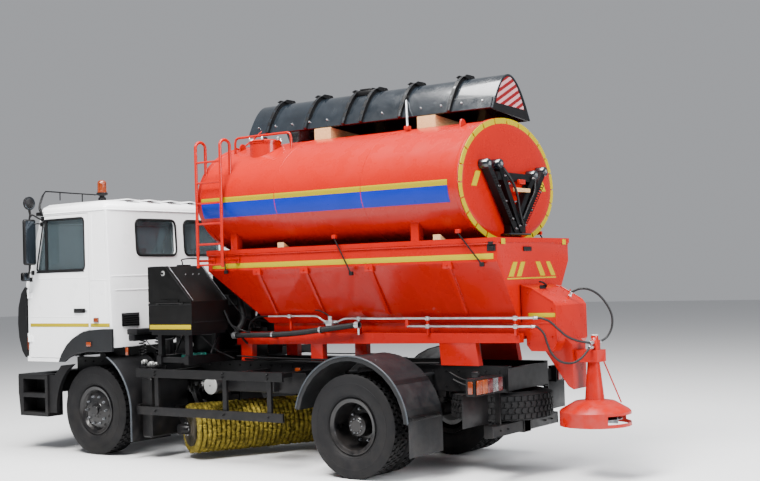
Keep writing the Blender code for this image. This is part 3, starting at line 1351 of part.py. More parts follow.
def hopper_ring(z, out=0.0):
    """Corners of the hopper's outer skin at a height."""
    share = max(0, (HOPPER_BAND - z) / (HOPPER_BAND - HOPPER_LOW))
    half = HOPPER_HALF - share * (HOPPER_HALF - HOPPER_LOW_HALF) + out
    front = HOPPER_FRONT - share * (HOPPER_FRONT - HOPPER_LOW_FRONT) + out
    rear = HOPPER_REAR - out
    return [(front, half, z), (rear, half, z), (rear, -half, z), (front, -half, z)]


RIBS = (1.62, 0.93, 0.05, -0.93)     # x of the outer ribs on each side
CRADLES = (1.95, -0.55)              # x of the lugs that carry the tank


def hopper():
    """An open trough with upright bands and sloping walls, ribbed outside."""
    skin = lofted([hopper_ring(z) for z in (HOPPER_LOW, HOPPER_BAND, HOPPER_TOP)])
    inside_low = HOPPER_LOW + HOPPER_SHEET
    inside = lofted([hopper_ring(inside_low, -HOPPER_SHEET), hopper_ring(HOPPER_BAND, -HOPPER_SHEET),
                     hopper_ring(HOPPER_TOP + 0.05, -HOPPER_SHEET)])
    shell = cut(skin, inside)
    rim = cut(lofted([hopper_ring(z, 0.012) for z in (HOPPER_TOP - 0.05, HOPPER_TOP)]),
              lofted([hopper_ring(z, -HOPPER_SHEET) for z in (HOPPER_TOP - 0.1, HOPPER_TOP + 0.1)]))
    added = [rim]
    for side in SIDES.values():
        for x in RIBS:
            top, low = HOPPER_BAND - 0.01, HOPPER_LOW + 0.10
            upper = hopper_ring(top)[0][1]
            lower = hopper_ring(low)[0][1]
            outline = [(side * (upper - 0.006), top), (side * (upper + 0.012), top - 0.01),
                       (side * (lower + 0.030), low), (side * (lower - 0.006), low)]
            added.append(plate("x", (x - 0.03, x + 0.03), outline))
            added.append(block((x - 0.055, x + 0.055), (side * (HOPPER_HALF - 0.07), side * (HOPPER_HALF + 0.008)),
                               (HOPPER_BAND - 0.06, HOPPER_BAND + 0.02)))
    for x in CRADLES:
        under = skin_between(0.69, HOPPER_HALF + 0.008, above=False)
        for side in SIDES.values():
            added.append(plate("x", (x - 0.05, x + 0.05),
                               [(side * y, z - GAP) for y, z in under]
                               + [(side * (HOPPER_HALF + 0.008), HOPPER_TOP - 0.03),
                                  (side * 0.69, HOPPER_TOP - 0.03)]))
    return fused(shell, *added)


piece("hopper", hopper(), "orange_paint")


PIPE_Y = BEAM_OUT + 0.018
PIPE_RADIUS = 0.012
PIPES = ((0.55, -1.75, 1.610), (-0.22, -1.72, 1.525))     # x of both ends, z
PIPE_CLAMPS = (0.42, -0.48, BEAM_REAR + 0.03)


def pipes():
    """Two hydraulic pipes along the left beam, in clamps that stand on it."""
    parts = [rod((front, PIPE_Y, z), (rear, PIPE_Y, z), PIPE_RADIUS) for front, rear, z in PIPES]
    for x in PIPE_CLAMPS:
        top = PIPES[0][2] + 0.02
        parts.append(block((x - 0.012, x + 0.012), (BEAM_OUT - 0.02, PIPE_Y + 0.009), (BEAM_TOP - 0.02, top)))
    front, rear, z = PIPES[1]
    parts.append(block((front - 0.02, front + 0.02), (PIPE_Y - 0.01, PIPE_Y + 0.01),
                       (z - 0.005, PIPES[0][2] + 0.005)))
    slope = Vector(HOOD_PORT)
    parts.append(rod(slope - Vector(HOOD_NORMAL) * 0.02, slope + Vector(HOOD_NORMAL) * 0.035, 0.018, 10))
    return parts


def conveyor():
    """The trough under the hopper, its tail housing behind it and the chute below."""
    low, half = CONVEYOR_LOW, CONVEYOR_HALF
    roof_front = HOPPER_REAR - 0.012 - GAP
    trough = block((roof_front - 0.05, 1.76), (-half, half), (BEAM_TOP - 0.03, HOPPER_LOW - GAP))
    tail = [(roof_front, BEAM_TOP + GAP), (roof_front, CONVEYOR_TOP), (-1.64, CONVEYOR_TOP - 0.04),
            (CONVEYOR_REAR + 0.04, CONVEYOR_TAIL_TOP + 0.01), (CONVEYOR_REAR, CONVEYOR_TAIL_TOP - 0.03),
            (CONVEYOR_REAR, 1.37), (-1.86, low), (-1.62, low), (BEAM_REAR - 0.01, 1.33),
            (BEAM_REAR - 0.01, BEAM_TOP + GAP)]
    chute = [(-1.66, low + 0.02), (-1.93, 0.91), (SPREADER_SEAT, 0.88), (SPREADER_SEAT, 1.33),
             (CONVEYOR_REAR + 0.01, 1.40)]
    housing = plate("y", (-half, half), tail)
    return trough, housing, plate("y", (-0.15, 0.15), chute)


piece("subframe", subframe(), "orange_paint")


# ---------------------------------------------------------------- spreader
def spreader():
    """A shroud with its window, hung on a cone from a head behind the conveyor's chute."""
    axis = (SPREADER_X, 0, 0)
    head = block((SPREADER_X - 0.09, SPREADER_SEAT - GAP), (-0.10, 0.10),
                 (COLUMN_TOP - 0.05, CONVEYOR_LOW))
    motor = block((MOTOR_X - 0.035, MOTOR_X + 0.035), (-0.05, 0.05), (CONVEYOR_LOW - 0.01, 1.37), 0.008)
    ports = [rod((MOTOR_X, y / 3, z), (MOTOR_X, y, z), 0.016, 10) for y, z in MOTOR_PORTS.values()]
    cap = rod((SPREADER_X - 0.020, 0, 1.35), (SPREADER_X - 0.020, 0, 1.42), 0.036, 12)
    sheet = 0.008
    shroud = turned([(0.095, SHROUD_HIGH + 0.115), (0.20, SHROUD_HIGH + 0.10),
                     (SHROUD_RADIUS - 0.02, SHROUD_HIGH + 0.02), (SHROUD_RADIUS, SHROUD_HIGH),
                     (SHROUD_RADIUS, SHROUD_LOW), (SHROUD_RADIUS - sheet, SHROUD_LOW),
                     (SHROUD_RADIUS - sheet, SHROUD_HIGH - 0.004), (0.20, SHROUD_HIGH + 0.09),
                     (0.05, SHROUD_HIGH + 0.09), (0.05, SHROUD_HIGH + 0.10)], axis, steps=20)
    column = turned([(0.0, COLUMN_TOP), (0.055, COLUMN_TOP), (0.100, SHROUD_HIGH + 0.09),
                     (0.0, SHROUD_HIGH + 0.09)], axis, steps=16)
    window = block((SPREADER_X - 0.5, SPREADER_X - 0.20), (-0.42, 0.25),
                   (SHROUD_LOW + 0.035, SHROUD_LOW + 0.115))
    stay = rod((SPREADER_X - 0.08, -0.05, COLUMN_TOP - 0.03),
               (SPREADER_X - 0.24, -0.10, SHROUD_HIGH + 0.08), 0.008, 6)
    return fused(cut(shroud, window), column, head, stay, motor, cap, *ports)


piece("spreader_shroud", spreader(), "orange_paint")

HOSES = {  # points between the end of a pipe, or the hood's port, and the motor's port
    "upper": ((-1.82, PIPE_Y, 1.608), (-1.90, 0.455, 1.575), (-1.96, 0.40, 1.50), (-2.01, 0.32, 1.425),
              (-2.07, 0.235, 1.378), (-2.13, 0.165, 1.355)),
    "lower": ((-1.78, PIPE_Y, 1.518), (-1.835, 0.460, 1.455), (-1.855, 0.435, 1.36), (-1.885, 0.400, 1.255),
              (-1.95, 0.350, 1.175), (-2.04, 0.290, 1.155), (-2.11, 0.225, 1.195), (-2.155, 0.165, 1.268)),
    "loop": ((-1.885, -0.104, 1.853), (-1.955, -0.125, 1.880), (-2.04, -0.155, 1.872), (-2.13, -0.19, 1.815),
             (-2.20, -0.225, 1.715), (-2.245, -0.240, 1.60), (-2.243, -0.232, 1.48), (-2.205, -0.190, 1.385))}


def smooth_route(points, step):
    """Points a step apart on a smooth curve through the given ones, with its second and last but one."""
    path = [points[0], points[1]]
    for a, b, c, d in zip(points, points[1:], points[2:], points[3:]):
        for t in [i / 8 for i in range(8)]:
            point = (b * 2 + (c - a) * t + (a * 2 - b * 5 + c * 4 - d) * t ** 2
                     + (b * 3 - a - c * 3 + d) * t ** 3) / 2
            if (point - path[-1]).length >= step and (point - points[-2]).length > step / 2:
                path.append(point)
    return path + [points[-2], points[-1]]


def hose_ends(name):
    """Where a hose begins and ends, just off the faces that it meets."""
    y, z = MOTOR_PORTS[name]
    motor = (MOTOR_X, y + (GAP if y > 0 else -GAP), z)
    if name == "loop":
        return Vector(HOOD_PORT) + Vector(HOOD_NORMAL) * (0.035 + GAP), Vector(motor)
    rear, height = PIPES[0 if name == "upper" else 1][1:]
    return Vector((rear - GAP, PIPE_Y, height)), Vector(motor)


def hose(name):
    """A hydraulic hose on its route, straight for a little at both ends."""
    start, end = hose_ends(name)
    away = Vector(HOOD_NORMAL) if name == "loop" else Vector((-1, 0, 0))
    to = Vector((0, 1 if MOTOR_PORTS[name][0] > 0 else -1, 0))
    route = [start, start + away * 0.025, *(Vector(p) for p in HOSES[name]), end + to * 0.025, end]
    return tube(smooth_route(route, 5 * HOSE_RADIUS), HOSE_RADIUS, 2)


for name in HOSES:
    piece(f"hose_{name}", hose(name), "hose_rubber")

pivot("disc_spin", (SPREADER_X, 0, 0.58))


def spreader_disc():
    """A dished disc with six curved vanes and its shaft."""
    axis = (SPREADER_X, 0, 0)
    dish = turned([(0, 0.575), (0.12, 0.575), (DISC_RADIUS, 0.590), (DISC_RADIUS, 0.582),
                   (0.12, 0.563), (0, 0.563)], axis, steps=24)
    shaft = rod((SPREADER_X, 0, 0.565), (SPREADER_X, 0, SHROUD_HIGH + 0.09 - 0.0005), 0.022, 12)
    vanes = [moved(plate("y", (-0.003, 0.003), [(0.06, 0.57), (0.25, 0.585), (0.25, 0.625), (0.06, 0.615)]),
                   Matrix.Translation(axis) @ Matrix.Rotation(2 * pi * i / 6, 4, "Z"))
             for i in range(6)]
    return fused(dish, shaft, *vanes)


piece("spreader_disc", spreader_disc(), "steel", "disc_spin")

# ---------------------------------------------------------------- water tank
def tank():
    """An oval barrel with dished ends, a rim, a hatch, lifting eyes and a handrail."""
    sections = (  # x, how much smaller the section is
        (TANK_REAR - 0.035, 0.45), (TANK_REAR - 0.030, 0.10), (TANK_REAR, 0.035), (TANK_REAR, 0.0),
        (TANK_REAR + 0.05, 0.0), (TANK_REAR + 0.05, BARREL), (TANK_FRONT, BARREL),
        (TANK_FRONT + TANK_DISH * 0.6, 0.16), (TANK_FRONT + TANK_DISH, 0.50))
    rings = [[(x, y, z) for y, z in oval(less)] for x, less in sections]
    barrel = lofted(rings)
    top = tank_top(0.35)
    hatch = turned([(0, top + 0.05), (0.16, top + 0.05), (0.18, top + 0.03), (0.18, top - 0.2),
                    (0, top - 0.2)], (1.66, 0.52, 0), steps=16)
    eyes = [plate("x", (x - 0.01, x + 0.01),
                  [(y - 0.06, tank_top(y) - 0.02), (y + 0.06, tank_top(y + 0.06) - 0.02),
                   (y + 0.03, tank_top(y) + 0.07), (y - 0.03, tank_top(y) + 0.07)])
            for x in (2.10, -0.95) for y in (0.42, -0.42)]
    return fused(barrel, hatch, *eyes, *ladder(), handrail())


def tank_top(y):
    """Height of the barrel's top at a distance from the centre plane."""
    half, rise = TANK_HALF - 0.02, TANK_RISE - 0.02
    return TANK_Z + rise * sqrt(1 - (y / half) ** 2)


def ladder():
    """Two tube rails with rungs, whose tops bend over on to the tank's shoulder."""
    y, low, high, reach = 1.03, 2.22, 3.60, 0.16
    xs = (2.28, 1.90)
    parts = []
    for x in xs:
        bend = [(x, y - reach / 2 + reach / 2 * cos(a), high + 0.07 * sin(a))
                for a in [pi * i / 4 for i in range(5)]]
        foot_z = tank_top(y - reach) - 0.03
        parts.append(tube([(x, y, low)] + bend + [(x, y - reach, foot_z)], 0.018))
    parts += [rod((xs[0], y, z), (xs[1], y, z), 0.012, 6)
              for z in [low + 0.03 + 0.235 * i for i in range(6)]]
    parts += [rod((x, HOPPER_HALF + 0.012 + GAP, 2.30), (x, y, 2.30), 0.014, 6) for x in xs]
    return parts


def handrail():
    """A low hoop beside the hatch, on the tank's shoulder."""
    y, high = 0.55, 0.20
    foot = tank_top(y) - 0.02
    xs = (2.10, 1.25)
    top = foot + high
    return tube([(xs[0], y, foot), (xs[0], y, top - 0.05), (xs[0] - 0.05, y, top),
                 (xs[1] + 0.05, y, top), (xs[1], y, top - 0.05), (xs[1], y, foot)], 0.014)


piece("water_tank", tank(), "orange_paint")

# ---------------------------------------------------------------- plough on the tank
PLOUGH_FRONT, PLOUGH_REAR = 2.25, -1.15
PLOUGH_BASE = 3.80
PLOUGH_SHEET = 0.014
PLOUGH_EDGES = ((0.14, 3.80), (-0.68, 3.73))    # (y, z) of the two long edges
PLOUGH_CROWN = (-0.14, 4.17)
BEAM_XS = (1.10, -0.33)


def plough_curve(out=0.0, count=11):
    """Section of the mouldboard: a quadratic bow from edge to edge through its crown."""
    (y0, z0), (y1, z1) = PLOUGH_EDGES
    yc, zc = PLOUGH_CROWN
    share = 0.36                                  # where the crown lies along the bow
    weight = 2 * share * (1 - share)
    cy = (yc - (1 - share) ** 2 * y0 - share ** 2 * y1) / weight
    cz = (zc - (1 - share) ** 2 * z0 - share ** 2 * z1) / weight
    points = []
    for i in range(count):
        t = i / (count - 1)
        y = (1 - t) ** 2 * y0 + 2 * t * (1 - t) * cy + t * t * y1
        z = (1 - t) ** 2 * z0 + 2 * t * (1 - t) * cz + t * t * z1
        dy = 2 * (1 - t) * (cy - y0) + 2 * t * (y1 - cy)
        dz = 2 * (1 - t) * (cz - z0) + 2 * t * (z1 - cz)
        size = hypot(dy, dz)
        points.append((y + out * -dz / size * -1, z + out * dy / size * -1))
    return points


def plough():
    """The mouldboard lying on its face, with ribs over its back and an end plate."""
    outer, inner = plough_curve(), plough_curve(-PLOUGH_SHEET)
    sheet = plate("x", (PLOUGH_REAR, PLOUGH_FRONT), outer + inner[::-1])
    ribs = [plate("x", (x - 0.012, x + 0.012), plough_curve(0.045)[:9] + plough_curve(-0.004)[:9][::-1])
            for x in (1.93, 1.35, 0.80, 0.55, 0.02, -0.62)]
    ends = [plate("x", (x, x + 0.012), plough_curve(-0.002)) for x in (PLOUGH_REAR + 0.02,)]
    return welded(sheet, *ribs, *ends)


piece("plough_blade", plough(), "plough_paint")


def plough_beam(x):
    """A wooden beam between the tank's crown and the plough's long edges."""
    (y0, z0), (y1, z1) = PLOUGH_EDGES
    low, high = -0.70, 0.16
    under = [(y, z + GAP) for y, z in skin_between(low, high)]

    def lie(y):
        return z0 + (y - y0) / (y1 - y0) * (z1 - z0) - 0.0078

    return plate("x", (x - 0.12, x + 0.12), under + [(high, lie(high)), (low, lie(low))])


for place, x in zip(("front", "rear"), BEAM_XS):
    piece(f"plough_beam_{place}", plough_beam(x), "wood")


def push_frame():
    """The plough's lifting frame, stowed upright against the tank's rear end."""
    back = TANK_REAR - 0.035 - GAP
    xs = (back - 0.09, back - 0.01)
    parts = []
    bars = (((0.60, 3.17), (0.07, 2.50)), ((-0.60, 3.15), (-0.03, 2.50)),
            ((0.36, 3.18), (-0.06, 2.50)), ((-0.38, 3.10), (0.0, 2.62)))
    for number, ((ya, za), (yb, zb)) in enumerate(bars):
        thick = (xs[0] + 0.003 * number, xs[1] - 0.003 * number)
        length = hypot(yb - ya, zb - za)
        uy, uz = (yb - ya) / length, (zb - za) / length
        ny, nz = -uz * 0.035, uy * 0.035
        parts.append(plate("x", thick, [(ya + ny, za + nz), (yb + ny, zb + nz), (yb - ny, zb - nz),
                                     (ya - ny, za - nz)]))
    parts.append(block((xs[0] + 0.014, xs[1] - 0.015), (-0.42, 0.40), (3.02, 3.10)))
    parts.append(block((xs[0] + 0.017, back), (-0.16, 0.16), (2.48, 2.60)))
    parts.append(block((xs[0] + 0.020, back), (-0.10, 0.10), (3.03, 3.09)))
    return fused(parts[0], *parts[1:])


piece("push_frame", push_frame(), "black_paint")


# ---------------------------------------------------------------- brush between the axles
pivot("brush_lift", brush_frame_place(BRUSH_PIVOT_AHEAD, 0, BRUSH_PIVOT_Z))
pivot("brush_spin", brush_frame_place(0, 0, BRUSH_Z), "brush_lift")
STUB = 0.030
BRUSH_BEAM_Z = (0.52, 0.60)


def brush():
    """The roller of bristles with a stub shaft at each end."""
    end = BRUSH_HALF
    grooves = 4
    profile = [(0, end + 0.02), (STUB, end + 0.02), (STUB, end), (0.10, end)]
    for i in range(grooves):
        u = end - 2 * end * i / grooves
        v = end - 2 * end * (i + 1) / grooves
        profile += [(BRUSH_RADIUS, u - 0.005 if i else u), (BRUSH_RADIUS, v + 0.03),
                    (BRUSH_RADIUS - 0.018, v + 0.015)]
    profile += [(0.10, -end), (STUB, -end), (STUB, -end - 0.02), (0, -end - 0.02)]
    return moved(turned(profile, (0, 0, BRUSH_Z), "y", 18), BRUSH_TURN)


piece("brush_rotor", brush(), "bristle", "brush_spin")


def brush_carrier():
    """Beam, end plates, motor and lifting arms that hold the roller."""
    beam = block((BRUSH_BEAM_AHEAD, BRUSH_BEAM_AHEAD + 0.08), (-BRUSH_HALF - 0.03, BRUSH_HALF + 0.03),
                 BRUSH_BEAM_Z)
    parts = []
    low, high = BRUSH_BEAM_Z
    for end, length, radius in ((1, 0.10, 0.062), (-1, 0.02, 0.050)):
        near = end * (BRUSH_HALF + RUN)
        far = end * (BRUSH_HALF + RUN + 0.018)
        outline = [(0.0, BRUSH_Z + 0.07), (-0.06, BRUSH_Z + 0.03), (-0.06, BRUSH_Z - 0.03),
                   (0.0, BRUSH_Z - 0.07), (0.06, BRUSH_Z - 0.05), (BRUSH_BEAM_AHEAD + 0.06, low),
                   (BRUSH_BEAM_AHEAD + 0.06, high - 0.005), (BRUSH_BEAM_AHEAD - 0.05, high - 0.005)]
        parts.append(plate("y", (near, far), outline, circle((0, BRUSH_Z), STUB + 0.0009, 20)))
        parts.append(rod((0, far - end * 0.001, BRUSH_Z), (0, far + end * length, BRUSH_Z), radius, 12))
    for along in LIFT_AT:
        outline = [(BRUSH_PIVOT_AHEAD + 0.035, BRUSH_PIVOT_Z + 0.035),
                   (BRUSH_PIVOT_AHEAD - 0.035, BRUSH_PIVOT_Z + 0.035),
                   (BRUSH_BEAM_AHEAD + 0.01, high - 0.01), (BRUSH_BEAM_AHEAD + 0.075, low + 0.01),
                   (BRUSH_PIVOT_AHEAD + 0.035, BRUSH_PIVOT_Z - 0.035)]
        parts.append(plate("y", (along - LIFT_ARM, along + LIFT_ARM), outline,
                           circle((BRUSH_PIVOT_AHEAD, BRUSH_PIVOT_Z), LIFT_PIN + 0.0008, 12)))
    return moved(fused(beam, *parts), BRUSH_TURN)


piece("brush_carrier", brush_carrier(), "black_paint", "brush_lift")


# ---------------------------------------------------------------- rear end
SPARE_AT = (-1.07, 0, 0.700)
spare_tyre_mesh = moved(tyre_mesh, Matrix.Translation(SPARE_AT) @ Matrix.Rotation(pi / 2, 4, "X"))
spare_rim_mesh = moved(spare_rim(), Matrix.Translation(SPARE_AT) @ Matrix.Rotation(pi / 2, 4, "X"))
piece("spare_tyre", spare_tyre_mesh, "tyre_rubber")


def spare_wheel():
    """The spare's disc wheel with the cradle post that holds it up to the frame."""
    post = rod((SPARE_AT[0], 0, SPARE_AT[2]), (SPARE_AT[0], 0, RAIL_LOW + 0.10), 0.03, 12)
    clamp = rod((SPARE_AT[0], 0, SPARE_AT[2] + 0.005), (SPARE_AT[0], 0, SPARE_AT[2] + 0.04), 0.16, 16)
    bridge = block((SPARE_AT[0] - 0.04, SPARE_AT[0] + 0.04), (-RAIL_Y + RAIL_SHEET + 0.001, RAIL_Y - RAIL_SHEET - 0.001),
                   (RAIL_LOW + RAIL_SHEET + GAP, RAIL_LOW + 0.11))
    return fused(spare_rim_mesh, clamp, post, bridge)


piece("spare_rim", spare_wheel(), "wheel_paint")
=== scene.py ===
"""Looks of the combined road maintenance truck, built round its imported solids.

Each operator below makes one piece or one group of like pieces and dresses the solids
that belong to it. Lengths are metres. "Truck measure" is metres forward of the rear
axle, to the truck's left of its centre plane, and above the ground; AXLE_X moves it to
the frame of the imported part.
"""
import json
from math import cos, pi, radians, sin, sqrt

import bmesh
import bpy
import numpy as np
from bpy.props import FloatProperty, FloatVectorProperty, IntProperty, PointerProperty
from mathutils import Matrix, Vector

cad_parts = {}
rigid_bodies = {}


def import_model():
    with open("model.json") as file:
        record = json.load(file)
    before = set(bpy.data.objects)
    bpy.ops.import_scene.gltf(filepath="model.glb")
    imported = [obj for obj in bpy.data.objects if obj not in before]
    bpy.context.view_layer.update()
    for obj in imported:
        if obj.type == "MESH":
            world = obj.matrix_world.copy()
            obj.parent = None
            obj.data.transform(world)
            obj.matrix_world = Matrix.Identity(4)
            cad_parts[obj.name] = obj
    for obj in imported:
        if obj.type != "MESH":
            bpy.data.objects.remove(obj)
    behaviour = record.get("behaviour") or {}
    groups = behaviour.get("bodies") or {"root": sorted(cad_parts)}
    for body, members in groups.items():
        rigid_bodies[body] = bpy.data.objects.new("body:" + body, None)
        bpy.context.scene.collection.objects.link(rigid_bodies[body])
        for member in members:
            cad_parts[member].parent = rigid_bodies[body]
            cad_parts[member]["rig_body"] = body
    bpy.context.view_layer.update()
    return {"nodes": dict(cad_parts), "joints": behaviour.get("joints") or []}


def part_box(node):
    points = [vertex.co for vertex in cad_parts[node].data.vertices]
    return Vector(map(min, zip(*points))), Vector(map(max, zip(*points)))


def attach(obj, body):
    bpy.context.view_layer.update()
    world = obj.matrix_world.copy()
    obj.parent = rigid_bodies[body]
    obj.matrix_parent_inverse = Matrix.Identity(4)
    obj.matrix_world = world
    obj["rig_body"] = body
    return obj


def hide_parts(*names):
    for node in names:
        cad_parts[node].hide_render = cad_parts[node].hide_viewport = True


bl_info = {
    "name": "Road maintenance truck",
    "version": (1, 0, 0),
    "blender": (4, 5, 0),
    "location": "View3D > Sidebar > Truck",
    "description": "Dresses a road maintenance truck: cab, tank, hopper, brush, plough",
    "category": "Add Mesh",
}

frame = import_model()
NODES = frame["nodes"]
JOINTS = {joint["name"]: joint for joint in frame["joints"]}
AXLE_X = JOINTS["rear_spin_left"]["pos_m"][0]
WHEEL_Z = JOINTS["rear_spin_left"]["pos_m"][2]
FRONT_AXLE = JOINTS["front_spin_left"]["pos_m"][0] - AXLE_X
SIDES = {"left": 1, "right": -1}
AXIS_GAP = 0.0008               # a turned solid's ends stop this far from its axis
DOUBLED = 1e-5                  # points closer than this are one
TUBE_UP = (0.13, 0.21, 0.97)    # no pipe of the truck runs this way
MIX_A, MIX_B, MIX_RESULT = 6, 7, 2   # a Mix node's colour sockets


# ---------------------------------------------------------------- meshes by numpy
def skin(points, across=False, along=False, caps=False):
    """Faces of a surface given as a grid of points, rows by columns by 3.

    Point (i, j) joins (i+1, j), (i+1, j+1) and (i, j+1); across closes the columns
    into a ring, along closes the rows, and caps puts a face on the first and last row.
    """
    grid = np.asarray(points, float)
    rows, columns = grid.shape[:2]
    i = np.arange(rows if along else rows - 1)[:, None]
    j = np.arange(columns if across else columns - 1)[None, :]
    below, right = (i + 1) % rows, (j + 1) % columns
    quads = np.stack(np.broadcast_arrays(i * columns + j, i * columns + right, below * columns
        + right, below * columns + j), -1)
    faces = quads.reshape(-1, 4).tolist()
    if caps:
        faces.append(list(range(columns))[::-1])
        faces.append(list(range((rows - 1) * columns, rows * columns)))
    return grid.reshape(-1, 3), faces


def joined(*parts):
    """Several (points, faces) as one: each part's faces count on from the points before."""
    points, faces, start = [], [], 0
    for part_points, part_faces in parts:
        points.append(part_points)
        faces += [[start + corner for corner in face] for face in part_faces]
        start += len(part_points)
    return np.concatenate(points), faces


def placed(part, matrix):
    """A part moved by a 4 x 4 matrix: point times its turn, plus its shift."""
    turn = np.array(matrix, float)
    return part[0] @ turn[:3, :3].T + turn[:3, 3], part[1]


def other_side(part):
    """A part reflected in the truck's centre plane, its faces turned back outwards."""
    return part[0] * (1, -1, 1), [face[::-1] for face in part[1]]


def around(part, count, start=0.0):
    """Copies of a part turned about the Y axis, a full turn shared out."""
    return joined(*[placed(part, Matrix.Rotation(start + 2 * pi * n / count, 4, "Y"))
        for n in range(count)])


def facing(at, way):
    """The matrix that carries a form made along Y to a point, turned to a direction."""
    turn = Vector((0, 1, 0)).rotation_difference(Vector(way))
    return Matrix.Translation(at) @ turn.to_matrix().to_4x4()


def lathe(profile, centre=(0, 0, 0), axis="Y", steps=48, hollow=False):
    """A profile of (radius, distance along the axis) turned about the axis.

    Point = centre + distance along the axis + radius x (cos a, sin a) across it. A solid's
    ends are closed level with its first and last point, down to AXIS_GAP from the axis;
    hollow joins the profile's last point to its first instead, as on a ring.
    """
    profile = [tuple(point) for point in profile]
    if not hollow:
        first, last = ([(AXIS_GAP, at)] if radius > AXIS_GAP else [] for radius, at in (profile[0],
            profile[-1]))
        profile = first + profile + last
    radius, reach = np.array(profile, float).T
    angle = np.linspace(0, 2 * pi, steps, endpoint=False)
    u, v = radius[:, None] * np.cos(angle), radius[:, None] * np.sin(angle)
    w = np.repeat(reach[:, None], steps, 1)
    order = {"X": (w, u, v), "Y": (v, w, u), "Z": (u, v, w)}[axis]
    return skin(np.stack(order, -1) + np.asarray(centre, float), across=True, along=hollow,
        caps=not hollow)


def smooth_path(points, per_span=8):
    """A smooth curve through points: a Catmull-Rom cubic between each pair."""
    p = np.asarray(points, float)
    p = np.concatenate([2 * p[:1] - p[1:2], p, 2 * p[-1:] - p[-2:-1]])
    t = np.linspace(0, 1, per_span, endpoint=False)[:, None, None]
    a, b, c, d = p[None, :-3], p[None, 1:-2], p[None, 2:-1], p[None, 3:]
    curve = 0.5 * (2 * b + (c - a) * t + (2 * a - 5 * b + 4 * c - d) * t ** 2
        + (3 * b - a - 3 * c + d) * t ** 3)
    return np.concatenate([curve.transpose(1, 0, 2).reshape(-1, 3), p[-2:-1]])


def evenly(path, step):
    """Points about a step apart along a path, and the distance of each from its start."""
    reach = np.concatenate([[0], np.cumsum(np.linalg.norm(np.diff(path, axis=0), axis=1))])
    even = np.linspace(0, reach[-1], int(reach[-1] / step) + 1)
    return np.stack([np.interp(even, reach, row) for row in path.T], -1), even


def swept(path, section, up=(0, 0, 1), closed=False):
    """A closed section of (sideways, upwards) points, or one for each point, along a path.

    At each point the sideways direction is the path's direction crossed with up, and
    the section's upward direction is sideways crossed with the path's direction.
    """
    path, section = np.asarray(path, float), np.asarray(section, float)
    run = np.roll(path, -1, 0) - np.roll(path, 1, 0) if closed else np.gradient(path, axis=0)
    run /= np.linalg.norm(run, axis=1)[:, None]
    side = np.cross(run, np.asarray(up, float))
    side /= np.linalg.norm(side, axis=1)[:, None]
    rise = np.cross(side, run)
    grid = path[:, None] + section[..., :1] * side[:, None] + section[..., 1:] * rise[:, None]
    return skin(grid, across=True, along=closed, caps=not closed)


def disc(radius, count=10):
    """Points of a circle, as a section."""
    angle = np.linspace(0, 2 * pi, count, endpoint=False)
    return np.stack([radius * np.cos(angle), radius * np.sin(angle)], -1)


def pipe(points, radius, sides=10, up=TUBE_UP, per_span=8):
    """A round tube along a smooth curve through points."""
    return swept(smooth_path(points, per_span), disc(radius, sides), up)


def rod(points, radius, sides=10, up=TUBE_UP):
    """A round tube along the straight lines between points."""
    return swept(points, disc(radius, sides), up)


def soft_box(low, high, edge=0.006, steps=3):
    """A box whose edges are rounded: rings of a rounded rectangle from face to face.

    A ring at angle a of the rounding is drawn in by edge x (1 - sin a), has corners of
    radius edge x sin a, and stands edge x (1 - cos a) in from the face.
    """
    low, high = np.minimum(low, high).astype(float), np.maximum(low, high).astype(float)
    edge = min(edge, 0.49 * (high - low).min())
    half, middle = (high - low) / 2, (high + low) / 2
    bend = np.linspace(0, pi / 2, steps)
    a = np.concatenate([bend, bend[::-1]])
    level = np.concatenate([-half[2] + edge - edge * np.cos(bend),
        half[2] - edge + edge * np.cos(bend[::-1])])
    corner = np.repeat([(1, 1), (-1, 1), (-1, -1), (1, -1)], steps, 0)
    turn = np.concatenate([quarter * pi / 2 + np.linspace(0, pi / 2, steps)
        for quarter in range(4)])
    ring = edge * np.stack([np.cos(turn), np.sin(turn)], -1)
    grid = np.empty((len(a), len(turn), 3))
    grid[..., :2] = corner * (half[:2] - edge) + np.sin(a)[:, None, None] * ring
    grid[..., 2] = level[:, None]
    return skin(grid + middle, across=True, caps=True)


def prism(axis, span, outline):
    """A closed outline pushed along an axis: (y, z) for x, (x, z) for y, (x, y) for z."""
    outline = np.asarray(outline, float)
    place = "xyz".index(axis)
    rest = [n for n in range(3) if n != place]
    grid = np.empty((2, len(outline), 3))
    grid[..., place] = np.array(sorted(span))[:, None]
    grid[..., rest] = outline
    return skin(grid, across=True, caps=True)


def both(parts):
    """(part, material) pairs of the left side, and their reflections on the right."""
    return parts + [(other_side(part), material) for part, material in parts]


def sided(side, parts):
    """(part, material) pairs as they are on the left, their reflections on the right."""
    return both(parts)[len(parts) if side == "right" else 0:][:len(parts)]


def cleaned(mesh, outwards):
    """Merges a mesh's doubled points; turns its closed shells outwards or joins flat faces."""
    form = bmesh.new()
    form.from_mesh(mesh)
    bmesh.ops.remove_doubles(form, verts=form.verts, dist=DOUBLED)
    if outwards:
        bmesh.ops.recalc_face_normals(form, faces=form.faces)
    else:
        bmesh.ops.dissolve_limit(form, angle_limit=radians(0.5), verts=form.verts, edges=form.edges)
    form.to_mesh(mesh)
    form.free()


def shown(name, mesh, smooth):
    """A piece of a mesh, shaded smooth but for edges sharper than an angle in degrees."""
    mesh.shade_smooth()
    mesh.set_sharp_from_angle(angle=radians(smooth))
    made = bpy.data.objects.new(name, mesh)
    bpy.context.scene.collection.objects.link(made)
    return made


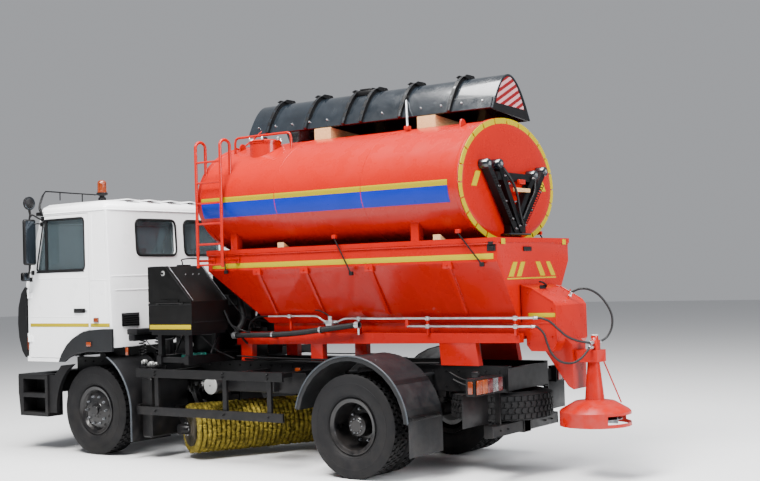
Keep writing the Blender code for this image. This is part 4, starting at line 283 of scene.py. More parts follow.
def outlined(name, parts, body, smooth=35, replaces=None):
    """One piece from several (part, material) pairs, which rides on a body.

    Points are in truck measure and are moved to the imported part's frame.
    """
    mesh = bpy.data.meshes.new(name)
    points, faces = joined(*[part for part, material in parts])
    mesh.from_pydata((points + (AXLE_X, 0, 0)).tolist(), [], faces)
    coats = list(dict.fromkeys(material for part, material in parts))
    for material in coats:
        mesh.materials.append(bpy.data.materials[material])
    index = np.repeat([coats.index(material) for part, material in parts],
        [len(part[1]) for part, material in parts])
    mesh.polygons.foreach_set("material_index", index.astype(np.int32))
    cleaned(mesh, outwards=True)
    made = shown(name, mesh, smooth)
    if replaces:
        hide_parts(replaces)
    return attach(made, body)


def dressed(name, coat, smooth, edge, zones=()):
    """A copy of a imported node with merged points, rounded edges and its finish.

    zones are (material, low corner, high corner) in truck measure: faces whose middle
    lies in that box take that material instead.
    """
    mesh = NODES[name].data.copy()
    cleaned(mesh, outwards=False)
    mesh.materials.clear()
    for material in [coat] + [zone[0] for zone in zones]:
        mesh.materials.append(bpy.data.materials[material])
    middle = np.empty(len(mesh.polygons) * 3)
    mesh.polygons.foreach_get("center", middle)
    middle = middle.reshape(-1, 3) - (AXLE_X, 0, 0)
    index = np.zeros(len(middle), np.int32)
    for number, (material, low, high) in enumerate(zones):
        index[((middle >= low) & (middle <= high)).all(1)] = number + 1
    mesh.polygons.foreach_set("material_index", index)
    made = shown(f"{name}_finished", mesh, smooth)
    if edge:
        rounding = made.modifiers.new("edges", "BEVEL")
        rounding.width, rounding.segments = edge, 2
        rounding.limit_method, rounding.angle_limit = "ANGLE", radians(smooth)
        rounding.harden_normals = rounding.use_clamp_overlap = True
    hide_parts(name)
    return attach(made, NODES[name]["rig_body"])


# ---------------------------------------------------------------- materials
def colour(code):
    """Linear red, green, blue and alpha of an sRGB hex colour; a linear one is passed on."""
    if not isinstance(code, str):
        return list(code)
    parts = [int(code[n:n + 2], 16) / 255 for n in (0, 2, 4)]
    return [p / 12.92 if p <= 0.04045 else ((p + 0.055) / 1.055) ** 2.4 for p in parts] + [1.0]


def shade(code, factor):
    """A colour made darker or lighter by a factor, as linear values."""
    return [min(1.0, part * factor) for part in colour(code)[:3]] + [1.0]


def filled(made, links):
    """Fills or links a node's inputs, named or numbered, and gives the node back."""
    for key, value in links.items():
        if isinstance(value, bpy.types.NodeSocket):
            made.id_data.links.new(value, made.inputs[key])
        else:
            made.inputs[key].default_value = value
    return made


def node(tree, kind, links, **settings):
    """Adds a shader node, sets its properties, and fills or links its inputs."""
    made = tree.nodes.new(kind)
    for key, value in settings.items():
        setattr(made, key, value)
    return filled(made, links)


def fresh(name):
    """A new material, its tree, its shader and the Object coordinates."""
    material = bpy.data.materials.new(name)
    material.use_nodes = True
    tree = material.node_tree
    place = node(tree, "ShaderNodeTexCoord", {}).outputs["Object"]
    return material, tree, tree.nodes["Principled BSDF"], place


def finish(name, code, roughness, metallic=0.0, coat=0.0, dust="6E6660", dust_amount=0.25,
        dust_top=1.2, grain=60.0, bump=0.02, mottle=0.08, coarse=3.0, shine=0.5):
    """A made surface with cloudy colour, uneven gloss, fine relief and road dust low down.

    mottle is how far the colour wanders over coarse cells a metre; grain and bump are
    the relief's cells a metre and strength; dust gathers below dust_top metres.
    """
    material, tree, shader, place = fresh(name)
    cloud, fine, patches, wear = (node(tree, "ShaderNodeTexNoise", {"Vector": place, "Scale": scale,
        "Detail": detail, "Roughness": 0.55}).outputs["Fac"] for scale, detail in ((coarse, 4.0),
        (grain, 2.0), (9.0, 5.0), (coarse * 4, 4.0)))
    height = node(tree, "ShaderNodeSeparateXYZ", {"Vector": place}).outputs["Z"]
    share, low_down, patchy = (node(tree, "ShaderNodeMapRange", {"Value": value, "From Min": low,
        "From Max": high}, interpolation_type="SMOOTHSTEP").outputs["Result"]
        for value, low, high in ((cloud, 0.3, 0.7), (height, dust_top, 0.15), (patches, 0.35, 0.7)))
    amount = node(tree, "ShaderNodeMath", {0: low_down, 1: dust_amount}, operation="MULTIPLY")
    dirt = node(tree, "ShaderNodeMath", {0: amount.outputs[0], 1: patchy},
        operation="MULTIPLY").outputs[0]
    body = node(tree, "ShaderNodeMix", {"Factor": share, MIX_A: shade(code, 1 - mottle * 2),
        MIX_B: shade(code, 1 + mottle)}, data_type="RGBA")
    base = node(tree, "ShaderNodeMix", {"Factor": dirt, MIX_A: body.outputs[MIX_RESULT],
        MIX_B: colour(dust)}, data_type="RGBA")
    gloss = node(tree, "ShaderNodeMapRange", {"Value": wear, "From Min": 0.3, "From Max": 0.7,
        "To Min": max(0.02, roughness - 0.05), "To Max": roughness + 0.07})
    dull = node(tree, "ShaderNodeMath", {0: gloss.outputs["Result"], 1: dirt}, operation="ADD",
        use_clamp=True)
    relief = node(tree, "ShaderNodeBump", {"Height": fine, "Strength": bump, "Distance": 0.002})
    filled(shader, {"Base Color": base.outputs[MIX_RESULT], "Roughness": dull.outputs[0],
        "Metallic": metallic, "Coat Weight": coat, "Coat Roughness": 0.06,
        "Specular IOR Level": shine, "Normal": relief.outputs["Normal"]})
    return material


def striped(material, code, normal, pitch, share):
    """Lays slanting bars of a second colour over a material's base colour.

    A point's distance along a normal, divided by the pitch, has a fractional part; where
    that part is below the share the bar's colour shows.
    """
    tree = material.node_tree
    shader = tree.nodes["Principled BSDF"]
    place = node(tree, "ShaderNodeTexCoord", {}).outputs["Object"]
    reach = node(tree, "ShaderNodeVectorMath", {0: place, 1: normal}, operation="DOT_PRODUCT")
    turns = node(tree, "ShaderNodeMath", {0: reach.outputs["Value"], 1: 1 / pitch},
        operation="MULTIPLY")
    part = node(tree, "ShaderNodeMath", {0: turns.outputs[0]}, operation="FRACT")
    bar = node(tree, "ShaderNodeMath", {0: part.outputs[0], 1: share}, operation="LESS_THAN")
    base = node(tree, "ShaderNodeMix", {"Factor": bar.outputs[0], MIX_B: colour(code),
        MIX_A: shader.inputs["Base Color"].links[0].from_socket}, data_type="RGBA")
    filled(shader, {"Base Color": base.outputs[MIX_RESULT]})


def patterned(tree, value, low, high, first, second):
    """Goes smoothly from one colour to another as a value goes from low to high."""
    share = node(tree, "ShaderNodeMapRange", {"Value": value, "From Min": low, "From Max": high},
        interpolation_type="SMOOTHSTEP")
    return node(tree, "ShaderNodeMix", {"Factor": share.outputs["Result"], MIX_A: first,
        MIX_B: second}, data_type="RGBA").outputs[MIX_RESULT]


def sawn_wood(name):
    """Sawn spruce: pale fibres drawn out along the beam with darker growth bands."""
    material, tree, shader, place = fresh(name)
    long = node(tree, "ShaderNodeMapping", {"Vector": place, "Scale": (9.0, 1.2, 9.0)})
    fibre = node(tree, "ShaderNodeTexNoise", {"Vector": long.outputs["Vector"], "Scale": 14.0,
        "Detail": 6.0, "Roughness": 0.65}).outputs["Fac"]
    relief = node(tree, "ShaderNodeBump", {"Height": fibre, "Strength": 0.4, "Distance": 0.003})
    filled(shader, {"Base Color": patterned(tree, fibre, 0.3, 0.72, colour("A8794A"),
        colour("D9B07C")), "Roughness": 0.75, "Normal": relief.outputs["Normal"]})


def tape(name, code):
    """Retroreflective tape: a clear face over a fine honeycomb of 12 mm cells."""
    material, tree, shader, place = fresh(name)
    cells = node(tree, "ShaderNodeTexVoronoi", {"Vector": place, "Scale": 85.0, "Randomness": 0.0},
        feature="DISTANCE_TO_EDGE").outputs["Distance"]
    filled(shader, {"Base Color": patterned(tree, cells, 0.02, 0.1, shade(code, 0.72),
        colour(code)), "Roughness": 0.45, "Specular IOR Level": 0.15})
    return material


def window_glass(name, code, roughness=0.02):
    """Toughened glass: clear and slightly tinted, with a thin uneven film of dust."""
    material, tree, shader, place = fresh(name)
    film = node(tree, "ShaderNodeTexNoise", {"Vector": place, "Scale": 5.0, "Detail": 4.0,
        "Roughness": 0.55}).outputs["Fac"]
    filled(shader, {"Base Color": patterned(tree, film, 0.45, 0.8, colour(code), shade(code, 0.8)),
        "Roughness": roughness, "Transmission Weight": 0.9, "IOR": 1.5})


def lens(name, code, rib=0.008):
    """Moulded acrylic lamp lens: deep clear colour over upright prisms.

    The prisms are drawn 8 mm wide, coarser than real ones, so that they show. A wave
    texture's bands are pi / (10 x its scale) apart.
    """
    material, tree, shader, place = fresh(name)
    lines = node(tree, "ShaderNodeTexWave", {"Vector": place, "Scale": pi / (10 * rib),
        "Distortion": 0.0}, bands_direction="Y").outputs["Fac"]
    base = node(tree, "ShaderNodeMix", {"Factor": lines, MIX_A: shade(code, 0.6),
        MIX_B: colour(code)}, data_type="RGBA")
    relief = node(tree, "ShaderNodeBump", {"Height": lines, "Strength": 0.35, "Distance": 0.003})
    filled(shader, {"Base Color": base.outputs[MIX_RESULT], "Roughness": 0.18, "Coat Weight": 0.25,
        "Coat Roughness": 0.03, "Normal": relief.outputs["Normal"]})


# ---------------------------------------------------------------- what a user may change
class TruckFinishes(bpy.types.PropertyGroup):
    """Main paints of the truck, as linear colours."""
    body: FloatVectorProperty(name="Body paint",
        description="Enamel of the tank, hopper and subframe", subtype="COLOR", size=4, min=0,
        max=1, default=colour("9A0C00"))
    cab: FloatVectorProperty(name="Cab paint", description="Enamel of the cab's panels",
        subtype="COLOR", size=4, min=0, max=1, default=colour("F1F2F4"))
    band: FloatVectorProperty(name="Tank band", description="Painted band along the tank",
        subtype="COLOR", size=4, min=0, max=1, default=colour("02208E"))
    tape: FloatVectorProperty(name="Marking tape", description="Reflective tape of the stripes",
        subtype="COLOR", size=4, min=0, max=1, default=colour("A08E00"))


class TruckSizes(bpy.types.PropertyGroup):
    """Sizes that stay free once the solids are fixed."""
    tread: FloatProperty(name="Tread depth", description="Height of the tyre blocks", default=0.014,
        min=0.004, max=0.02, unit="LENGTH")
    tread_blocks: IntProperty(name="Tread blocks", description="Blocks round each row of a tyre",
        default=46, min=24, max=80)
    tape_width: FloatProperty(name="Tape width", description="Width of the reflective tape",
        default=0.05, min=0.02, max=0.1, unit="LENGTH")
    bristle_rings: IntProperty(name="Bristle rings",
        description="Rings of bristles along the brush", default=40, min=10, max=80)
    bolt: FloatProperty(name="Bolt width",
        description="Width across the flats of the frame's bolts", default=0.024, min=0.01,
        max=0.05, unit="LENGTH")


class TruckStage(bpy.types.PropertyGroup):
    """Floor, light and camera round the truck."""
    lens: FloatProperty(name="Lens", description="Focal length of the camera", default=57.25,
        min=20, max=200, unit="CAMERA")
    floor: FloatProperty(name="Floor", description="Half the width of the floor", default=60.0,
        min=10, max=200, unit="LENGTH")
    key: FloatProperty(name="Key light", description="Power of the large soft light",
        default=3200.0, min=0, unit="POWER")


class TRUCK_OT_finishes(bpy.types.Operator):
    """Makes every material of the truck"""
    bl_idname = "truck.finishes"
    bl_label = "Finishes"

    def execute(self, context):
        paint = context.scene.truck_finishes
        # sprayed alkyd enamel: a wet gloss over slight orange peel, cleaner high up
        finish("orange_enamel", paint.body, roughness=0.28, coat=0.1, shine=0.2, mottle=0.02,
            dust_amount=0.2, dust_top=1.5, bump=0.015, coarse=1.4)
        finish("white_enamel", paint.cab, roughness=0.3, coat=0.5, mottle=0.015, dust_amount=0.35,
            dust_top=1.5, bump=0.03, coarse=1.2)
        finish("blue_enamel", paint.band, roughness=0.32, coat=0.05, shine=0.15, mottle=0.03,
            bump=0.05)
        # chassis black: thin satin enamel, always dusty
        finish("chassis_enamel", "08080A", 0.4, shine=0.22, dust_amount=0.05, dust_top=1.5,
            mottle=0.2, bump=0.12)
        finish("box_enamel", "070707", 0.38, shine=0.2, dust_amount=0.05, dust_top=2.6, mottle=0.2,
            dust="3A2A26")
        # injection-moulded polypropylene with a fine eggshell grain; its mid grey is painted
        # highlight, used only on the mudguards' lips along their edges
        finish("lip_highlight_grey", "2A3036", 0.5, shine=0.4, dust_amount=0.12, dust_top=1.6, bump=0.2,
            grain=420.0)
        finish("fender_moulding", "101215", 0.5, shine=0.3, dust_amount=0.1, dust_top=1.6, bump=0.2,
            grain=420.0)
        finish("black_moulding", "0A0A0C", 0.5, shine=0.22, dust_amount=0.05, bump=0.2, grain=420.0)
        finish("seat_moquette", "3B3E46", 0.95, mottle=0.2, bump=0.5, grain=500.0)
        finish("tread_rubber", "0E0E10", 0.66, shine=0.2, dust_amount=0.06, dust_top=1.3,
            mottle=0.15, bump=0.25, grain=260.0, dust="5E5852")
        finish("hose_cover", "101012", 0.5, shine=0.3, dust_amount=0.08, mottle=0.15, bump=0.2,
            grain=300.0)
        finish("wheel_enamel", "08080A", 0.3, coat=0.15, shine=0.3, dust_amount=0.08, dust_top=1.3,
            mottle=0.15)
        # zinc-plated steel tube: pale metal with cloudy dull patches
        finish("zinc_plate", "B9BBBE", 0.34, metallic=0.9, dust_amount=0.1, mottle=0.12,
            coarse=14.0)
        finish("bare_steel", "8C8F94", 0.38, metallic=1.0, dust_amount=0.2, mottle=0.2, coarse=20.0)
        finish("aluminium_casting", "A9AAA8", 0.5, metallic=0.7, dust_amount=0.3, mottle=0.15,
            bump=0.3, grain=240.0)
        finish("plough_enamel", "10161C", 0.22, coat=0.7, dust_amount=0.0, mottle=0.15, coarse=2.0)
        finish("green_moulding", "1E7A6C", 0.4, dust_amount=0.2)
        finish("brush_fibre", "7E6F26", 0.8, shine=0.2, dust_amount=0.35, dust_top=0.8, mottle=0.3,
            coarse=22.0, dust="2A2410")
        # the brush's core: the bristles' colour made much darker, painted shade deep between the
        # rings of bristles
        finish("shaded_bristle_core", "1E1A06", 0.8, shine=0.2, dust_amount=0.3, mottle=0.3, coarse=20.0)
        finish("reflector_silver", "D6D8DA", 0.12, metallic=0.9, dust_amount=0.0, mottle=0.05)
        finish("beige_cloth", "C9B489", 0.8, mottle=0.1)
        sawn_wood("sawn_spruce")
        tape("yellow_tape", paint.tape)
        tape("white_tape", "D9CFD2")
        striped(tape("warning_tape", "B08488"), "6E1216", (0.0, 0.42, 0.907), 0.075, 0.5)
        window_glass("cab_glass", "8FA0A6")
        window_glass("clear_lens", "DDE3E6", 0.05)
        finish("mirror_glass", "2A3138", 0.1, metallic=0.6, dust_amount=0.0, mottle=0.05)
        lens("amber_lens", "7A2C00")
        lens("red_lens", "480002")
        lens("yellow_lens", "803400")
        return {"FINISHED"}


# ---------------------------------------------------------------- the finishes used most
ORANGE, WHITE, TAPE, AMBER = "orange_enamel", "white_enamel", "yellow_tape", "amber_lens"
BLACK, DARK, HOSE, LIP_HIGHLIGHT = "black_moulding", "chassis_enamel", "hose_cover", "lip_highlight_grey"
ZINC, STEEL, CAST = "zinc_plate", "bare_steel", "aluminium_casting"


# ---------------------------------------------------------------- free hoses
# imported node, start, way out, points between, end, way back from the end
HOSES = (
    ("hose_upper", (-1.7503, 0.478, 1.61), (-1, 0, 0), ((-1.82, 0.478, 1.608), (-1.9, 0.455, 1.575),
        (-1.96, 0.4, 1.5), (-2.01, 0.32, 1.425), (-2.07, 0.235, 1.378), (-2.13, 0.165, 1.355)),
        (-2.165, 0.0853, 1.345), (0, 1, 0)),
    ("hose_lower", (-1.7203, 0.478, 1.525), (-1, 0, 0),
        ((-1.78, 0.478, 1.518), (-1.835, 0.46, 1.455), (-1.855, 0.435, 1.36), (-1.885, 0.4, 1.255),
        (-1.95, 0.35, 1.175), (-2.04, 0.29, 1.155), (-2.11, 0.225, 1.195), (-2.155, 0.165, 1.268)),
        (-2.165, 0.1053, 1.3), (0, 1, 0)),
    ("hose_loop", (-1.8566, -0.1, 1.8212), (-0.47, 0, 0.883), ((-1.885, -0.104, 1.853),
        (-1.955, -0.125, 1.88), (-2.04, -0.155, 1.872), (-2.13, -0.19, 1.815),
        (-2.2, -0.225, 1.715), (-2.245, -0.24, 1.6), (-2.243, -0.232, 1.48),
        (-2.205, -0.19, 1.385)), (-2.165, -0.0853, 1.345), (0, -1, 0)))
HOSE_RADIUS = 0.012
LEAD = 0.025          # straight run of a hose at each end
WINDING = 0.014       # one turn of the wound guard
CRIMP = ((0.0128, -0.002), (0.0155, 0.0), (0.0155, 0.008), (0.0148, 0.01), (0.0155, 0.012),
    (0.0155, 0.02), (0.0148, 0.022), (0.0155, 0.024), (0.0155, 0.032), (0.0128, 0.034))
UNION = ((0.0122, -0.016), (0.019, -0.016), (0.02, -0.013), (0.02, -0.004), (0.0185, -0.002),
    (0.0122, -0.002))


class TRUCK_OT_hoses(bpy.types.Operator):
    """Three hydraulic hoses of the spreader, each in its wound guard between crimped ends"""
    bl_idname = "truck.hoses"
    bl_label = "Hoses"

    def execute(self, context):
        for name, start, away, between, end, back in HOSES:
            start, away, end, back = (np.array(row, float) for row in (start, away, end, back))
            route = [start, start + away * LEAD, *between, end + back * LEAD, end]
            path, reach = evenly(smooth_path(route, 22), 0.0035)
            # guard: the radius falls by 1 mm along a line that winds round the hose
            turn = np.linspace(0, 2 * pi, 16, endpoint=False)
            radius = HOSE_RADIUS - 0.0006 * (1 + np.sin(turn - reach[:, None] * 2 * pi / WINDING))
            guard = swept(path, radius[..., None] * disc(1.0, 16), TUBE_UP)
            hose = outlined(f"{name}_guarded", [(guard, HOSE)], "truck", 60, name)
            fitting = joined(lathe(CRIMP, steps=20, hollow=True),
                lathe(UNION, steps=6, hollow=True))
            crimps = outlined(f"{name}_ends", [(placed(fitting, facing(at, way)), ZINC)
                for at, way in ((start, away), (end, back))], "truck", 30)
        return {"FINISHED"}


# ---------------------------------------------------------------- the solids, dressed
# material, smooth below this angle, rounding, nodes
DRESSED = (
    (DARK, 35, 0.0, "chassis_frame knuckle_left knuckle_right"),
    (DARK, 35, 0.003, "front_axle rear_axle"),
    (DARK, 35, 0.004, "engine_block equipment_rack brush_carrier"),
    (DARK, 35, 0.006, "side_guard_left side_guard_right"),
    (DARK, 30, 0.006, "push_frame"),
    (BLACK, 35, 0.008, "bumper"),
    (BLACK, 35, 0.003, "front_mudguard_left front_mudguard_right"),
    (BLACK, 35, 0.006, "cab_floor"),
    (BLACK, 35, 0.004, "grille_panel"),
    (BLACK, 40, 0.0, "mirror_left mirror_right"),
    ("fender_moulding", 35, 0.003, "rear_fender_left rear_fender_right"),
    ("fender_moulding", 35, 0.01, "arch_flare_left arch_flare_right"),
    ("box_enamel", 35, 0.004, "locker"),
    ("box_enamel", 35, 0.002, "locker_door"),
    (ORANGE, 32, 0.004, "subframe"),
    (ORANGE, 32, 0.0015, "hopper"),
    (ORANGE, 40, 0.0, "spreader_shroud"),
    (STEEL, 40, 0.0, "spreader_disc"),
    ("plough_enamel", 32, 0.002, "plough_blade"),
    ("sawn_spruce", 25, 0.004, "plough_beam_front plough_beam_rear"),
    ("wheel_enamel", 40, 0.0, "spare_rim"),
    (WHITE, 35, 0.004, "cab_side_left cab_side_right door_left door_right cab_front"),
    (WHITE, 35, 0.01, "cab_rear_wall"),
    (WHITE, 60, 0.006, "cab_roof"),
    ("cab_glass", 35, 0.0, "windscreen rear_windows door_glass_left door_glass_right"))
# node: faces of another material, by the box that holds their middles
ZONES = {
    "chassis_frame": ((CAST, (-2.215, -0.12, 1.255), (-2.11, 0.12, 1.43)),
        ("green_moulding", (2.2, 1.17, 1.3), (2.9, 1.3, 1.45))),
    "subframe": ((ZINC, (-1.745, 0.4655, 1.512), (0.56, 0.5, 1.538)),
        (ZINC, (-1.775, 0.4655, 1.597), (0.56, 0.5, 1.623))),
    "door_left": ((BLACK, (4.02, 1.218, 1.7), (4.2, 1.3, 1.8)),),
    "door_right": ((BLACK, (4.02, -1.3, 1.7), (4.2, -1.218, 1.8)),),
    "cab_floor": (("seat_moquette", (3.6, -1.2, 1.62), (4.5, 1.2, 2.6)),)}


class TRUCK_OT_solids(bpy.types.Operator):
    """Rounds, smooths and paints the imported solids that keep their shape"""
    bl_idname = "truck.solids"
    bl_label = "Dressed solids"

    def execute(self, context):
        for material, smooth, edge, nodes in DRESSED:
            for name in nodes.split():
                dressed(name, material, smooth, edge, ZONES.get(name, ()))
        return {"FINISHED"}


# ---------------------------------------------------------------- tyres and wheels
TYRE = WHEEL_Z - 0.0006
TREAD_HALF = 0.118
SPARE = Matrix.Translation((-1.07, 0.0, 0.7)) @ Matrix.Rotation(pi / 2, 4, "X")     # lying flat
# across the tyre, half width, turn as a share of a block, block's outline
TREAD_ROWS = (
    (0.091, 0.025, 0.0, ((-1, -0.36), (1, -0.3), (1, 0.3), (-1, 0.36))),
    (0.032, 0.027, 0.5, ((-1, -0.4), (0.1, -0.22), (1, -0.4), (1, 0.22), (0.1, 0.4), (-1, 0.22))),
    (-0.032, 0.027, 0.0, ((-1, -0.22), (-0.1, -0.4), (1, -0.22), (1, 0.4), (-0.1, 0.22),
        (-1, 0.4))),
    (-0.091, 0.025, 0.5, ((-1, -0.36), (1, -0.3), (1, 0.3), (-1, 0.36))))


def carcass(tread):
    """A tyre without blocks: its closed section turned about the axle.

    The section runs from one bead over the sidewall, with two moulded rings, to the
    grooves' floor and back down the other side.
    """
    side = np.array([(0.262, 0.1005), (0.299, 0.1015), (0.305, 0.112), (0.322, 0.127),
        (0.326, 0.126), (0.345, 0.1375), (0.372, 0.144), (0.405, 0.146), (0.436, 0.144),
        (0.438, 0.1458), (0.446, 0.145), (0.448, 0.1425), (0.476, 0.1385), (0.496, 0.1335),
        (TYRE - 0.024, 0.129), (TYRE - 0.01, 0.1225), (TYRE - 0.003, TREAD_HALF),
        (TYRE - tread, TREAD_HALF - 0.006)])
    return lathe(np.concatenate([side, side[::-1] * (1, -1)]), steps=72, hollow=True)


def tread_blocks(tread, count):
    """Four rows of blocks round a tyre, each an outline raised from the grooves' floor.

    A corner at (across, turn) stands at radius x (cos a, sin a) with a its turn times the
    pitch; the top is drawn in by a twelfth.
    """
    rows = []
    for middle, half, phase, outline in TREAD_ROWS:
        across, turn = np.array(outline).T
        rings = []
        for radius, share in ((TYRE - tread - 0.002, 1.0), (TYRE, 0.92)):
            angle = (phase + share * turn) * 2 * pi / count
            rings.append(np.stack([radius * np.sin(angle), middle + half * share * across,
                radius * np.cos(angle)], -1))
        rows.append(around(skin(np.array(rings), across=True, caps=True), count))
    return joined(*rows)


WHEELS = (  # node of the tyre, body, place of its middle
    ("front_tyre", "front_wheel", (FRONT_AXLE, 1.02)),
    ("rear_tyre_outer", "rear_wheels", (0.0, 1.09)),
    ("rear_tyre_inner", "rear_wheels", (0.0, 0.77)))


class TRUCK_OT_tyres(bpy.types.Operator):
    """Seven tyres with moulded sidewalls and blocks of tread"""
    bl_idname = "truck.tyres"
    bl_label = "Tyres"

    def execute(self, context):
        sizes = context.scene.truck_sizes
        tyre = joined(carcass(sizes.tread), tread_blocks(sizes.tread, sizes.tread_blocks))
        places = [(f"{name}_{side}", f"{body}_{side}", Matrix.Translation((x, sign * y, WHEEL_Z)))
            for name, body, (x, y) in WHEELS for side, sign in SIDES.items()]
        for name, body, matrix in places + [("spare_tyre", "truck", SPARE)]:
            outlined(f"{name}_treaded", [(placed(tyre, matrix), "tread_rubber")], body,
                32, name)
        return {"FINISHED"}


def flange_side(middle, sign):
    """Section of a rim's rolled lip, from its dish outwards: radius, distance from the middle."""
    half = 0.116
    lip = np.array([(0.24, half - 0.02), (0.247, half - 0.008), (0.258, half - 0.003),
        (0.274, half), (0.284, half + 0.006), (0.2895, half + 0.003), (0.29, half - 0.006),
        (0.287, half - 0.014), (0.262, half - 0.016), (0.2545, half - 0.022)])
    return lip * (1, sign) + (0, middle)


def rim_section(face, rims, back):
    """Section of a whole wheel: its face, one or two rims and its inboard side."""
    parts = [np.array(face)]
    for middle in rims:
        parts += [flange_side(middle, 1), flange_side(middle, -1)[::-1]]
    return np.concatenate(parts + [np.array(back)])


FRONT_FACE = ((AXIS_GAP, 0.1395), (0.05, 0.1395), (0.056, 0.134), (0.058, 0.112), (0.066, 0.107),
    (0.092, 0.105), (0.096, 0.1), (0.138, 0.097), (0.19, 0.0945), (0.205, 0.086), (0.224, 0.076))
TWIN_FACE = ((AXIS_GAP, 0.2145), (0.06, 0.2145), (0.066, 0.209), (0.082, 0.207), (0.088, 0.2),
    (0.106, 0.194), (0.111, 0.17), (0.114, 0.078), (0.124, 0.066), (0.196, 0.06), (0.212, 0.052),
    (0.226, 0.08), (0.236, 0.2))
FRONT_BACK = ((0.24, -0.085), (0.206, 0.03), (0.205, -0.092), (0.198, -0.0995), (0.052, -0.0995),
    (0.0505, 0.045), (AXIS_GAP, 0.0505))
TWIN_BACK = ((0.24, -0.245), (0.206, -0.05), (0.205, -0.232), (0.198, -0.2395), (0.052, -0.2395),
    (0.0505, -0.03), (AXIS_GAP, -0.0205))


def nut_ring(radius, reach, count, size=0.017):
    """Hexagon nuts on their studs round a hub: a six-sided turned form and a round one."""
    nut = lathe([(size, 0.0), (size, size), (size * 0.8, size * 1.3)], steps=6)
    stud = lathe([(size * 0.52, size), (size * 0.52, size * 2.1), (AXIS_GAP, size * 2.2)], steps=8)
    return around(placed(joined(nut, stud), Matrix.Translation((radius, reach, 0))), count)


def nut_on(at, way=(0, 1, 0), size=0.012):
    """A hexagon nut on its stud, standing at a point along a direction."""
    return placed(nut_ring(0.0, 0.0, 1, size), facing(at, way))


def hand_holes(radius, reach):
    """Ten oval hand holes round a wheel's dish, each with a pressed collar. No opening is cut: each
    hole is a black disc, painted shade of the dark space behind it.
    """
    size, oval = 0.017, Matrix.Diagonal((0.62, 1, 1, 1))
    # a black disc in place of the opening: painted shade of the space behind the hole
    hole_shade = lathe([(size, 0.001), (size, -0.002)], steps=16)
    collar = lathe([(size, -0.001), (size * 1.22, -0.001), (size * 1.1, 0.004), (size, 0.002)],
        steps=16, hollow=True)
    shift = Matrix.Translation((radius, reach, 0)) @ Matrix.Rotation(radians(-24), 4, "Z") @ oval
    return [(around(placed(part, shift), 10, pi / 10), material)
        for part, material in ((hole_shade, BLACK), (collar, "wheel_enamel"))]


# node, body, place of its middle, section, and (radius, reach, size, material) of its nuts
RIMS = (
    ("front_rim", "front_wheel", (FRONT_AXLE, 1.02), (FRONT_FACE, (0.0,), FRONT_BACK),
        (0.2115, 0.083), ((0.1675, 0.094, 0.017, STEEL), (0.078, 0.104, 0.007, "wheel_enamel"))),
    ("rear_rims", "rear_wheels", (0.0, 0.93), (TWIN_FACE, (0.16, -0.16), TWIN_BACK),
        (0.2185, 0.062), ((0.1675, 0.061, 0.017, STEEL), (0.074, 0.207, 0.008, STEEL))))


class TRUCK_OT_rims(bpy.types.Operator):
    """Disc wheels with their nuts, hand holes and hubs"""
    bl_idname = "truck.rims"
    bl_label = "Disc wheels"

    def execute(self, context):
        for name, body, (x, y), section, holes, nuts in RIMS:
            parts = [(lathe(rim_section(*section), steps=64), "wheel_enamel"), *hand_holes(*holes)]
            parts += [(nut_ring(radius, reach, 10, size), material)
                for radius, reach, size, material in nuts]
            moved = [(placed(part, Matrix.Translation((x, y, WHEEL_Z))), material)
                for part, material in parts]
            for side in SIDES:
                outlined(f"{name}_{side}_turned", sided(side, moved), f"{body}_{side}",
                    35, f"{name}_{side}")
        outlined("spare_nuts", [(placed(nut_ring(0.1675, 0.046, 10), SPARE), ZINC)], "truck")
        return {"FINISHED"}


# ---------------------------------------------------------------- brush
BRUSH_TURN = Matrix.Translation((2.085, -0.135, 0.355)) @ Matrix.Rotation(radians(-26), 4, "Z")
BRUSH_HALF, BRUSH_RADIUS = 1.174, 0.2945


def bristle_ring(at, half, seed, steps=132):
    """One ring of bristles: a thick disc whose edge is broken into tufts.

    At each angle the radius is the brush's, less a random part of 22 mm; the side of the
    ring leans along the brush by a random 16 mm.
    """
    chance = np.random.default_rng(seed)
    ragged = BRUSH_RADIUS - 0.022 * chance.random(steps) ** 2 - 0.006 * (np.arange(steps) % 3 == 0)
    lean = 0.016 * (chance.random(steps) - 0.5)
    angle = np.linspace(0, 2 * pi, steps, endpoint=False)
    rings = []
    for share, reach in ((0.3, 0.45), (0.8, 0.55), (0.965, 0.95), (1.0, 0.6), (1.0, -0.6),
            (0.965, -0.95), (0.8, -0.55), (0.3, -0.45)):
        r = ragged * share
        rings.append(np.stack([r * np.cos(angle), at + half * reach + lean * share ** 3,
            r * np.sin(angle)], -1))
    return skin(np.array(rings), across=True, along=True)


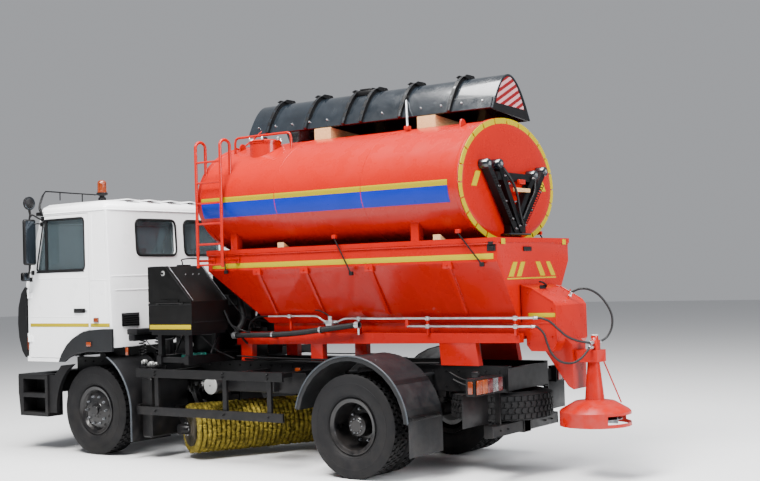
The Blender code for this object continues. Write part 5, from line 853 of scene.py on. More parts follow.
class TRUCK_OT_brush(bpy.types.Operator):
    """The roller: rings of bristles on their core, between two clamping discs"""
    bl_idname = "truck.brush"
    bl_label = "Brush"

    def execute(self, context):
        count = context.scene.truck_sizes.bristle_rings
        pitch = 2 * (BRUSH_HALF - 0.012) / count
        places = -BRUSH_HALF + 0.012 + pitch * (np.arange(count) + 0.5)
        rings = joined(*[bristle_ring(at, pitch * 0.4, n) for n, at in enumerate(places)])
        end = BRUSH_HALF
        # the core, its clamping discs and stubs take a dark copy of the bristles' colour: painted
        # shade between the rings
        core = lathe([(0.029, -end - 0.018), (0.029, -end), (0.1, -end), (0.1, -end + 0.008),
            (0.205, -end + 0.01), (0.205, end - 0.01), (0.1, end - 0.008), (0.1, end), (0.029, end),
            (0.029, end + 0.018)], steps=40)
        outlined("brush_bristles", [(placed(rings, BRUSH_TURN), "brush_fibre"),
            (placed(core, BRUSH_TURN), "shaded_bristle_core")], "brush", 60, "brush_rotor")
        motor = lathe([(0.055, 1.198), (0.058, 1.215), (0.058, 1.27), (0.05, 1.29),
            (AXIS_GAP, 1.296)], steps=24)
        bolt = lathe([(0.009, 1.199), (0.009, 1.21), (AXIS_GAP, 1.212)], (0.075, 0, 0), steps=6)
        outlined("brush_motor", [(placed(motor, BRUSH_TURN), STEEL),
            (placed(around(bolt, 6), BRUSH_TURN), ZINC)], "brush_arm")
        return {"FINISHED"}


# ---------------------------------------------------------------- cab
CAB_SIDE, CAB_NOSE, SCREEN_FALL, CORNER_FALL = 1.22, 5.22, 0.3743, 0.11
GUTTER = 2.955
DOORS = {"left": "left_door", "right": "right_door"}


def nose(y, z, out=0.0):
    """The cab's front: straight to the belt, leaning back above it, round at its corners."""
    y, z = np.asarray(y, float), np.asarray(z, float)
    return CAB_NOSE - np.maximum(0, z - 2.1) * SCREEN_FALL - CORNER_FALL * np.abs(y
        / CAB_SIDE) ** 5 + out


def wall_x(z):
    """The cab's rear wall at a height, which leans forward."""
    return 3.52 + (np.asarray(z, float) - 1.12) * 0.045


def round_loop(corners, radius, steps=6):
    """A closed loop with rounded corners: each is a quadratic bow between points a radius away."""
    corners = np.asarray(corners, float)
    before, after = np.roll(corners, 1, 0) - corners, np.roll(corners, -1, 0) - corners
    start = corners + radius * before / np.linalg.norm(before, axis=1)[:, None]
    end = corners + radius * after / np.linalg.norm(after, axis=1)[:, None]
    t = np.linspace(0, 1, steps)[None, :, None]
    bow = (1 - t) ** 2 * start[:, None] + 2 * t * (1 - t) * corners[:, None] + t ** 2 * end[:, None]
    return bow.reshape(-1, corners.shape[1])


def even_loop(loop, step=0.03):
    """Points a step apart along a closed loop."""
    return evenly(np.concatenate([loop, loop[:1]]), step)[0][:-1]


def seal(loop, up, wide=0.022, high=0.014):
    """A rubber seal along a closed loop, its section a flattened circle."""
    return swept(loop, disc(1.0, 12) * (wide / 2, high / 2), up, closed=True)


class TRUCK_OT_cab_glazing(bpy.types.Operator):
    """Rubber seals round every window, quarter-light bars and the wipers"""
    bl_idname = "truck.cab_glazing"
    bl_label = "Window seals"

    def execute(self, context):
        window = even_loop(round_loop([(4.0, 1.2215, 2.25), (4.9, 1.2215, 2.25),
            (4.748, 1.2215, 2.885), (4.0, 1.2215, 2.885)], 0.05))
        rubber = [seal(window, (0, 1, 0), 0.026, 0.012), seal(window * (1, 0, 1) + (0, 1.182, 0),
            (0, 1, 0), 0.03, 0.016), soft_box((4.7, 1.19, 2.258), (4.728, 1.224, 2.878)),
            soft_box((4.715, 1.2, 2.262), (4.742, 1.216, 2.876), 0.004),
            soft_box((4.01, 1.2205, 2.225), (4.9, 1.2265, 2.243), 0.003)]
        for side, body in DOORS.items():
            outlined(f"door_window_seal_{side}", sided(side, [(part, BLACK) for part in rubber]),
                body, 50)
        rear = []
        for low, high in ((0.075, 0.755), (-0.755, -0.075)):
            loop = even_loop(round_loop([(low, 2.41), (high, 2.41), (high, 2.85), (low, 2.85)],
                0.075))
            for out, wide in ((-0.002, 0.034), (-0.006, 0.018)):
                path = np.stack([wall_x(loop[:, 1]) + out, loop[:, 0], loop[:, 1]], -1)
                rear.append((seal(path, (1, 0, 0), wide, 0.014), BLACK))
        outlined("rear_window_seals", rear, "cab", 50)
        loop = even_loop(round_loop([(-1.06, 2.17), (1.06, 2.17), (1.06, 2.855), (-1.06, 2.855)],
            0.07), 0.04)
        path = np.stack([nose(loop[:, 0], loop[:, 1], 0.001), loop[:, 0], loop[:, 1]], -1)
        screen = [(seal(path, (0.94, 0, 0.35), 0.04, 0.016), BLACK)]
        low, height = 2.14, 2.52      # a wiper's foot and its tip
        for foot, tip in ((0.8, 0.28), (0.02, -0.5), (-0.55, -1.0)):
            base, end = (nose(foot, low, 0.03), foot, low), (nose(tip, height, 0.022), tip, height)
            middle = (np.array(base) + end) / 2 + (0.02, 0, 0)
            share = np.linspace(-0.5, 0.5, 9)
            blade = np.stack([np.zeros(9), tip + share * 0.22, height + share * 0.6 - 0.02], -1)
            blade[:, 0] = nose(blade[:, 1], blade[:, 2], 0.014)
            screen += [(pipe([base, middle, end], 0.006, 8), DARK),
                (lathe([(0.022, -0.012), (0.022, 0.01), (0.014, 0.022), (AXIS_GAP, 0.024)], base,
                "X", 16), DARK), (swept(blade, disc(1, 8) * (0.006, 0.01), (1, 0, 0.3)), BLACK)]
        outlined("windscreen_seal_and_wipers", screen, "cab", 50)
        return {"FINISHED"}


class TRUCK_OT_cab_trim(bpy.types.Operator):
    """Side stripes, lamps, door locks, pressed lines, gutter, roof ribs and vent of the cab"""
    bl_idname = "truck.cab_trim"
    bl_label = "Cab trim"

    def execute(self, context):
        stripe = 1.552 + context.scene.truck_sizes.tape_width * 0.9
        door = [(soft_box((3.946, 1.2198, 1.552), (5.04, 1.2214, stripe), 0.0006), TAPE),
            (soft_box((3.945, 1.219, 1.672), (5.045, 1.2222, 1.682), 0.0015), WHITE),
            (soft_box((3.945, 1.219, 2.15), (5.03, 1.2225, 2.162), 0.0015), WHITE),
            (soft_box((4.005, 1.2195, 1.722), (4.215, 1.2235, 1.778), 0.0018), BLACK),
            (lathe([(0.016, 1.22), (0.016, 1.228), (0.013, 1.231), (0.004, 1.231), (0.004, 1.229)],
            (3.985, 0, 1.748), "Y", 20), ZINC)]
        for side, body in DOORS.items():
            outlined(f"door_trim_{side}", sided(side, door), body, 40)
        left = [(soft_box((3.575, 1.2198, 1.552), (3.915, 1.2214, stripe), 0.0006), TAPE),
            (soft_box((3.765, 1.219, 1.604), (3.85, 1.226, 1.664), 0.003), BLACK),
            (soft_box((3.77, 1.224, 1.608), (3.845, 1.242, 1.66), 0.007), AMBER),
            (soft_box((3.585, 1.219, 2.112), (3.915, 1.2225, 2.124), 0.0015), WHITE),
            (soft_box((3.64, 1.219, 1.7), (3.65, 1.2225, 2.1), 0.0015), WHITE),
            (soft_box((3.86, 1.219, 1.7), (3.87, 1.2225, 2.92), 0.0015), WHITE),
            (soft_box((3.85, 1.2645, 1.315), (3.94, 1.27, 1.378), 0.003), BLACK),
            (soft_box((3.855, 1.268, 1.32), (3.935, 1.284, 1.373), 0.007), AMBER)]
        # corner wings of the grille, bowed ahead of the panel
        wing = np.array([(5.078, 1.19), (5.14, 1.17), (5.205, 1.25), (5.262, 1.42), (5.28, 1.6),
            (5.266, 1.8), (5.205, 1.98), (5.13, 2.06), (5.078, 2.04)])
        for high, ease in ((1.222, 0.0), (1.244, 0.022)):
            eased = np.where(wing[:, :1] > 5.08, ease, -ease / 2) * (1, 0)
            left.append((prism("y", (1.06, high), wing - eased), BLACK))
        # pressed lines of the rear wall
        for z, low, high in ((1.985, 0.1, 1.14), (2.155, 0.06, 1.19)):
            left.append((soft_box((wall_x(z) - 0.0035, low, z), (wall_x(z) + 0.002, high,
                z + 0.014), 0.002), WHITE))
        # the air vent and its frame
        x = wall_x(1.63)
        cab = both(left) + [(soft_box((x - 0.014, 0.78, 1.55), (x + 0.002, 1.06, 1.712), 0.005),
            BLACK)]
        for z in 1.57 + 0.027 * np.arange(5):
            cab.append((prism("y", (0.795, 1.045), [(x - 0.014, z), (x - 0.026, z + 0.004),
                (x - 0.026, z + 0.009), (x - 0.014, z + 0.02)]), BLACK))
        # gutter all round the roof's foot, and pressed ribs on its top
        front, rear = np.linspace(-1.22, 1.22, 41), wall_x(GUTTER)
        rim = np.concatenate([np.stack([nose(front, GUTTER), front], -1),
            [(rear + 0.05, 1.22), (rear + 0.012, 1.208), (rear, 1.17), (rear, -1.17),
            (rear + 0.012, -1.208), (rear + 0.05, -1.22)]])
        rim = even_loop(rim)
        path = np.column_stack([rim, np.full(len(rim), GUTTER + 0.01)])
        cab.append((swept(path, disc(1, 10) * (0.009, 0.008), closed=True), WHITE))
        share, across = np.linspace(0, 1, 25), np.linspace(-1, 1, 13)
        rise = 0.018 * np.clip(np.sin(pi * share) * 4, 0, 1)[:, None] * (1 - across ** 2)[None]
        for y in (-0.72, -0.36, 0.0, 0.36, 0.72):
            grid = np.stack(np.broadcast_arrays((3.66 + 1.05 * share)[:, None],
                (y + 0.11 * across)[None], 3.102 + rise), -1)
            cab.append((skin(np.concatenate([grid, grid[:, ::-1] * (1, 1, 0) + (0, 0, 3.095)], 1),
                across=True, caps=True), WHITE))
        outlined("cab_trim", cab, "cab", 40)
        return {"FINISHED"}


class TRUCK_OT_cab_front_trim(bpy.types.Operator):
    """Headlamps, turn lamps, grille mesh and fog lamps"""
    bl_idname = "truck.cab_front_trim"
    bl_label = "Cab front"

    def execute(self, context):
        lamps = [(soft_box((5.262, 0.73, 1.262), (5.272, 1.01, 1.438), 0.004), "reflector_silver"),
            (soft_box((5.27, 0.726, 1.258), (5.284, 1.014, 1.442)), "clear_lens"),
            (soft_box((5.075, 1.15, 1.255), (5.162, 1.232, 1.425), 0.014), AMBER),
            (soft_box((5.07, 1.145, 1.245), (5.155, 1.227, 1.435), 0.01), BLACK)]
        lamps += [(lathe([(0.055, 5.271), (0.06, 5.276), (AXIS_GAP, 5.277)], (0, y, 1.35), "X", 28),
            "reflector_silver") for y in (0.8, 0.94)]
        bars = [soft_box((5.252, y - 0.004, z), (5.262, y + 0.004, z + 0.045), 0.001)
            for z in 1.462 + 0.085 * np.arange(6) for y in np.linspace(-0.58, 0.58, 30)]
        outlined("front_lamps_and_mesh", both(lamps) + [(joined(*bars), DARK)], "cab",
            40)
        fog = [(lathe([(0.072, 5.315), (0.076, 5.325), (0.076, 5.34), (0.068, 5.344),
            (AXIS_GAP, 5.34)], (0, 0.66, 0.815), "X", 32), BLACK),
            (lathe([(AXIS_GAP, 5.339), (0.06, 5.341), (0.05, 5.35), (0.025, 5.356),
            (AXIS_GAP, 5.357)], (0, 0.66, 0.815), "X", 32), "clear_lens")]
        outlined("bumper_lamps",
            both(fog) + [(soft_box((5.378, -0.26, 0.705), (5.3799, 0.26, 0.815), 0.001), WHITE)],
            "truck", 40)
        return {"FINISHED"}


class TRUCK_OT_mirrors(bpy.types.Operator):
    """Mirrors on their bent tubes, with glass that faces the rear"""
    bl_idname = "truck.mirrors"
    bl_label = "Mirrors"

    def execute(self, context):
        wide = (4.82, 1.38, 3.1)      # the round wide-angle mirror
        black = [pipe([(4.76, 1.2205, 2.905), (4.76, 1.27, 2.905), (4.8, 1.35, 2.955),
            (4.83, 1.37, 2.92), (4.848, 1.372, 2.6), (4.85, 1.37, 2.28), (4.9, 1.35, 2.19),
            (4.96, 1.32, 2.155), (5.01, 1.27, 2.15), (5.01, 1.2205, 2.15)], 0.0108, 12,
            per_span=10), pipe([(4.78, 1.2205, 2.84), (4.79, 1.3, 2.845), (4.835, 1.34, 2.8),
            (4.842, 1.345, 2.55), (4.88, 1.33, 2.3), (4.97, 1.28, 2.24), (4.97, 1.2205, 2.235)],
            0.0075, 10, per_span=10),
            pipe([(4.82, 1.36, 2.93), (4.835, 1.37, 3.0), (4.835, 1.38, 3.08)], 0.0105),
            soft_box((4.8, 1.29, 2.33), (4.86, 1.47, 2.9), 0.026, 5), soft_box((4.93, 1.29, 2.13),
            (5.0, 1.4, 2.24), 0.022, 5), lathe([(AXIS_GAP, 0.036), (0.03, 0.034), (0.055, 0.027),
            (0.075, 0.014), (0.084, 0.0), (0.085, -0.01), (0.08, -0.014), (AXIS_GAP, -0.0145)],
            wide, "X", 36)]
        black += [soft_box((x - 0.03, 1.219, z - 0.028), (x + 0.03, 1.229, z + 0.028), 0.004)
            for x, z in ((4.76, 2.905), (4.78, 2.84), (5.01, 2.15), (4.97, 2.235))]
        black += [soft_box((4.828, 1.348, z - 0.022), (4.872, 1.394, z + 0.022))
            for z in (2.72, 2.46)]
        panes = [soft_box((4.7975, 1.306, 2.352), (4.801, 1.454, 2.878), 0.0012),
            soft_box((4.9275, 1.303, 2.145), (4.931, 1.387, 2.225), 0.0012),
            lathe([(0.074, -0.0145), (0.05, -0.0185), (AXIS_GAP, -0.02)], wide, "X", 36)]
        parts = [(part, BLACK) for part in black] + [(part, "mirror_glass") for part in panes]
        for side, body in DOORS.items():
            outlined(f"mirror_{side}_detailed", sided(side, parts), body, 45,
                f"mirror_{side}")
        return {"FINISHED"}


class TRUCK_OT_beacon(bpy.types.Operator):
    """The amber beacon on its rubber foot, with the guard tube along the roof"""
    bl_idname = "truck.beacon"
    bl_label = "Beacon"

    def execute(self, context):
        at = (3.93, 0.98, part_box("beacon")[0][2])
        base = lathe([(0.05, 0.001), (0.046, 0.03), (0.03, 0.038), (0.03, 0.05), (0.066, 0.056),
            (0.07, 0.062), (0.07, 0.086), (0.062, 0.092), (AXIS_GAP, 0.093)], at, "Z", 40)
        dome = lathe([(0.057, 0.092), (0.0585, 0.1), (0.056, 0.104), (0.0555, 0.205), (0.05, 0.226),
            (0.036, 0.24), (0.018, 0.246), (AXIS_GAP, 0.2475)], at, "Z", 40)
        rings = [lathe([(0.054, z), (0.0575, z + 0.002), (0.054, z + 0.004)], at, "Z", 40,
            hollow=True) for z in np.arange(0.112, 0.204, 0.012)]
        outlined("beacon_dome", [(base, BLACK), (joined(dome, *rings), AMBER)], "cab", 50,
            "beacon")
        tube = [pipe([(4.775, 1.205, 2.975), (4.8, 1.225, 3.06), (4.88, 1.12, 3.19),
            (4.955, 1.02, 3.262), (4.93, 0.985, 3.27), (4.5, 0.975, 3.222), (4.04, 0.975, 3.172),
            (3.985, 0.975, 3.16)], 0.009), pipe([(4.83, 1.185, 2.975), (4.86, 1.195, 3.05),
            (4.93, 1.1, 3.18), (4.985, 1.02, 3.24)], 0.009), soft_box((4.745, 1.175, 2.945),
            (4.865, 1.245, 2.992), 0.01)]
        tube += [rod([(x, 0.975, z), (x, 0.975, z - 0.1)], 0.007, 8)
            for x, z in ((4.3, 3.2), (4.72, 3.245))]
        outlined("beacon_guard_tube", [(part, DARK) for part in tube], "cab", 50)
        return {"FINISHED"}


# ---------------------------------------------------------------- tank
BARREL_FRONT, BARREL_REAR = 2.32, -1.225
TANK_MIDDLE = 2.975
OVAL = (1.0, 0.715, 0.625)     # half width, rise above and drop below the middle
HATCH = (1.66, 0.52, 3.624)


def oval_ring(x, draw, angle):
    """The tank's section at x: two half ellipses of one width, drawn in by some metres."""
    tall = np.where(np.sin(angle) >= 0, OVAL[1] - draw, OVAL[2] - draw)
    return np.stack([np.full(len(angle), x), (OVAL[0] - draw) * np.cos(angle),
        TANK_MIDDLE + tall * np.sin(angle)], -1)


def barrel_skin(height, out=0.0):
    """Sideways place of the barrel's skin at a height, on the ellipse of that half."""
    height = np.asarray(height, float)
    tall = np.where(height >= TANK_MIDDLE, OVAL[1], OVAL[2]) - 0.02
    share = np.clip((height - TANK_MIDDLE) / tall, -1, 1)
    return (OVAL[0] - 0.02) * np.sqrt(1 - share ** 2) + out


def barrel_top(y):
    """Height of the barrel's top at a distance from the centre plane."""
    return TANK_MIDDLE + (OVAL[1] - 0.02) * sqrt(1 - (y / (OVAL[0] - 0.02)) ** 2)


def barrel_strip(span, low, high, out=0.0022, thick=0.0016, steps=14):
    """A strip laid along the barrel between two heights, a sheet bent to the ellipse."""
    height = np.linspace(low, high, steps)
    outer = np.stack([barrel_skin(height, out), height], -1)
    inner = np.stack([barrel_skin(height, out - thick), height], -1)[::-1]
    return prism("x", span, np.concatenate([outer, inner]))


# sections of the barrel: distance along it, how much smaller the section is
REAR_RIM = ((-0.029, 0.6), (-0.0285, 0.35), (-0.0265, 0.16), (-0.021, 0.095), (-0.012, 0.06),
    (0, 0.04), (-0.002, 0.03), (-0.001, 0.012), (0.006, 0.001), (0.04, 0.001), (0.048, 0.006),
    (0.052, 0.0195), (0.058, 0.0205))
SEAM = ((-0.007, 0.0205), (-0.003, 0.0165), (0.003, 0.0165), (0.007, 0.0205))
FRONT_RIM = ((-0.058, 0.0205), (-0.052, 0.012), (-0.006, 0.012), (0, 0.03), (0.02, 0.07),
    (0.054, 0.16), (0.076, 0.32), (0.088, 0.55))


class TRUCK_OT_tank(bpy.types.Operator):
    """The oval barrel with its rolled rims, seams, hatch, ladder, handrail and lifting eyes"""
    bl_idname = "truck.tank"
    bl_label = "Water tank"

    def execute(self, context):
        angle = np.linspace(0, 2 * pi, 144, endpoint=False)
        barrel = skin([oval_ring(at + x, draw, angle) for at, rings in ((BARREL_REAR, REAR_RIM),
            (-0.02, SEAM), (1.16, SEAM), (BARREL_FRONT, FRONT_RIM)) for x, draw in rings],
            across=True, caps=True)
        hatch = lathe([(0.178, -0.2), (0.178, 0.004), (0.186, 0.006), (0.186, 0.016),
            (0.178, 0.018), (0.178, 0.022), (0.188, 0.024), (0.188, 0.034), (0.17, 0.046),
            (0.08, 0.0495), (AXIS_GAP, 0.05)], HATCH, "Z", 48)
        rail = rod([(x, 0.55, barrel_top(0.55) + rise) for x, rise in ((2.1, -0.02), (2.1, 0.12),
            (2.085, 0.165), (2.05, 0.18), (1.3, 0.18), (1.265, 0.165), (1.25, 0.12),
            (1.25, -0.02))], 0.0138, 14, (0, 1, 0))
        ladder = [rod([(2.28, 1.03, z), (1.9, 1.03, z)], 0.0118, 12)
            for z in 2.25 + 0.235 * np.arange(6)]
        for x in (2.28, 1.9):
            bow = [(x, 0.95 + 0.08 * cos(a), 3.6 + 0.07 * sin(a)) for a in np.linspace(0, pi, 13)]
            ladder += [rod([(x, 1.03, 2.22), *bow, (x, 0.87, barrel_top(0.87) - 0.03)], 0.0178, 14,
                (1, 0, 0)), rod([(x, 0.784, 2.3), (x, 1.03, 2.3)], 0.0138),
                soft_box((x - 0.03, 0.7825, 2.262), (x + 0.03, 0.79, 2.338), 0.002)]
        eyes = []
        for x in (2.1, -0.95):
            for y in (0.42, -0.42):
                top = barrel_top(y)
                eyes.append(prism("x", (x - 0.0098, x + 0.0098), [(y - 0.06, top - 0.035),
                    (y + 0.06, barrel_top(y + 0.06) - 0.035), (y + 0.045, top + 0.04),
                    (y + 0.02, top + 0.068), (y - 0.02, top + 0.068), (y - 0.045, top + 0.04)]))
        outlined("tank_barrel", [(joined(barrel, hatch, rail, *ladder, *eyes), ORANGE)], "truck",
            36, "water_tank")
        return {"FINISHED"}


class TRUCK_OT_tank_marking(bpy.types.Operator):
    """The tank's yellow and blue bands and the reflective tape on its rear rim"""
    bl_idname = "truck.tank_marking"
    bl_label = "Tank bands"

    def execute(self, context):
        width = context.scene.truck_sizes.tape_width
        bands = [(barrel_strip((-1.09, BARREL_FRONT - 0.065), low, high), material)
            for low, high, material in ((2.785, 2.95, "blue_enamel"), (2.953, 2.961 + width, TAPE))]
        outlined("tank_bands", both(bands), "truck", 50)
        marks = []
        for at in range(-90, 270, 15):
            angle = np.radians(np.linspace(at + 0.5, at + 14.3, 8))
            outer, inner = (oval_ring(BARREL_REAR, draw, angle)[:, 1:] for draw in (0.003, 0.062))
            marks.append((prism("x", (BARREL_REAR - 0.0125, BARREL_REAR - 0.004),
                np.concatenate([outer, inner[::-1]])), TAPE))
        bar = (prism("x", (BARREL_REAR - 0.0305, BARREL_REAR - 0.02), [(0.7, 3.1), (0.6, 3.1),
            (0.69, 2.945), (0.79, 2.945)]), TAPE)
        outlined("tank_rim_tape", marks + both([bar]), "truck", 40)
        return {"FINISHED"}


class TRUCK_OT_tank_fittings(bpy.types.Operator):
    """The hatch's clamps and its breather"""
    bl_idname = "truck.tank_fittings"
    bl_label = "Tank fittings"

    def execute(self, context):
        clamp = joined(soft_box((0.15, -0.012, 0.036), (0.203, 0.012, 0.056), 0.003),
            nut_on((0.19, 0, 0.054), (0, 0, 1)))
        lid = [(placed(clamp, Matrix.Translation(HATCH) @ Matrix.Rotation(turn * pi / 3, 4, "Z")),
            ZINC) for turn in range(6)]
        lid.append((lathe([(0.026, 0.048), (0.03, 0.06), (0.024, 0.085), (AXIS_GAP, 0.09)], HATCH,
            "Z", 20), BLACK))
        outlined("tank_lid_clamps", lid, "truck", 40)
        return {"FINISHED"}


# ---------------------------------------------------------------- hopper and conveyor
HOPPER_BACK, HOPPER_SIDE, BAND_LOW, FLOOR_AT = -1.51, 0.77, 2.18, 1.56
LEANING = (-0.47, 0, 0.883)     # away from the chute's sloping top
DUCT_STEP = 0.00602             # between the rings of the suction hose


def hopper_side(z, out=0.0):
    """Sideways place of the hopper's sloping wall at a height below its band."""
    return 0.36 + (z - FLOOR_AT) / (BAND_LOW - FLOOR_AT) * (HOPPER_SIDE - 0.36) + out


class TRUCK_OT_hopper_marking(bpy.types.Operator):
    """Yellow tape of the hopper: side stripes, slanting bars and corner marks behind"""
    bl_idname = "truck.hopper_marking"
    bl_label = "Hopper tape"

    def execute(self, context):
        width = context.scene.truck_sizes.tape_width
        back = (HOPPER_BACK - 0.0018, HOPPER_BACK + 0.001)
        left = [soft_box((-1.47, 0.7698, 2.205), (2.3, 0.7716, 2.212 + width), 0.0006),
            soft_box((-1.9, 0.3298, 1.611), (-1.6, 0.3316, 1.611 + width * 0.85), 0.0006),
            soft_box((HOPPER_BACK - 0.014, 0.62, 2.352), (HOPPER_BACK - 0.0115, 0.7, 2.408),
            0.0006)]
        marks = [prism("x", back, [(a, 2.173), (b, 2.173), (c, 2.025), (d, 2.025)])
            for a, b, c, d in ((0.45, 0.36, 0.45, 0.56), (0.29, 0.2, 0.29, 0.39),
            (-0.02, -0.12, -0.23, -0.12), (-0.25, -0.34, -0.46, -0.36))]
        marks.append(soft_box((back[0], -0.47, 1.998), (back[1], 0.58, 2.012), 0.0006))
        outlined("hopper_tape", both([(part, TAPE) for part in left]) + [(part, TAPE)
            for part in marks], "truck", 40)
        return {"FINISHED"}


class TRUCK_OT_hopper_fittings(bpy.types.Operator):
    """Tie rods over the band, weld seams, bolts, grab handle, hooks and the conveyor's covers"""
    bl_idname = "truck.hopper_fittings"
    bl_label = "Hopper fittings"

    def execute(self, context):
        left = []
        for upper, lower in (((0.43, 0.87, 2.49), (0.27, 0.797, 2.105)),
                ((2.055, 0.87, 2.56), (2.07, 0.797, 2.165)),
                ((-1.125, 0.87, 2.48), (-1.35, 0.797, 2.155))):
            upper, lower = np.array(upper), np.array(lower)
            left += [(rod([upper, lower], 0.008, 8), DARK),
                (soft_box(lower - 0.022, lower + (0.022, 0.014, 0.022)), BLACK),
                (soft_box(upper - (0.025, 0.03, 0.006), upper + (0.025, 0.012, 0.035), 0.004),
                ORANGE)]
        for x in (1.62, 0.93, 0.05, -0.93):
            left += [(rod([(x + shift, hopper_side(z, 0.003), z) for z in (1.68, 2.16)], 0.0035, 6),
                ORANGE) for shift in (0.031, -0.031)]
            left += [(soft_box((x - 0.05, 0.772, 2.125), (x + 0.05, 0.781, 2.195), 0.004), ORANGE),
                (nut_on((x, 0.78, 2.158), size=0.01), ORANGE)]
        left += [(nut_on((x, 0.3302, z), size=0.009), ORANGE)
            for x, z in ((-1.6, 1.86), (-1.6, 1.5), (-1.86, 1.7), (-1.86, 1.42), (-1.6, 1.34))]
        left += [(soft_box((-1.512, 0.77, 2.352), (2.372, 0.785, 2.366), 0.004), ORANGE),
            (soft_box((-1.905, 0.3298, 1.545), (-1.545, 0.336, 1.565), 0.003), ORANGE),
            (rod([(-1.53, 0.335, 1.93), (-1.64, 0.335, 1.905), (-1.872, 0.335, 1.77),
            (-1.91, 0.335, 1.72), (-1.912, 0.335, 1.38)], 0.006, 6), ORANGE)]
        # plates, handle and hinge behind, and the recessed catch at the left rear corner
        parts = [(soft_box((-1.5225, 0.07, 2.282), (-1.512, 0.235, 2.328), 0.003), BLACK),
            (soft_box((-1.645, 0.03, 1.88), (-1.655, 0.165, 1.93), 0.004), BLACK),
            (pipe([(-1.63, 0.05, 1.89), (-1.665, 0.05, 1.925), (-1.668, 0.145, 1.96),
            (-1.635, 0.145, 1.965)], 0.009, 8), BLACK),
            (soft_box((-1.5, 0.7705, 2.285), (-1.4, 0.776, 2.395), 0.003), BLACK),
            (soft_box((-1.48, 0.774, 2.3), (-1.42, 0.789, 2.33), 0.004), BLACK),
            (soft_box((-1.48, 0.774, 2.35), (-1.42, 0.789, 2.38), 0.004), BLACK)]
        parts += [(nut_on((-1.748, y, 1.858), LEANING, 0.009), ORANGE) for y in (-0.31, -0.155, 0.0,
            0.155, 0.31)]
        outlined("hopper_details", both(left) + parts, "truck", 40)
        # lattice over the hopper's mouth between its walls
        rods = [rod([(x, -0.755, 2.395), (x, 0.755, 2.395)], 0.006, 6)
            for x in (2.22, 1.55, 1.05, 0.3, -0.2, -0.9, -1.35)]
        outlined("hopper_cross_rods", [(joined(*rods), ORANGE)], "truck", 40)
        wedges = [(prism("x", (x - 0.045, x + 0.045), [(0.66, 2.421), (0.78, 2.421), (0.78, 2.475),
            (0.68, 2.424)]), "sawn_spruce") for x in (1.25, -0.82)]
        outlined("tank_wedges", both(wedges), "truck", 30)
        return {"FINISHED"}


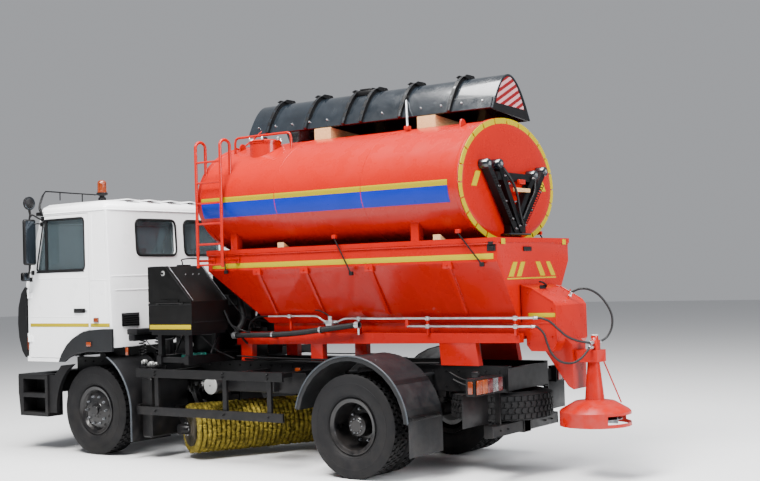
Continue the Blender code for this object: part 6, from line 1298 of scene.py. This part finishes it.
class TRUCK_OT_hydraulics(bpy.types.Operator):
    """Pipe clips, the valve with its lever, the suction hose, and the spreader's motor and vanes"""
    bl_idname = "truck.hydraulics"
    bl_label = "Pipes and valve"

    def execute(self, context):
        parts = [(pipe([(0.54, 0.478, 1.61), (0.62, 0.482, 1.606), (0.72, 0.492, 1.57),
            (0.79, 0.5, 1.556)], 0.0118), ZINC),
            (pipe([(0.8, 0.5, 1.558), (0.9, 0.492, 1.59), (1.0, 0.48, 1.634), (1.12, 0.472, 1.64),
            (1.4, 0.47, 1.64), (1.72, 0.47, 1.64)], 0.0118), ZINC),
            (pipe([(1.72, 0.47, 1.64), (1.9, 0.462, 1.63), (2.02, 0.455, 1.56), (2.06, 0.45, 1.44)],
            0.01), BLACK)]
        for x, z in ((0.42, 1.61), (0.42, 1.525), (-0.48, 1.61), (-0.48, 1.525), (-1.53, 1.61),
                (-1.53, 1.525), (1.4, 1.64)):
            parts += [(soft_box((x - 0.022, 0.46, z - 0.022), (x + 0.022, 0.4955, z + 0.022)),
                ZINC), (nut_on((x, 0.495, z), size=0.008), ZINC)]
        # the pipes' bracket, then the valve's body with its lever and unions
        parts += [(soft_box((1.385, 0.45, 1.44), (1.415, 0.468, 1.66), 0.004), ORANGE),
            (soft_box((0.745, 0.47, 1.525), (0.835, 0.545, 1.595), 0.012), ZINC),
            (lathe([(0.024, -0.03), (0.024, 0.03)], (0.79, 0.51, 1.61), "Z", 20), ZINC),
            (pipe([(0.79, 0.51, 1.625), (0.83, 0.515, 1.66), (0.93, 0.52, 1.7),
            (0.99, 0.52, 1.705)], 0.008, 8), BLACK),
            (lathe([(0.022, -0.02), (0.022, 0.02)], (0.72, 0.492, 1.57), "X", 6), ZINC),
            (lathe([(0.022, -0.02), (0.022, 0.02)], (0.86, 0.492, 1.573), "X", 6), ZINC)]
        outlined("pipes_and_valve", parts, "truck", 40)
        route = smooth_path([(2.215, 0.525, 1.42), (1.95, 0.54, 1.425), (1.6, 0.545, 1.432),
            (1.25, 0.548, 1.452), (0.9, 0.55, 1.49), (0.62, 0.548, 1.52), (0.46, 0.545, 1.538),
            (0.38, 0.54, 1.545)], 60)
        route, reach = evenly(route, DUCT_STEP)
        # corrugated wall: the radius swings by 2 mm every 24 mm along the hose
        radius = 0.031 + 0.0022 * np.cos(reach * 2 * pi / 0.024)
        duct = [(swept(route, radius[:, None, None] * disc(1.0, 20)), HOSE)]
        for at in ((2.205, 0.525, 1.42), (0.395, 0.541, 1.544)):
            duct.append((lathe([(0.033, -0.028), (0.038, -0.026), (0.038, 0.026), (0.033, 0.028)],
                at, "X", 24, hollow=True), ZINC))
        for x, y, z in ((1.6, 0.545, 1.432), (0.9, 0.55, 1.49)):
            duct += [(soft_box((x - 0.014, 0.455, z - 0.042), (x + 0.014, y, z - 0.034), 0.003),
                ORANGE), (lathe([(0.034, -0.012), (0.037, -0.012), (0.037, 0.012), (0.034, 0.012)],
                (x, y, z), "X", 24, hollow=True), ZINC)]
        outlined("suction_duct", duct, "truck", 50)
        head = [(lathe([(0.037, 1.412), (0.039, 1.418), (0.037, 1.4225), (AXIS_GAP, 1.4235)],
            (-2.16, 0, 0), "Z", 24), CAST)]
        head += [(lathe([(0.0165, -0.012), (0.0215, -0.012), (0.0215, 0.012), (0.0165, 0.012)],
            (-2.165, y, z), "Y", 6, hollow=True), ZINC) for y, z in ((0.072, 1.345), (0.0864, 1.3),
            (-0.072, 1.345))]
        head += [(nut_on((x, y, 1.3705), (0, 0, 1), 0.006), ZINC) for x in (-2.185, -2.145)
            for y in (-0.04, 0.04)]
        head += [(nut_on((-2.14 + 0.088 * cos(a), 0.088 * sin(a), 0.775), (0, 0, 1), 0.007), ORANGE)
            for a in np.arange(8) * pi / 4]
        outlined("spreader_motor_fittings", head, "truck", 40)
        vane = prism("z", (0.545, 0.6), [(0.05, -0.004), (0.245, -0.018), (0.25, -0.012),
            (0.052, 0.003)])
        vanes = [placed(vane, Matrix.Translation((-2.14, 0, 0)) @ Matrix.Rotation(n * pi / 3, 4,
            "Z")) for n in range(6)]
        outlined("spreader_vanes", [(joined(*vanes), STEEL)], "spinner", 40)
        return {"FINISHED"}


# ---------------------------------------------------------------- chassis
# start, end, sag
AIR_LINES = (
    ((3.45, 0.46, 1.17), (2.3, 0.47, 1.2), 0.03), ((3.4, 0.5, 1.14), (2.55, 0.55, 1.28), 0.05),
    ((2.9, 0.62, 1.44), (2.62, 0.52, 1.16), 0.02), ((2.75, 0.95, 1.44), (2.5, 0.6, 1.2), 0.05),
    ((2.4, 0.9, 1.44), (2.2, 0.55, 1.15), 0.04), ((2.2, 0.7, 1.72), (2.05, 0.42, 1.3), 0.06),
    ((2.2, 0.66, 1.9), (1.98, 0.3, 1.5), 0.05), ((2.21, 0.64, 1.6), (1.99, 0.5, 1.46), 0.04),
    ((2.3, 0.3, 1.62), (1.9, 0.1, 1.6), 0.03), ((2.55, 0.3, 1.75), (2.2, 0.64, 1.66), 0.05),
    ((2.7, 0.48, 2.02), (2.4, 0.36, 1.4), 0.02), ((3.35, 0.7, 1.4), (2.92, 0.8, 1.4), 0.04),
    ((3.3, 0.9, 1.38), (2.8, 1.05, 1.3), 0.05), ((2.2, 0.5, 1.18), (0.6, 0.46, 1.15), 0.02),
    ((2.1, 0.47, 1.14), (-0.6, 0.455, 1.14), 0.02), ((1.8, 0.52, 0.8), (2.1, 0.6, 0.97), -0.02),
    ((-0.75, 0.5, 1.05), (-1.3, 0.62, 1.0), 0.04), ((-0.8, 0.52, 0.98), (-1.28, 0.52, 0.94), 0.05))
FRAME_BOXES = (  # low corner, high corner, rounding, material
    ((3.1, 0.94, 1.062), (3.16, 1.1, 1.078), 0.004, DARK),
    ((3.0, 0.94, 1.062), (3.25, 1.06, 1.08), 0.006, DARK),
    ((2.98, 0.56, 0.948), (3.175, 1.1, 0.962), 0.006, BLACK),
    # side markers
    ((1.284, 0.428, 1.005), (1.345, 0.452, 1.055), 0.005, DARK),
    ((1.28, 0.45, 1.008), (1.35, 0.474, 1.052), 0.008, AMBER),
    ((3.235, 1.225, 1.215), (3.275, 1.252, 1.325), 0.004, DARK),
    ((3.232, 1.248, 1.225), (3.272, 1.262, 1.315), 0.005, AMBER),
    # the cab's rear cross-beam and its posts, and the engine's air intake behind the cab
    ((3.33, -1.02, 1.375), (3.44, 1.06, 1.455), 0.015, DARK),
    ((3.34, 0.4, 1.115), (3.43, 0.47, 1.385), 0.006, DARK),
    ((3.34, -0.47, 1.115), (3.43, -0.4, 1.385), 0.006, DARK),
    ((3.3, 0.74, 1.45), (3.47, 1.05, 1.52), 0.012, BLACK),
    # plates that close the view under the locker and behind it: dark sheets that stand for black
    # parts there and are partly painted shade where the view would open
    ((2.44, 0.625, 1.155), (3.06, 0.64, 1.435), 0.004, DARK),
    ((2.455, -0.1, 1.3), (2.47, 0.6, 2.28), 0.004, DARK),
    ((2.5, 0.18, 1.16), (2.95, 0.6, 1.34), 0.02, BLACK))
PUMP_BOXES = (
    ((2.3, 0.3, 1.215), (2.78, 0.6, 1.245), 0.01, DARK),
    ((2.3, 0.26, 1.52), (2.52, 0.56, 1.78), 0.03, DARK),
    ((2.31, 0.3, 1.76), (2.44, 0.5, 1.9), 0.02, BLACK),
    ((2.1, 0.05, 1.155), (2.3, 0.36, 1.5), 0.02, DARK),
    ((2.16, -0.3, 1.155), (2.29, -0.02, 1.62), 0.02, BLACK))
# inner edge, outer edge, lens
LAMP_PANES = (
    (0.995, 1.098, AMBER), (0.895, 0.99, "yellow_lens"), (0.79, 0.89, "red_lens"),
    (0.69, 0.785, "clear_lens"), (0.602, 0.685, "red_lens"))


def cable(seed, start, end, sag, radius=0.007, count=5):
    """A cable between two points: a drooping line whose inner points stray by a few centimetres."""
    chance = np.random.default_rng(seed)
    share = np.linspace(0, 1, count)[:, None]
    points = np.array(start) * (1 - share) + np.array(end) * share
    points[:, 2] -= sag * 4 * (share * (1 - share))[:, 0]
    points[1:-1] += 0.025 * (chance.random((count - 2, 3)) - 0.5)
    return pipe(points, radius, 8, per_span=6)


class TRUCK_OT_chassis_fittings(bpy.types.Operator):
    """Air lines, valves, brackets, bolts and markers along the frame"""
    bl_idname = "truck.chassis_fittings"
    bl_label = "Chassis fittings"

    def execute(self, context):
        size = context.scene.truck_sizes.bolt / 2
        rail = [(nut_on((x, 0.4295, z), size=size * 0.8), DARK) for x in np.arange(-1.3, 5.0, 0.16)
            for z in (0.905, 1.065) if abs(x - 3.95) > 0.12 and abs(x) > 0.1]
        guard = [(nut_on((x, 1.1998, z), size=size), DARK) for z in (1.035, 0.995, 0.58)
            for x in (2.86, 1.79, 1.14)]
        outlined("frame_bolts", both(rail + guard[:6]) + guard[6:], "truck", 30)
        lines = []
        for n, (start, end, sag) in enumerate(AIR_LINES):
            lines.append((cable(n, start, end, sag, 0.006 + 0.004 * (n % 3)), BLACK))
            if n % 2:
                lines.append((other_side(cable(n + 40, start, end, sag, 0.007)), BLACK))
        outlined("air_lines", lines, "truck", 60)
        # a round cast cap, a green box with its pipe, and six small valves with nuts and lines
        parts = [(lathe([(AXIS_GAP, 1.0955), (0.02, 1.0955), (0.096, 1.093), (0.0985, 1.09),
            (0.0995, 1.085), (0.099, 1.08)], (2.2, -0.125, 0.87), "Y", 40), CAST),
            (soft_box((2.5, 0.62, 1.175), (2.72, 0.9, 1.215), 0.01), "green_moulding"),
            (pipe([(2.72, 0.75, 1.2), (2.62, 0.88, 1.235), (2.45, 0.92, 1.22), (2.33, 0.9, 1.215)],
            0.018), "green_moulding"), (soft_box((2.36, 0.84, 1.185), (2.44, 0.94, 1.245), 0.012),
            "green_moulding")]
        for x, y, z, r in ((2.55, 0.93, 1.335, 0.038), (3.14, 0.98, 1.1, 0.03),
                (3.21, 1.02, 1.13, 0.024), (3.03, 1.0, 1.105, 0.022), (2.62, 0.62, 0.86, 0.03),
                (2.56, 0.58, 0.84, 0.022)):
            parts += [(lathe([(r, -0.03), (r * 1.1, -0.01), (r * 1.1, 0.012), (r * 0.7, 0.022),
                (r * 0.7, 0.04), (AXIS_GAP, 0.045)], (x, y, z), "Y", 20), CAST),
                (nut_on((x + r * 0.7, y + 0.012, z - r), size=0.009), ZINC),
                (pipe([(x, y, z - r), (x - 0.02, y - 0.03, z - r - 0.06),
                (x - 0.06, y - 0.1, z - r - 0.09)], 0.009, 8), BLACK)]
        parts += [(soft_box(low, high, edge), material)
            for low, high, edge, material in FRAME_BOXES]
        parts.append((rod([(3.02, 0.86, 1.07), (3.02, 0.86, 0.95)], 0.012, 8), DARK))
        share = np.linspace(0, 1, 120)
        for y in (0.62, 0.88):
            coil = np.stack([3.385 + 0.038 * np.cos(share * 2 * pi * 5),
                y + 0.038 * np.sin(share * 2 * pi * 5), 1.2 + 0.17 * share], -1)
            parts.append((swept(coil, disc(0.007, 8)), DARK))
        # plates inside the side guards and panels ahead of the front wheels, dark sheets that stand
        # for black parts and are partly painted shade where the view would open, and the locker's
        # stays
        arch = np.radians(np.linspace(-5, 60, 24))
        panel = [(4.744, WHEEL_Z - 0.055), *zip(FRONT_AXLE + 0.645 * np.cos(arch),
            WHEEL_Z + 0.645 * np.sin(arch)), (4.5, 1.075), (4.62, 0.95), (4.744, 0.95)]
        left = [(soft_box((0.92, 0.8, 0.8), (2.06, 0.808, 1.03), 0.003), DARK),
            (soft_box((1.3, 0.6, 0.81), (1.74, 0.9, 1.0), 0.03), BLACK),
            (prism("y", (1.15, 1.198), panel), BLACK)]
        left += [(pipe([(x, 0.7, 1.455), (x - 0.12, 0.96, 1.25)], 0.01, 8), DARK)
            for x in (2.3, 2.86)]
        outlined("frame_fittings", parts + both(left), "truck", 40)
        pump = [(pipe([(2.6, 0.0, 1.83), (2.58, 0.05, 1.95), (2.5, 0.2, 2.02), (2.34, 0.34, 1.98),
            (2.22, 0.4, 1.8), (2.16, 0.42, 1.6), (2.215, 0.5, 1.44)], 0.038, 16), HOSE),
            (pipe([(2.45, -0.18, 1.6), (2.34, -0.1, 1.72), (2.26, 0.1, 1.72), (2.18, 0.22, 1.6),
            (2.12, 0.26, 1.42)], 0.026, 12), HOSE),
            (lathe([(0.055, 0.56), (0.058, 0.57), (0.058, 0.6), (0.04, 0.612), (AXIS_GAP, 0.615)],
            (2.4, 0.0, 1.65), "Y", 24), CAST)]
        pump += [(soft_box(low, high, edge), material) for low, high, edge, material in PUMP_BOXES]
        pump += [(lathe([(0.016, -0.006), (0.016, 0.02), (AXIS_GAP, 0.022)],
            (2.33 + 0.03 * (n % 3), 0.566, 1.56 + 0.03 * n), "Y", 12), ZINC) for n in range(7)]
        outlined("pump_and_manifold", pump, "truck", 45)
        chamber = [(0.06, -0.075), (0.072, -0.06), (0.074, -0.008), (0.082, -0.004), (0.082, 0.008),
            (0.074, 0.012), (0.074, 0.05), (0.06, 0.07), (AXIS_GAP, 0.072)]
        outlined("brake_chambers", both([(lathe(chamber, (x, 0.52, 0.8), "X", 24), DARK)
            for x in (0.3, -0.3, 3.6)]), "truck", 45)
        return {"FINISHED"}


class TRUCK_OT_locker_trim(bpy.types.Operator):
    """Tape, edge trims, hinges, stays and catches of the locker and the box beside it"""
    bl_idname = "truck.locker_trim"
    bl_label = "Locker trim"

    def execute(self, context):
        width = context.scene.truck_sizes.tape_width
        fixed = [(soft_box((2.235, 1.2198, 1.528), (2.895, 1.2216, 1.528 + width), 0.0006), TAPE),
            (soft_box((2.215, 1.2192, 1.802), (2.915, 1.2235, 1.814), 0.002), BLACK)]
        fixed += [(rod([(2.905, y, 2.252), (2.602, y, 2.252), (2.222, y, 1.856)], 0.004, 6), STEEL)
            for y in (0.64, 1.19)]
        fixed += [(nut_on((2.5, y, 2.15), (-0.72, 0, 0.69), 0.007), ZINC) for y in (0.8, 0.9, 1.02)]
        fixed += [(soft_box((2.62, 0.8, 2.249), (2.7, 0.96, 2.268), 0.005), BLACK),
            (pipe([(2.86, 0.7, 2.25), (2.86, 0.7, 2.3), (2.84, 0.72, 2.335), (2.6, 0.74, 2.338),
            (2.57, 0.74, 2.3), (2.57, 0.74, 2.245)], 0.008, 8, per_span=5), BLACK),
            (soft_box((2.2155, 0.66, 1.6), (2.2205, 1.18, 1.61), 0.002), BLACK)]
        outlined("locker_fixed_trim", fixed, "truck", 40)
        flap = [(lathe([(0.03, 1.2195), (0.03, 1.2245), (0.022, 1.228)], (2.66, 0, 2.17), "Y", 24),
            CAST), (soft_box((2.652, 1.226, 2.15), (2.668, 1.238, 2.19), 0.003), ZINC),
            (rod([(2.9, 1.2205, 1.85), (2.9, 1.2205, 2.236), (2.61, 1.2205, 2.236),
            (2.245, 1.2205, 1.87), (2.245, 1.2205, 1.85)], 0.0035, 6), BLACK)]
        outlined("locker_flap_trim", flap, "locker_flap", 40)
        return {"FINISHED"}


# ---------------------------------------------------------------- rear end
def wheel_arc(x, radius, first, last, count):
    """Points (x, z) of an arc round a wheel's centre, between two angles in degrees."""
    turn = np.radians(np.linspace(first, last, count))
    return np.stack([x + radius * np.cos(turn), WHEEL_Z + radius * np.sin(turn)], -1)


class TRUCK_OT_rear_end(bpy.types.Operator):
    """Lamps with their segments, mudguard lips and bands, and the under-run bar's trim"""
    bl_idname = "truck.rear_end"
    bl_label = "Rear end"

    def execute(self, context):
        lamps = [(soft_box((-1.436, low, 0.897), (-1.418, high, 1.033)), material)
            for low, high, material in LAMP_PANES]
        lamps += [(soft_box((-1.255, 0.6, 0.56), (-1.247, 1.09, 0.89), 0.003), DARK),
            (soft_box((-1.428, 0.588, 0.887), (-1.419, 1.112, 0.893), 0.002), BLACK),
            (soft_box((-1.428, 0.588, 1.037), (-1.419, 1.112, 1.043), 0.002), BLACK),
            (soft_box((-1.4, 1.118, 0.905), (-1.35, 1.136, 1.025)), AMBER),
            (soft_box((-1.33, 0.86, 1.045), (-1.25, 0.9, 1.1)), DARK),
            (pipe([(-1.33, 0.65, 0.96), (-1.22, 0.56, 1.0), (-1.05, 0.46, 1.02)], 0.012, 8), BLACK)]
        lamps += [(nut_on((x, 0.5305, z), size=0.01), ZINC)
            for x, z in ((-1.325, 0.88), (-1.295, 0.94))]
        outlined("rear_lamps", both(lamps), "truck", 45)
        bar = both([(soft_box((-1.362, 0.69, 0.423), (-1.258, 0.708, 0.547), 0.008), BLACK)])
        bar.append((soft_box((-1.37, -0.075, 0.412), (-1.25, 0.075, 0.558)), DARK))
        bar += [(nut_on((-1.3595, y, 0.485), (-1, 0, 0), 0.01), DARK)
            for y in (-0.55, -0.4, 0.4, 0.55)]
        outlined("under_run_trim", bar, "truck", 40)
        rear = np.insert(wheel_arc(0, 0.7235, 13, 175, 60), 1, 1.254, axis=1)
        front = np.insert(wheel_arc(FRONT_AXLE, 0.741, 118, 180, 30), 1, 1.2505, axis=1)
        front = np.concatenate([front, [(FRONT_AXLE - 0.741, 1.2505, 0.21)]])
        # the lips are grey on dark mudguards: painted highlight along the mudguards' edges
        lips = [(swept(rear, disc(1, 10) * (0.009, 0.01), (0, 1, 0)), LIP_HIGHLIGHT),
            (swept(front, disc(1, 10) * (0.01, 0.014), (0, 1, 0)), LIP_HIGHLIGHT),
            (soft_box((-0.726, 0.64, 0.618), (-0.7195, 1.225, 0.662), 0.003), DARK)]
        lean = np.degrees(0.035)
        lips += [(prism("y", (0.6, 1.248),
            np.concatenate([wheel_arc(0, 0.7185, at - lean, at + lean, 4),
            wheel_arc(0, 0.712, at + lean, at - lean, 4)])), BLACK) for at in (40, 90, 140)]
        lips += [(nut_on((-0.7205, y, 0.64), (-1, 0, 0), 0.01), DARK) for y in (0.7, 0.95, 1.18)]
        outlined("mudguard_lips", both(lips), "truck", 50)
        return {"FINISHED"}


# ---------------------------------------------------------------- plough on the tank
BOW_POINTS = 40
HEAD_TOP = 4.238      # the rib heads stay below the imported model's top
RIB_PLACES = (1.93, 1.35, 0.8, 0.55, 0.02, -0.62)


def mouldboard(out=0.0):
    """The blade's section: a quadratic bow from the left edge over the crown to the right edge.

    Point = (1-t)^2 left + 2t(1-t) control + t^2 right, moved out along its normal.
    """
    left, right, crown, share = np.array((0.14, 3.8)), np.array((-0.68, 3.73)), np.array((-0.14,
        4.17)), 0.36
    control = (crown - (1 - share) ** 2 * left - share ** 2 * right) / (2 * share * (1 - share))
    t = np.linspace(0, 1, BOW_POINTS)[:, None]
    point = (1 - t) ** 2 * left + 2 * t * (1 - t) * control + t ** 2 * right
    slope = 2 * (1 - t) * (control - left) + 2 * t * (right - control)
    slope /= np.linalg.norm(slope, axis=1)[:, None]
    return point + out * np.stack([slope[:, 1], -slope[:, 0]], -1)


class TRUCK_OT_plough(bpy.types.Operator):
    """The mouldboard with doubled ribs, hooked rib heads, cutting edge, end plate and strut"""
    bl_idname = "truck.plough"
    bl_label = "Plough"

    def execute(self, context):
        outer, inner = mouldboard(), mouldboard(-0.0138)
        bow = skin(np.array([np.column_stack([np.full(2 * BOW_POINTS, x),
            np.concatenate([outer, inner[::-1]])]) for x in (-1.149, 2.249)]), across=True,
            caps=True)
        parts = [(bow, "plough_enamel")]
        ribs, heads = [], []
        for x in RIB_PLACES:
            section = np.concatenate([mouldboard(0.0432)[:31], mouldboard(-0.003)[:31][::-1]])
            ribs += [prism("x", (x + shift - 0.005, x + shift + 0.005), section)
                for shift in (-0.017, 0.017)]
            cap = np.concatenate([mouldboard(0.0438)[2:30], mouldboard(0.038)[2:30][::-1]])
            ribs.append(prism("x", (x - 0.022, x + 0.022), cap))
            y, z = mouldboard()[17]
            hook = np.array([(y + 0.1, z + 0.02), (y + 0.05, z + 0.052), (y - 0.02, z + 0.066),
                (y - 0.1, z + 0.045), (y - 0.135, z + 0.004), (y - 0.12, z - 0.075),
                (y - 0.06, z - 0.03), (y, z - 0.004)])
            hook[:, 1] = np.minimum(hook[:, 1], HEAD_TOP)
            heads += [prism("x", (x + shift - 0.007, x + shift + 0.007), hook)
                for shift in (-0.05, 0.05)]
            heads.append(lathe([(0.02, x - 0.066), (0.02, x + 0.066)], (0, y - 0.055, z + 0.012),
                "X", 16))
        parts += [(joined(*ribs), DARK), (joined(*heads), BLACK)]
        between = [soft_box((0.54, -0.3, 4.15), (0.83, -0.1, 4.208), 0.01),
            soft_box((0.585, -0.27, 4.2), (0.765, -0.13, 4.2355), 0.006), prism("y", (-0.24, -0.16),
            [(0.57, 4.18), (0.79, 4.18), (0.75, 4.235), (0.61, 4.235)])]
        parts.append((joined(*between), DARK))
        # cutting edge of rubber and its bolts along the low left edge
        edge = mouldboard(0.012)[:4]
        strip = np.concatenate([edge, mouldboard(0.001)[:4][::-1]])
        parts.append((prism("x", (-1.13, 2.23), strip), "plough_enamel"))
        bolts = [nut_on((x, *mouldboard(0.012)[2]), (0, *(mouldboard(1.0)[2] - mouldboard()[2])),
            0.01) for x in np.arange(-1.02, 2.2, 0.26)]
        parts.append((joined(*bolts), ZINC))
        outlined("plough_mouldboard", parts, "truck", 38, replaces="plough_blade")
        face = mouldboard(-0.0145)
        plate_line = np.concatenate([face, np.linspace(face[-1], face[0], 8)[1:-1]])
        end = [(prism("x", (-1.147, -1.12), plate_line), BLACK)]
        striped_part = face[(face[:, 1] > 3.845)] * (0.9, 1) + (-0.014, -0.012)
        end.append((prism("x", (-1.1495, -1.146), striped_part), "warning_tape"))
        outlined("plough_end_plate", end, "truck", 30)
        stays = [(rod([(0.02, 0.02, 4.03), (-0.235, 0.385, 3.655)], 0.013, 10), ZINC),
            (soft_box((-0.265, 0.355, 3.625), (-0.205, 0.415, 3.67), 0.006), ORANGE),
            (soft_box((-0.01, -0.005, 4.01), (0.05, 0.045, 4.06), 0.006), DARK),
            (pipe([(1.95, 0.0, 3.98), (2.18, 0.3, 3.66), (2.2, 0.44, 3.63)], 0.01, 8), ORANGE)]
        outlined("plough_stays", stays, "truck", 40)
        return {"FINISHED"}


class TRUCK_OT_push_frame_details(bpy.types.Operator):
    """Pins, plates, bolts, springs and hose ends on the stowed push frame"""
    bl_idname = "truck.push_frame_details"
    bl_label = "Push frame details"

    def execute(self, context):
        parts = []
        for y, z in ((0.6, 3.17), (0.36, 3.18), (-0.6, 3.15), (-0.38, 3.1)):
            parts += [(lathe([(0.046, -1.362), (0.052, -1.352), (0.052, -1.255)], (0, y, z), "X",
                24), "plough_enamel"), (lathe([(0.02, -1.37), (0.02, -1.36)], (0, y, z), "X", 6),
                ZINC)]
        for y, z in ((0.43, 2.95), (0.3, 2.8), (0.17, 2.62), (0.22, 2.98), (0.1, 2.8),
                (-0.45, 2.92), (-0.25, 2.72), (0.02, 2.55), (-0.1, 2.56), (0.1, 2.52), (0.3, 3.06),
                (-0.3, 3.06)):
            parts.append((nut_on((-1.358, y, z), (-1, 0, 0), 0.011), ZINC))
        for (ya, za), (yb, zb) in (((0.53, 3.05), (0.2, 2.6)), ((-0.5, 3.0), (-0.1, 2.58))):
            share = np.linspace(0, 1, 140)
            turn = share * 2 * pi * 16
            spring = np.stack([-1.372 + 0.016 * np.cos(turn), ya + (yb - ya) * share
                + 0.012 * np.sin(turn), za + (zb - za) * share + 0.01 * np.sin(turn)], -1)
            parts.append((swept(spring, disc(0.0042, 6), (1, 0.1, 0.1)), BLACK))
        parts += [(pipe([(-1.365, 0.33, 3.14), (-1.395, 0.2, 3.0), (-1.392, 0.1, 2.86),
            (-1.37, 0.02, 2.7), (-1.365, -0.05, 2.56)], 0.013, 10), HOSE),
            (pipe([(-1.365, -0.35, 3.08), (-1.39, -0.28, 2.92), (-1.39, -0.15, 2.78),
            (-1.37, -0.04, 2.62)], 0.011, 10), HOSE),
            (soft_box((-1.382, -0.2, 2.905), (-1.35, 0.12, 2.945), 0.006), "sawn_spruce"),
            (soft_box((-1.385, -0.1, 2.985), (-1.35, 0.03, 3.035), 0.008), ORANGE),
            (soft_box((-1.364, -0.22, 2.455), (-1.262, 0.22, 2.475), 0.004), "plough_enamel")]
        outlined("push_frame_fittings", parts, "truck", 40)
        return {"FINISHED"}


# ---------------------------------------------------------------- stage
EYE = (-7.472, 11.118, 2.074)                 # camera, in truck measure
LOOK = ((-0.8138, -0.5804, -0.029), (-0.0404, 0.0068, 0.9992), (-0.5798, 0.8142, -0.029))


class TRUCK_OT_stage(bpy.types.Operator):
    """Sets the floor, the soft lights and the camera"""
    bl_idname = "truck.stage"
    bl_label = "Floor, lights and camera"

    def execute(self, context):
        settings = context.scene.truck_stage
        reach = settings.floor
        material = finish("pale_floor", "D6D7D8", 0.75, dust_amount=0.0, mottle=0.004, bump=0.0)
        steps = np.linspace(-reach, reach, 9)
        grid = np.stack(np.meshgrid(steps, steps, indexing="ij") + [np.zeros((9, 9))], -1)
        mesh = bpy.data.meshes.new("floor")
        points, faces = skin(grid)
        mesh.from_pydata(points.tolist(), [], faces)
        mesh.materials.append(material)
        floor = bpy.data.objects.new("floor", mesh)
        context.scene.collection.objects.link(floor)
        if mesh.polygons[0].normal.z < 0:
            mesh.flip_normals()

        world = bpy.data.worlds.new("studio")
        context.scene.world = world
        world.use_nodes = True
        back = world.node_tree.nodes["Background"]
        back.inputs["Color"].default_value = (0.93, 0.95, 1.0, 1.0)
        back.inputs["Strength"].default_value = 0.42
        for name, at, aim, size, power, tint in (("key", (1.0, 8.2, 13.5), (1.2, 0.0, 1.5), 6.0,
                settings.key * 1.9, (1.0, 0.98, 0.95)), ("top", (1.0, 1.0, 13.0), (1.0, 0.0, 2.0),
                8.0, settings.key * 1.1, (1.0, 1.0, 1.0)), ("rear", (-13.0, 1.0, 6.5),
                (-1.0, 0.0, 2.0), 6.0, settings.key * 0.95, (0.97, 0.98, 1.0))):
            light = bpy.data.lights.new(name, "AREA")
            light.shape, light.size, light.energy, light.color = "DISK", size, power, tint
            lamp = bpy.data.objects.new(name, light)
            context.scene.collection.objects.link(lamp)
            lamp.location = Vector(at) + Vector((AXLE_X, 0, 0))
            lamp.rotation_euler = (Vector(aim) - Vector(at)).to_track_quat("-Z", "Y").to_euler()

        camera = bpy.data.cameras.new("camera")
        camera.lens, camera.sensor_width = settings.lens, 36.0
        camera.clip_end = 500.0
        eye = bpy.data.objects.new("camera", camera)
        context.scene.collection.objects.link(eye)
        turn = Matrix(LOOK).transposed().to_4x4()
        eye.matrix_world = Matrix.Translation((EYE[0] + AXLE_X, EYE[1], EYE[2])) @ turn
        context.scene.camera = eye
        return {"FINISHED"}


# ---------------------------------------------------------------- panel and registration
OPERATORS = (TRUCK_OT_finishes, TRUCK_OT_stage, TRUCK_OT_hoses, TRUCK_OT_solids, TRUCK_OT_tyres,
    TRUCK_OT_rims, TRUCK_OT_brush, TRUCK_OT_cab_glazing, TRUCK_OT_cab_trim, TRUCK_OT_cab_front_trim,
    TRUCK_OT_mirrors, TRUCK_OT_beacon, TRUCK_OT_tank, TRUCK_OT_tank_marking, TRUCK_OT_tank_fittings,
    TRUCK_OT_hopper_marking, TRUCK_OT_hopper_fittings, TRUCK_OT_hydraulics,
    TRUCK_OT_chassis_fittings, TRUCK_OT_locker_trim, TRUCK_OT_rear_end, TRUCK_OT_plough,
    TRUCK_OT_push_frame_details)


class TRUCK_PT_panel(bpy.types.Panel):
    """Lists the truck's settings and the operators that build it"""
    bl_idname = "TRUCK_PT_panel"
    bl_label = "Road maintenance truck"
    bl_space_type = "VIEW_3D"
    bl_region_type = "UI"
    bl_category = "Truck"

    def draw(self, context):
        for group in (context.scene.truck_finishes, context.scene.truck_sizes,
                context.scene.truck_stage):
            box = self.layout.box()
            for key in group.__annotations__:
                box.prop(group, key)
        for operator in OPERATORS:
            self.layout.operator(operator.bl_idname)


CLASSES = (TruckFinishes, TruckSizes, TruckStage) + OPERATORS + (TRUCK_PT_panel,)


def register():
    for entry in CLASSES:
        bpy.utils.register_class(entry)
    bpy.types.Scene.truck_finishes = PointerProperty(type=TruckFinishes)
    bpy.types.Scene.truck_sizes = PointerProperty(type=TruckSizes)
    bpy.types.Scene.truck_stage = PointerProperty(type=TruckStage)


def unregister():
    del bpy.types.Scene.truck_stage
    del bpy.types.Scene.truck_sizes
    del bpy.types.Scene.truck_finishes
    for entry in reversed(CLASSES):
        bpy.utils.unregister_class(entry)


def main():
    """Registers the add-on and runs its operators in order."""
    register()
    for operator in OPERATORS:
        group, name = operator.bl_idname.split(".")
        getattr(getattr(bpy.ops, group), name)()


if __name__ == "__main__":
    main()
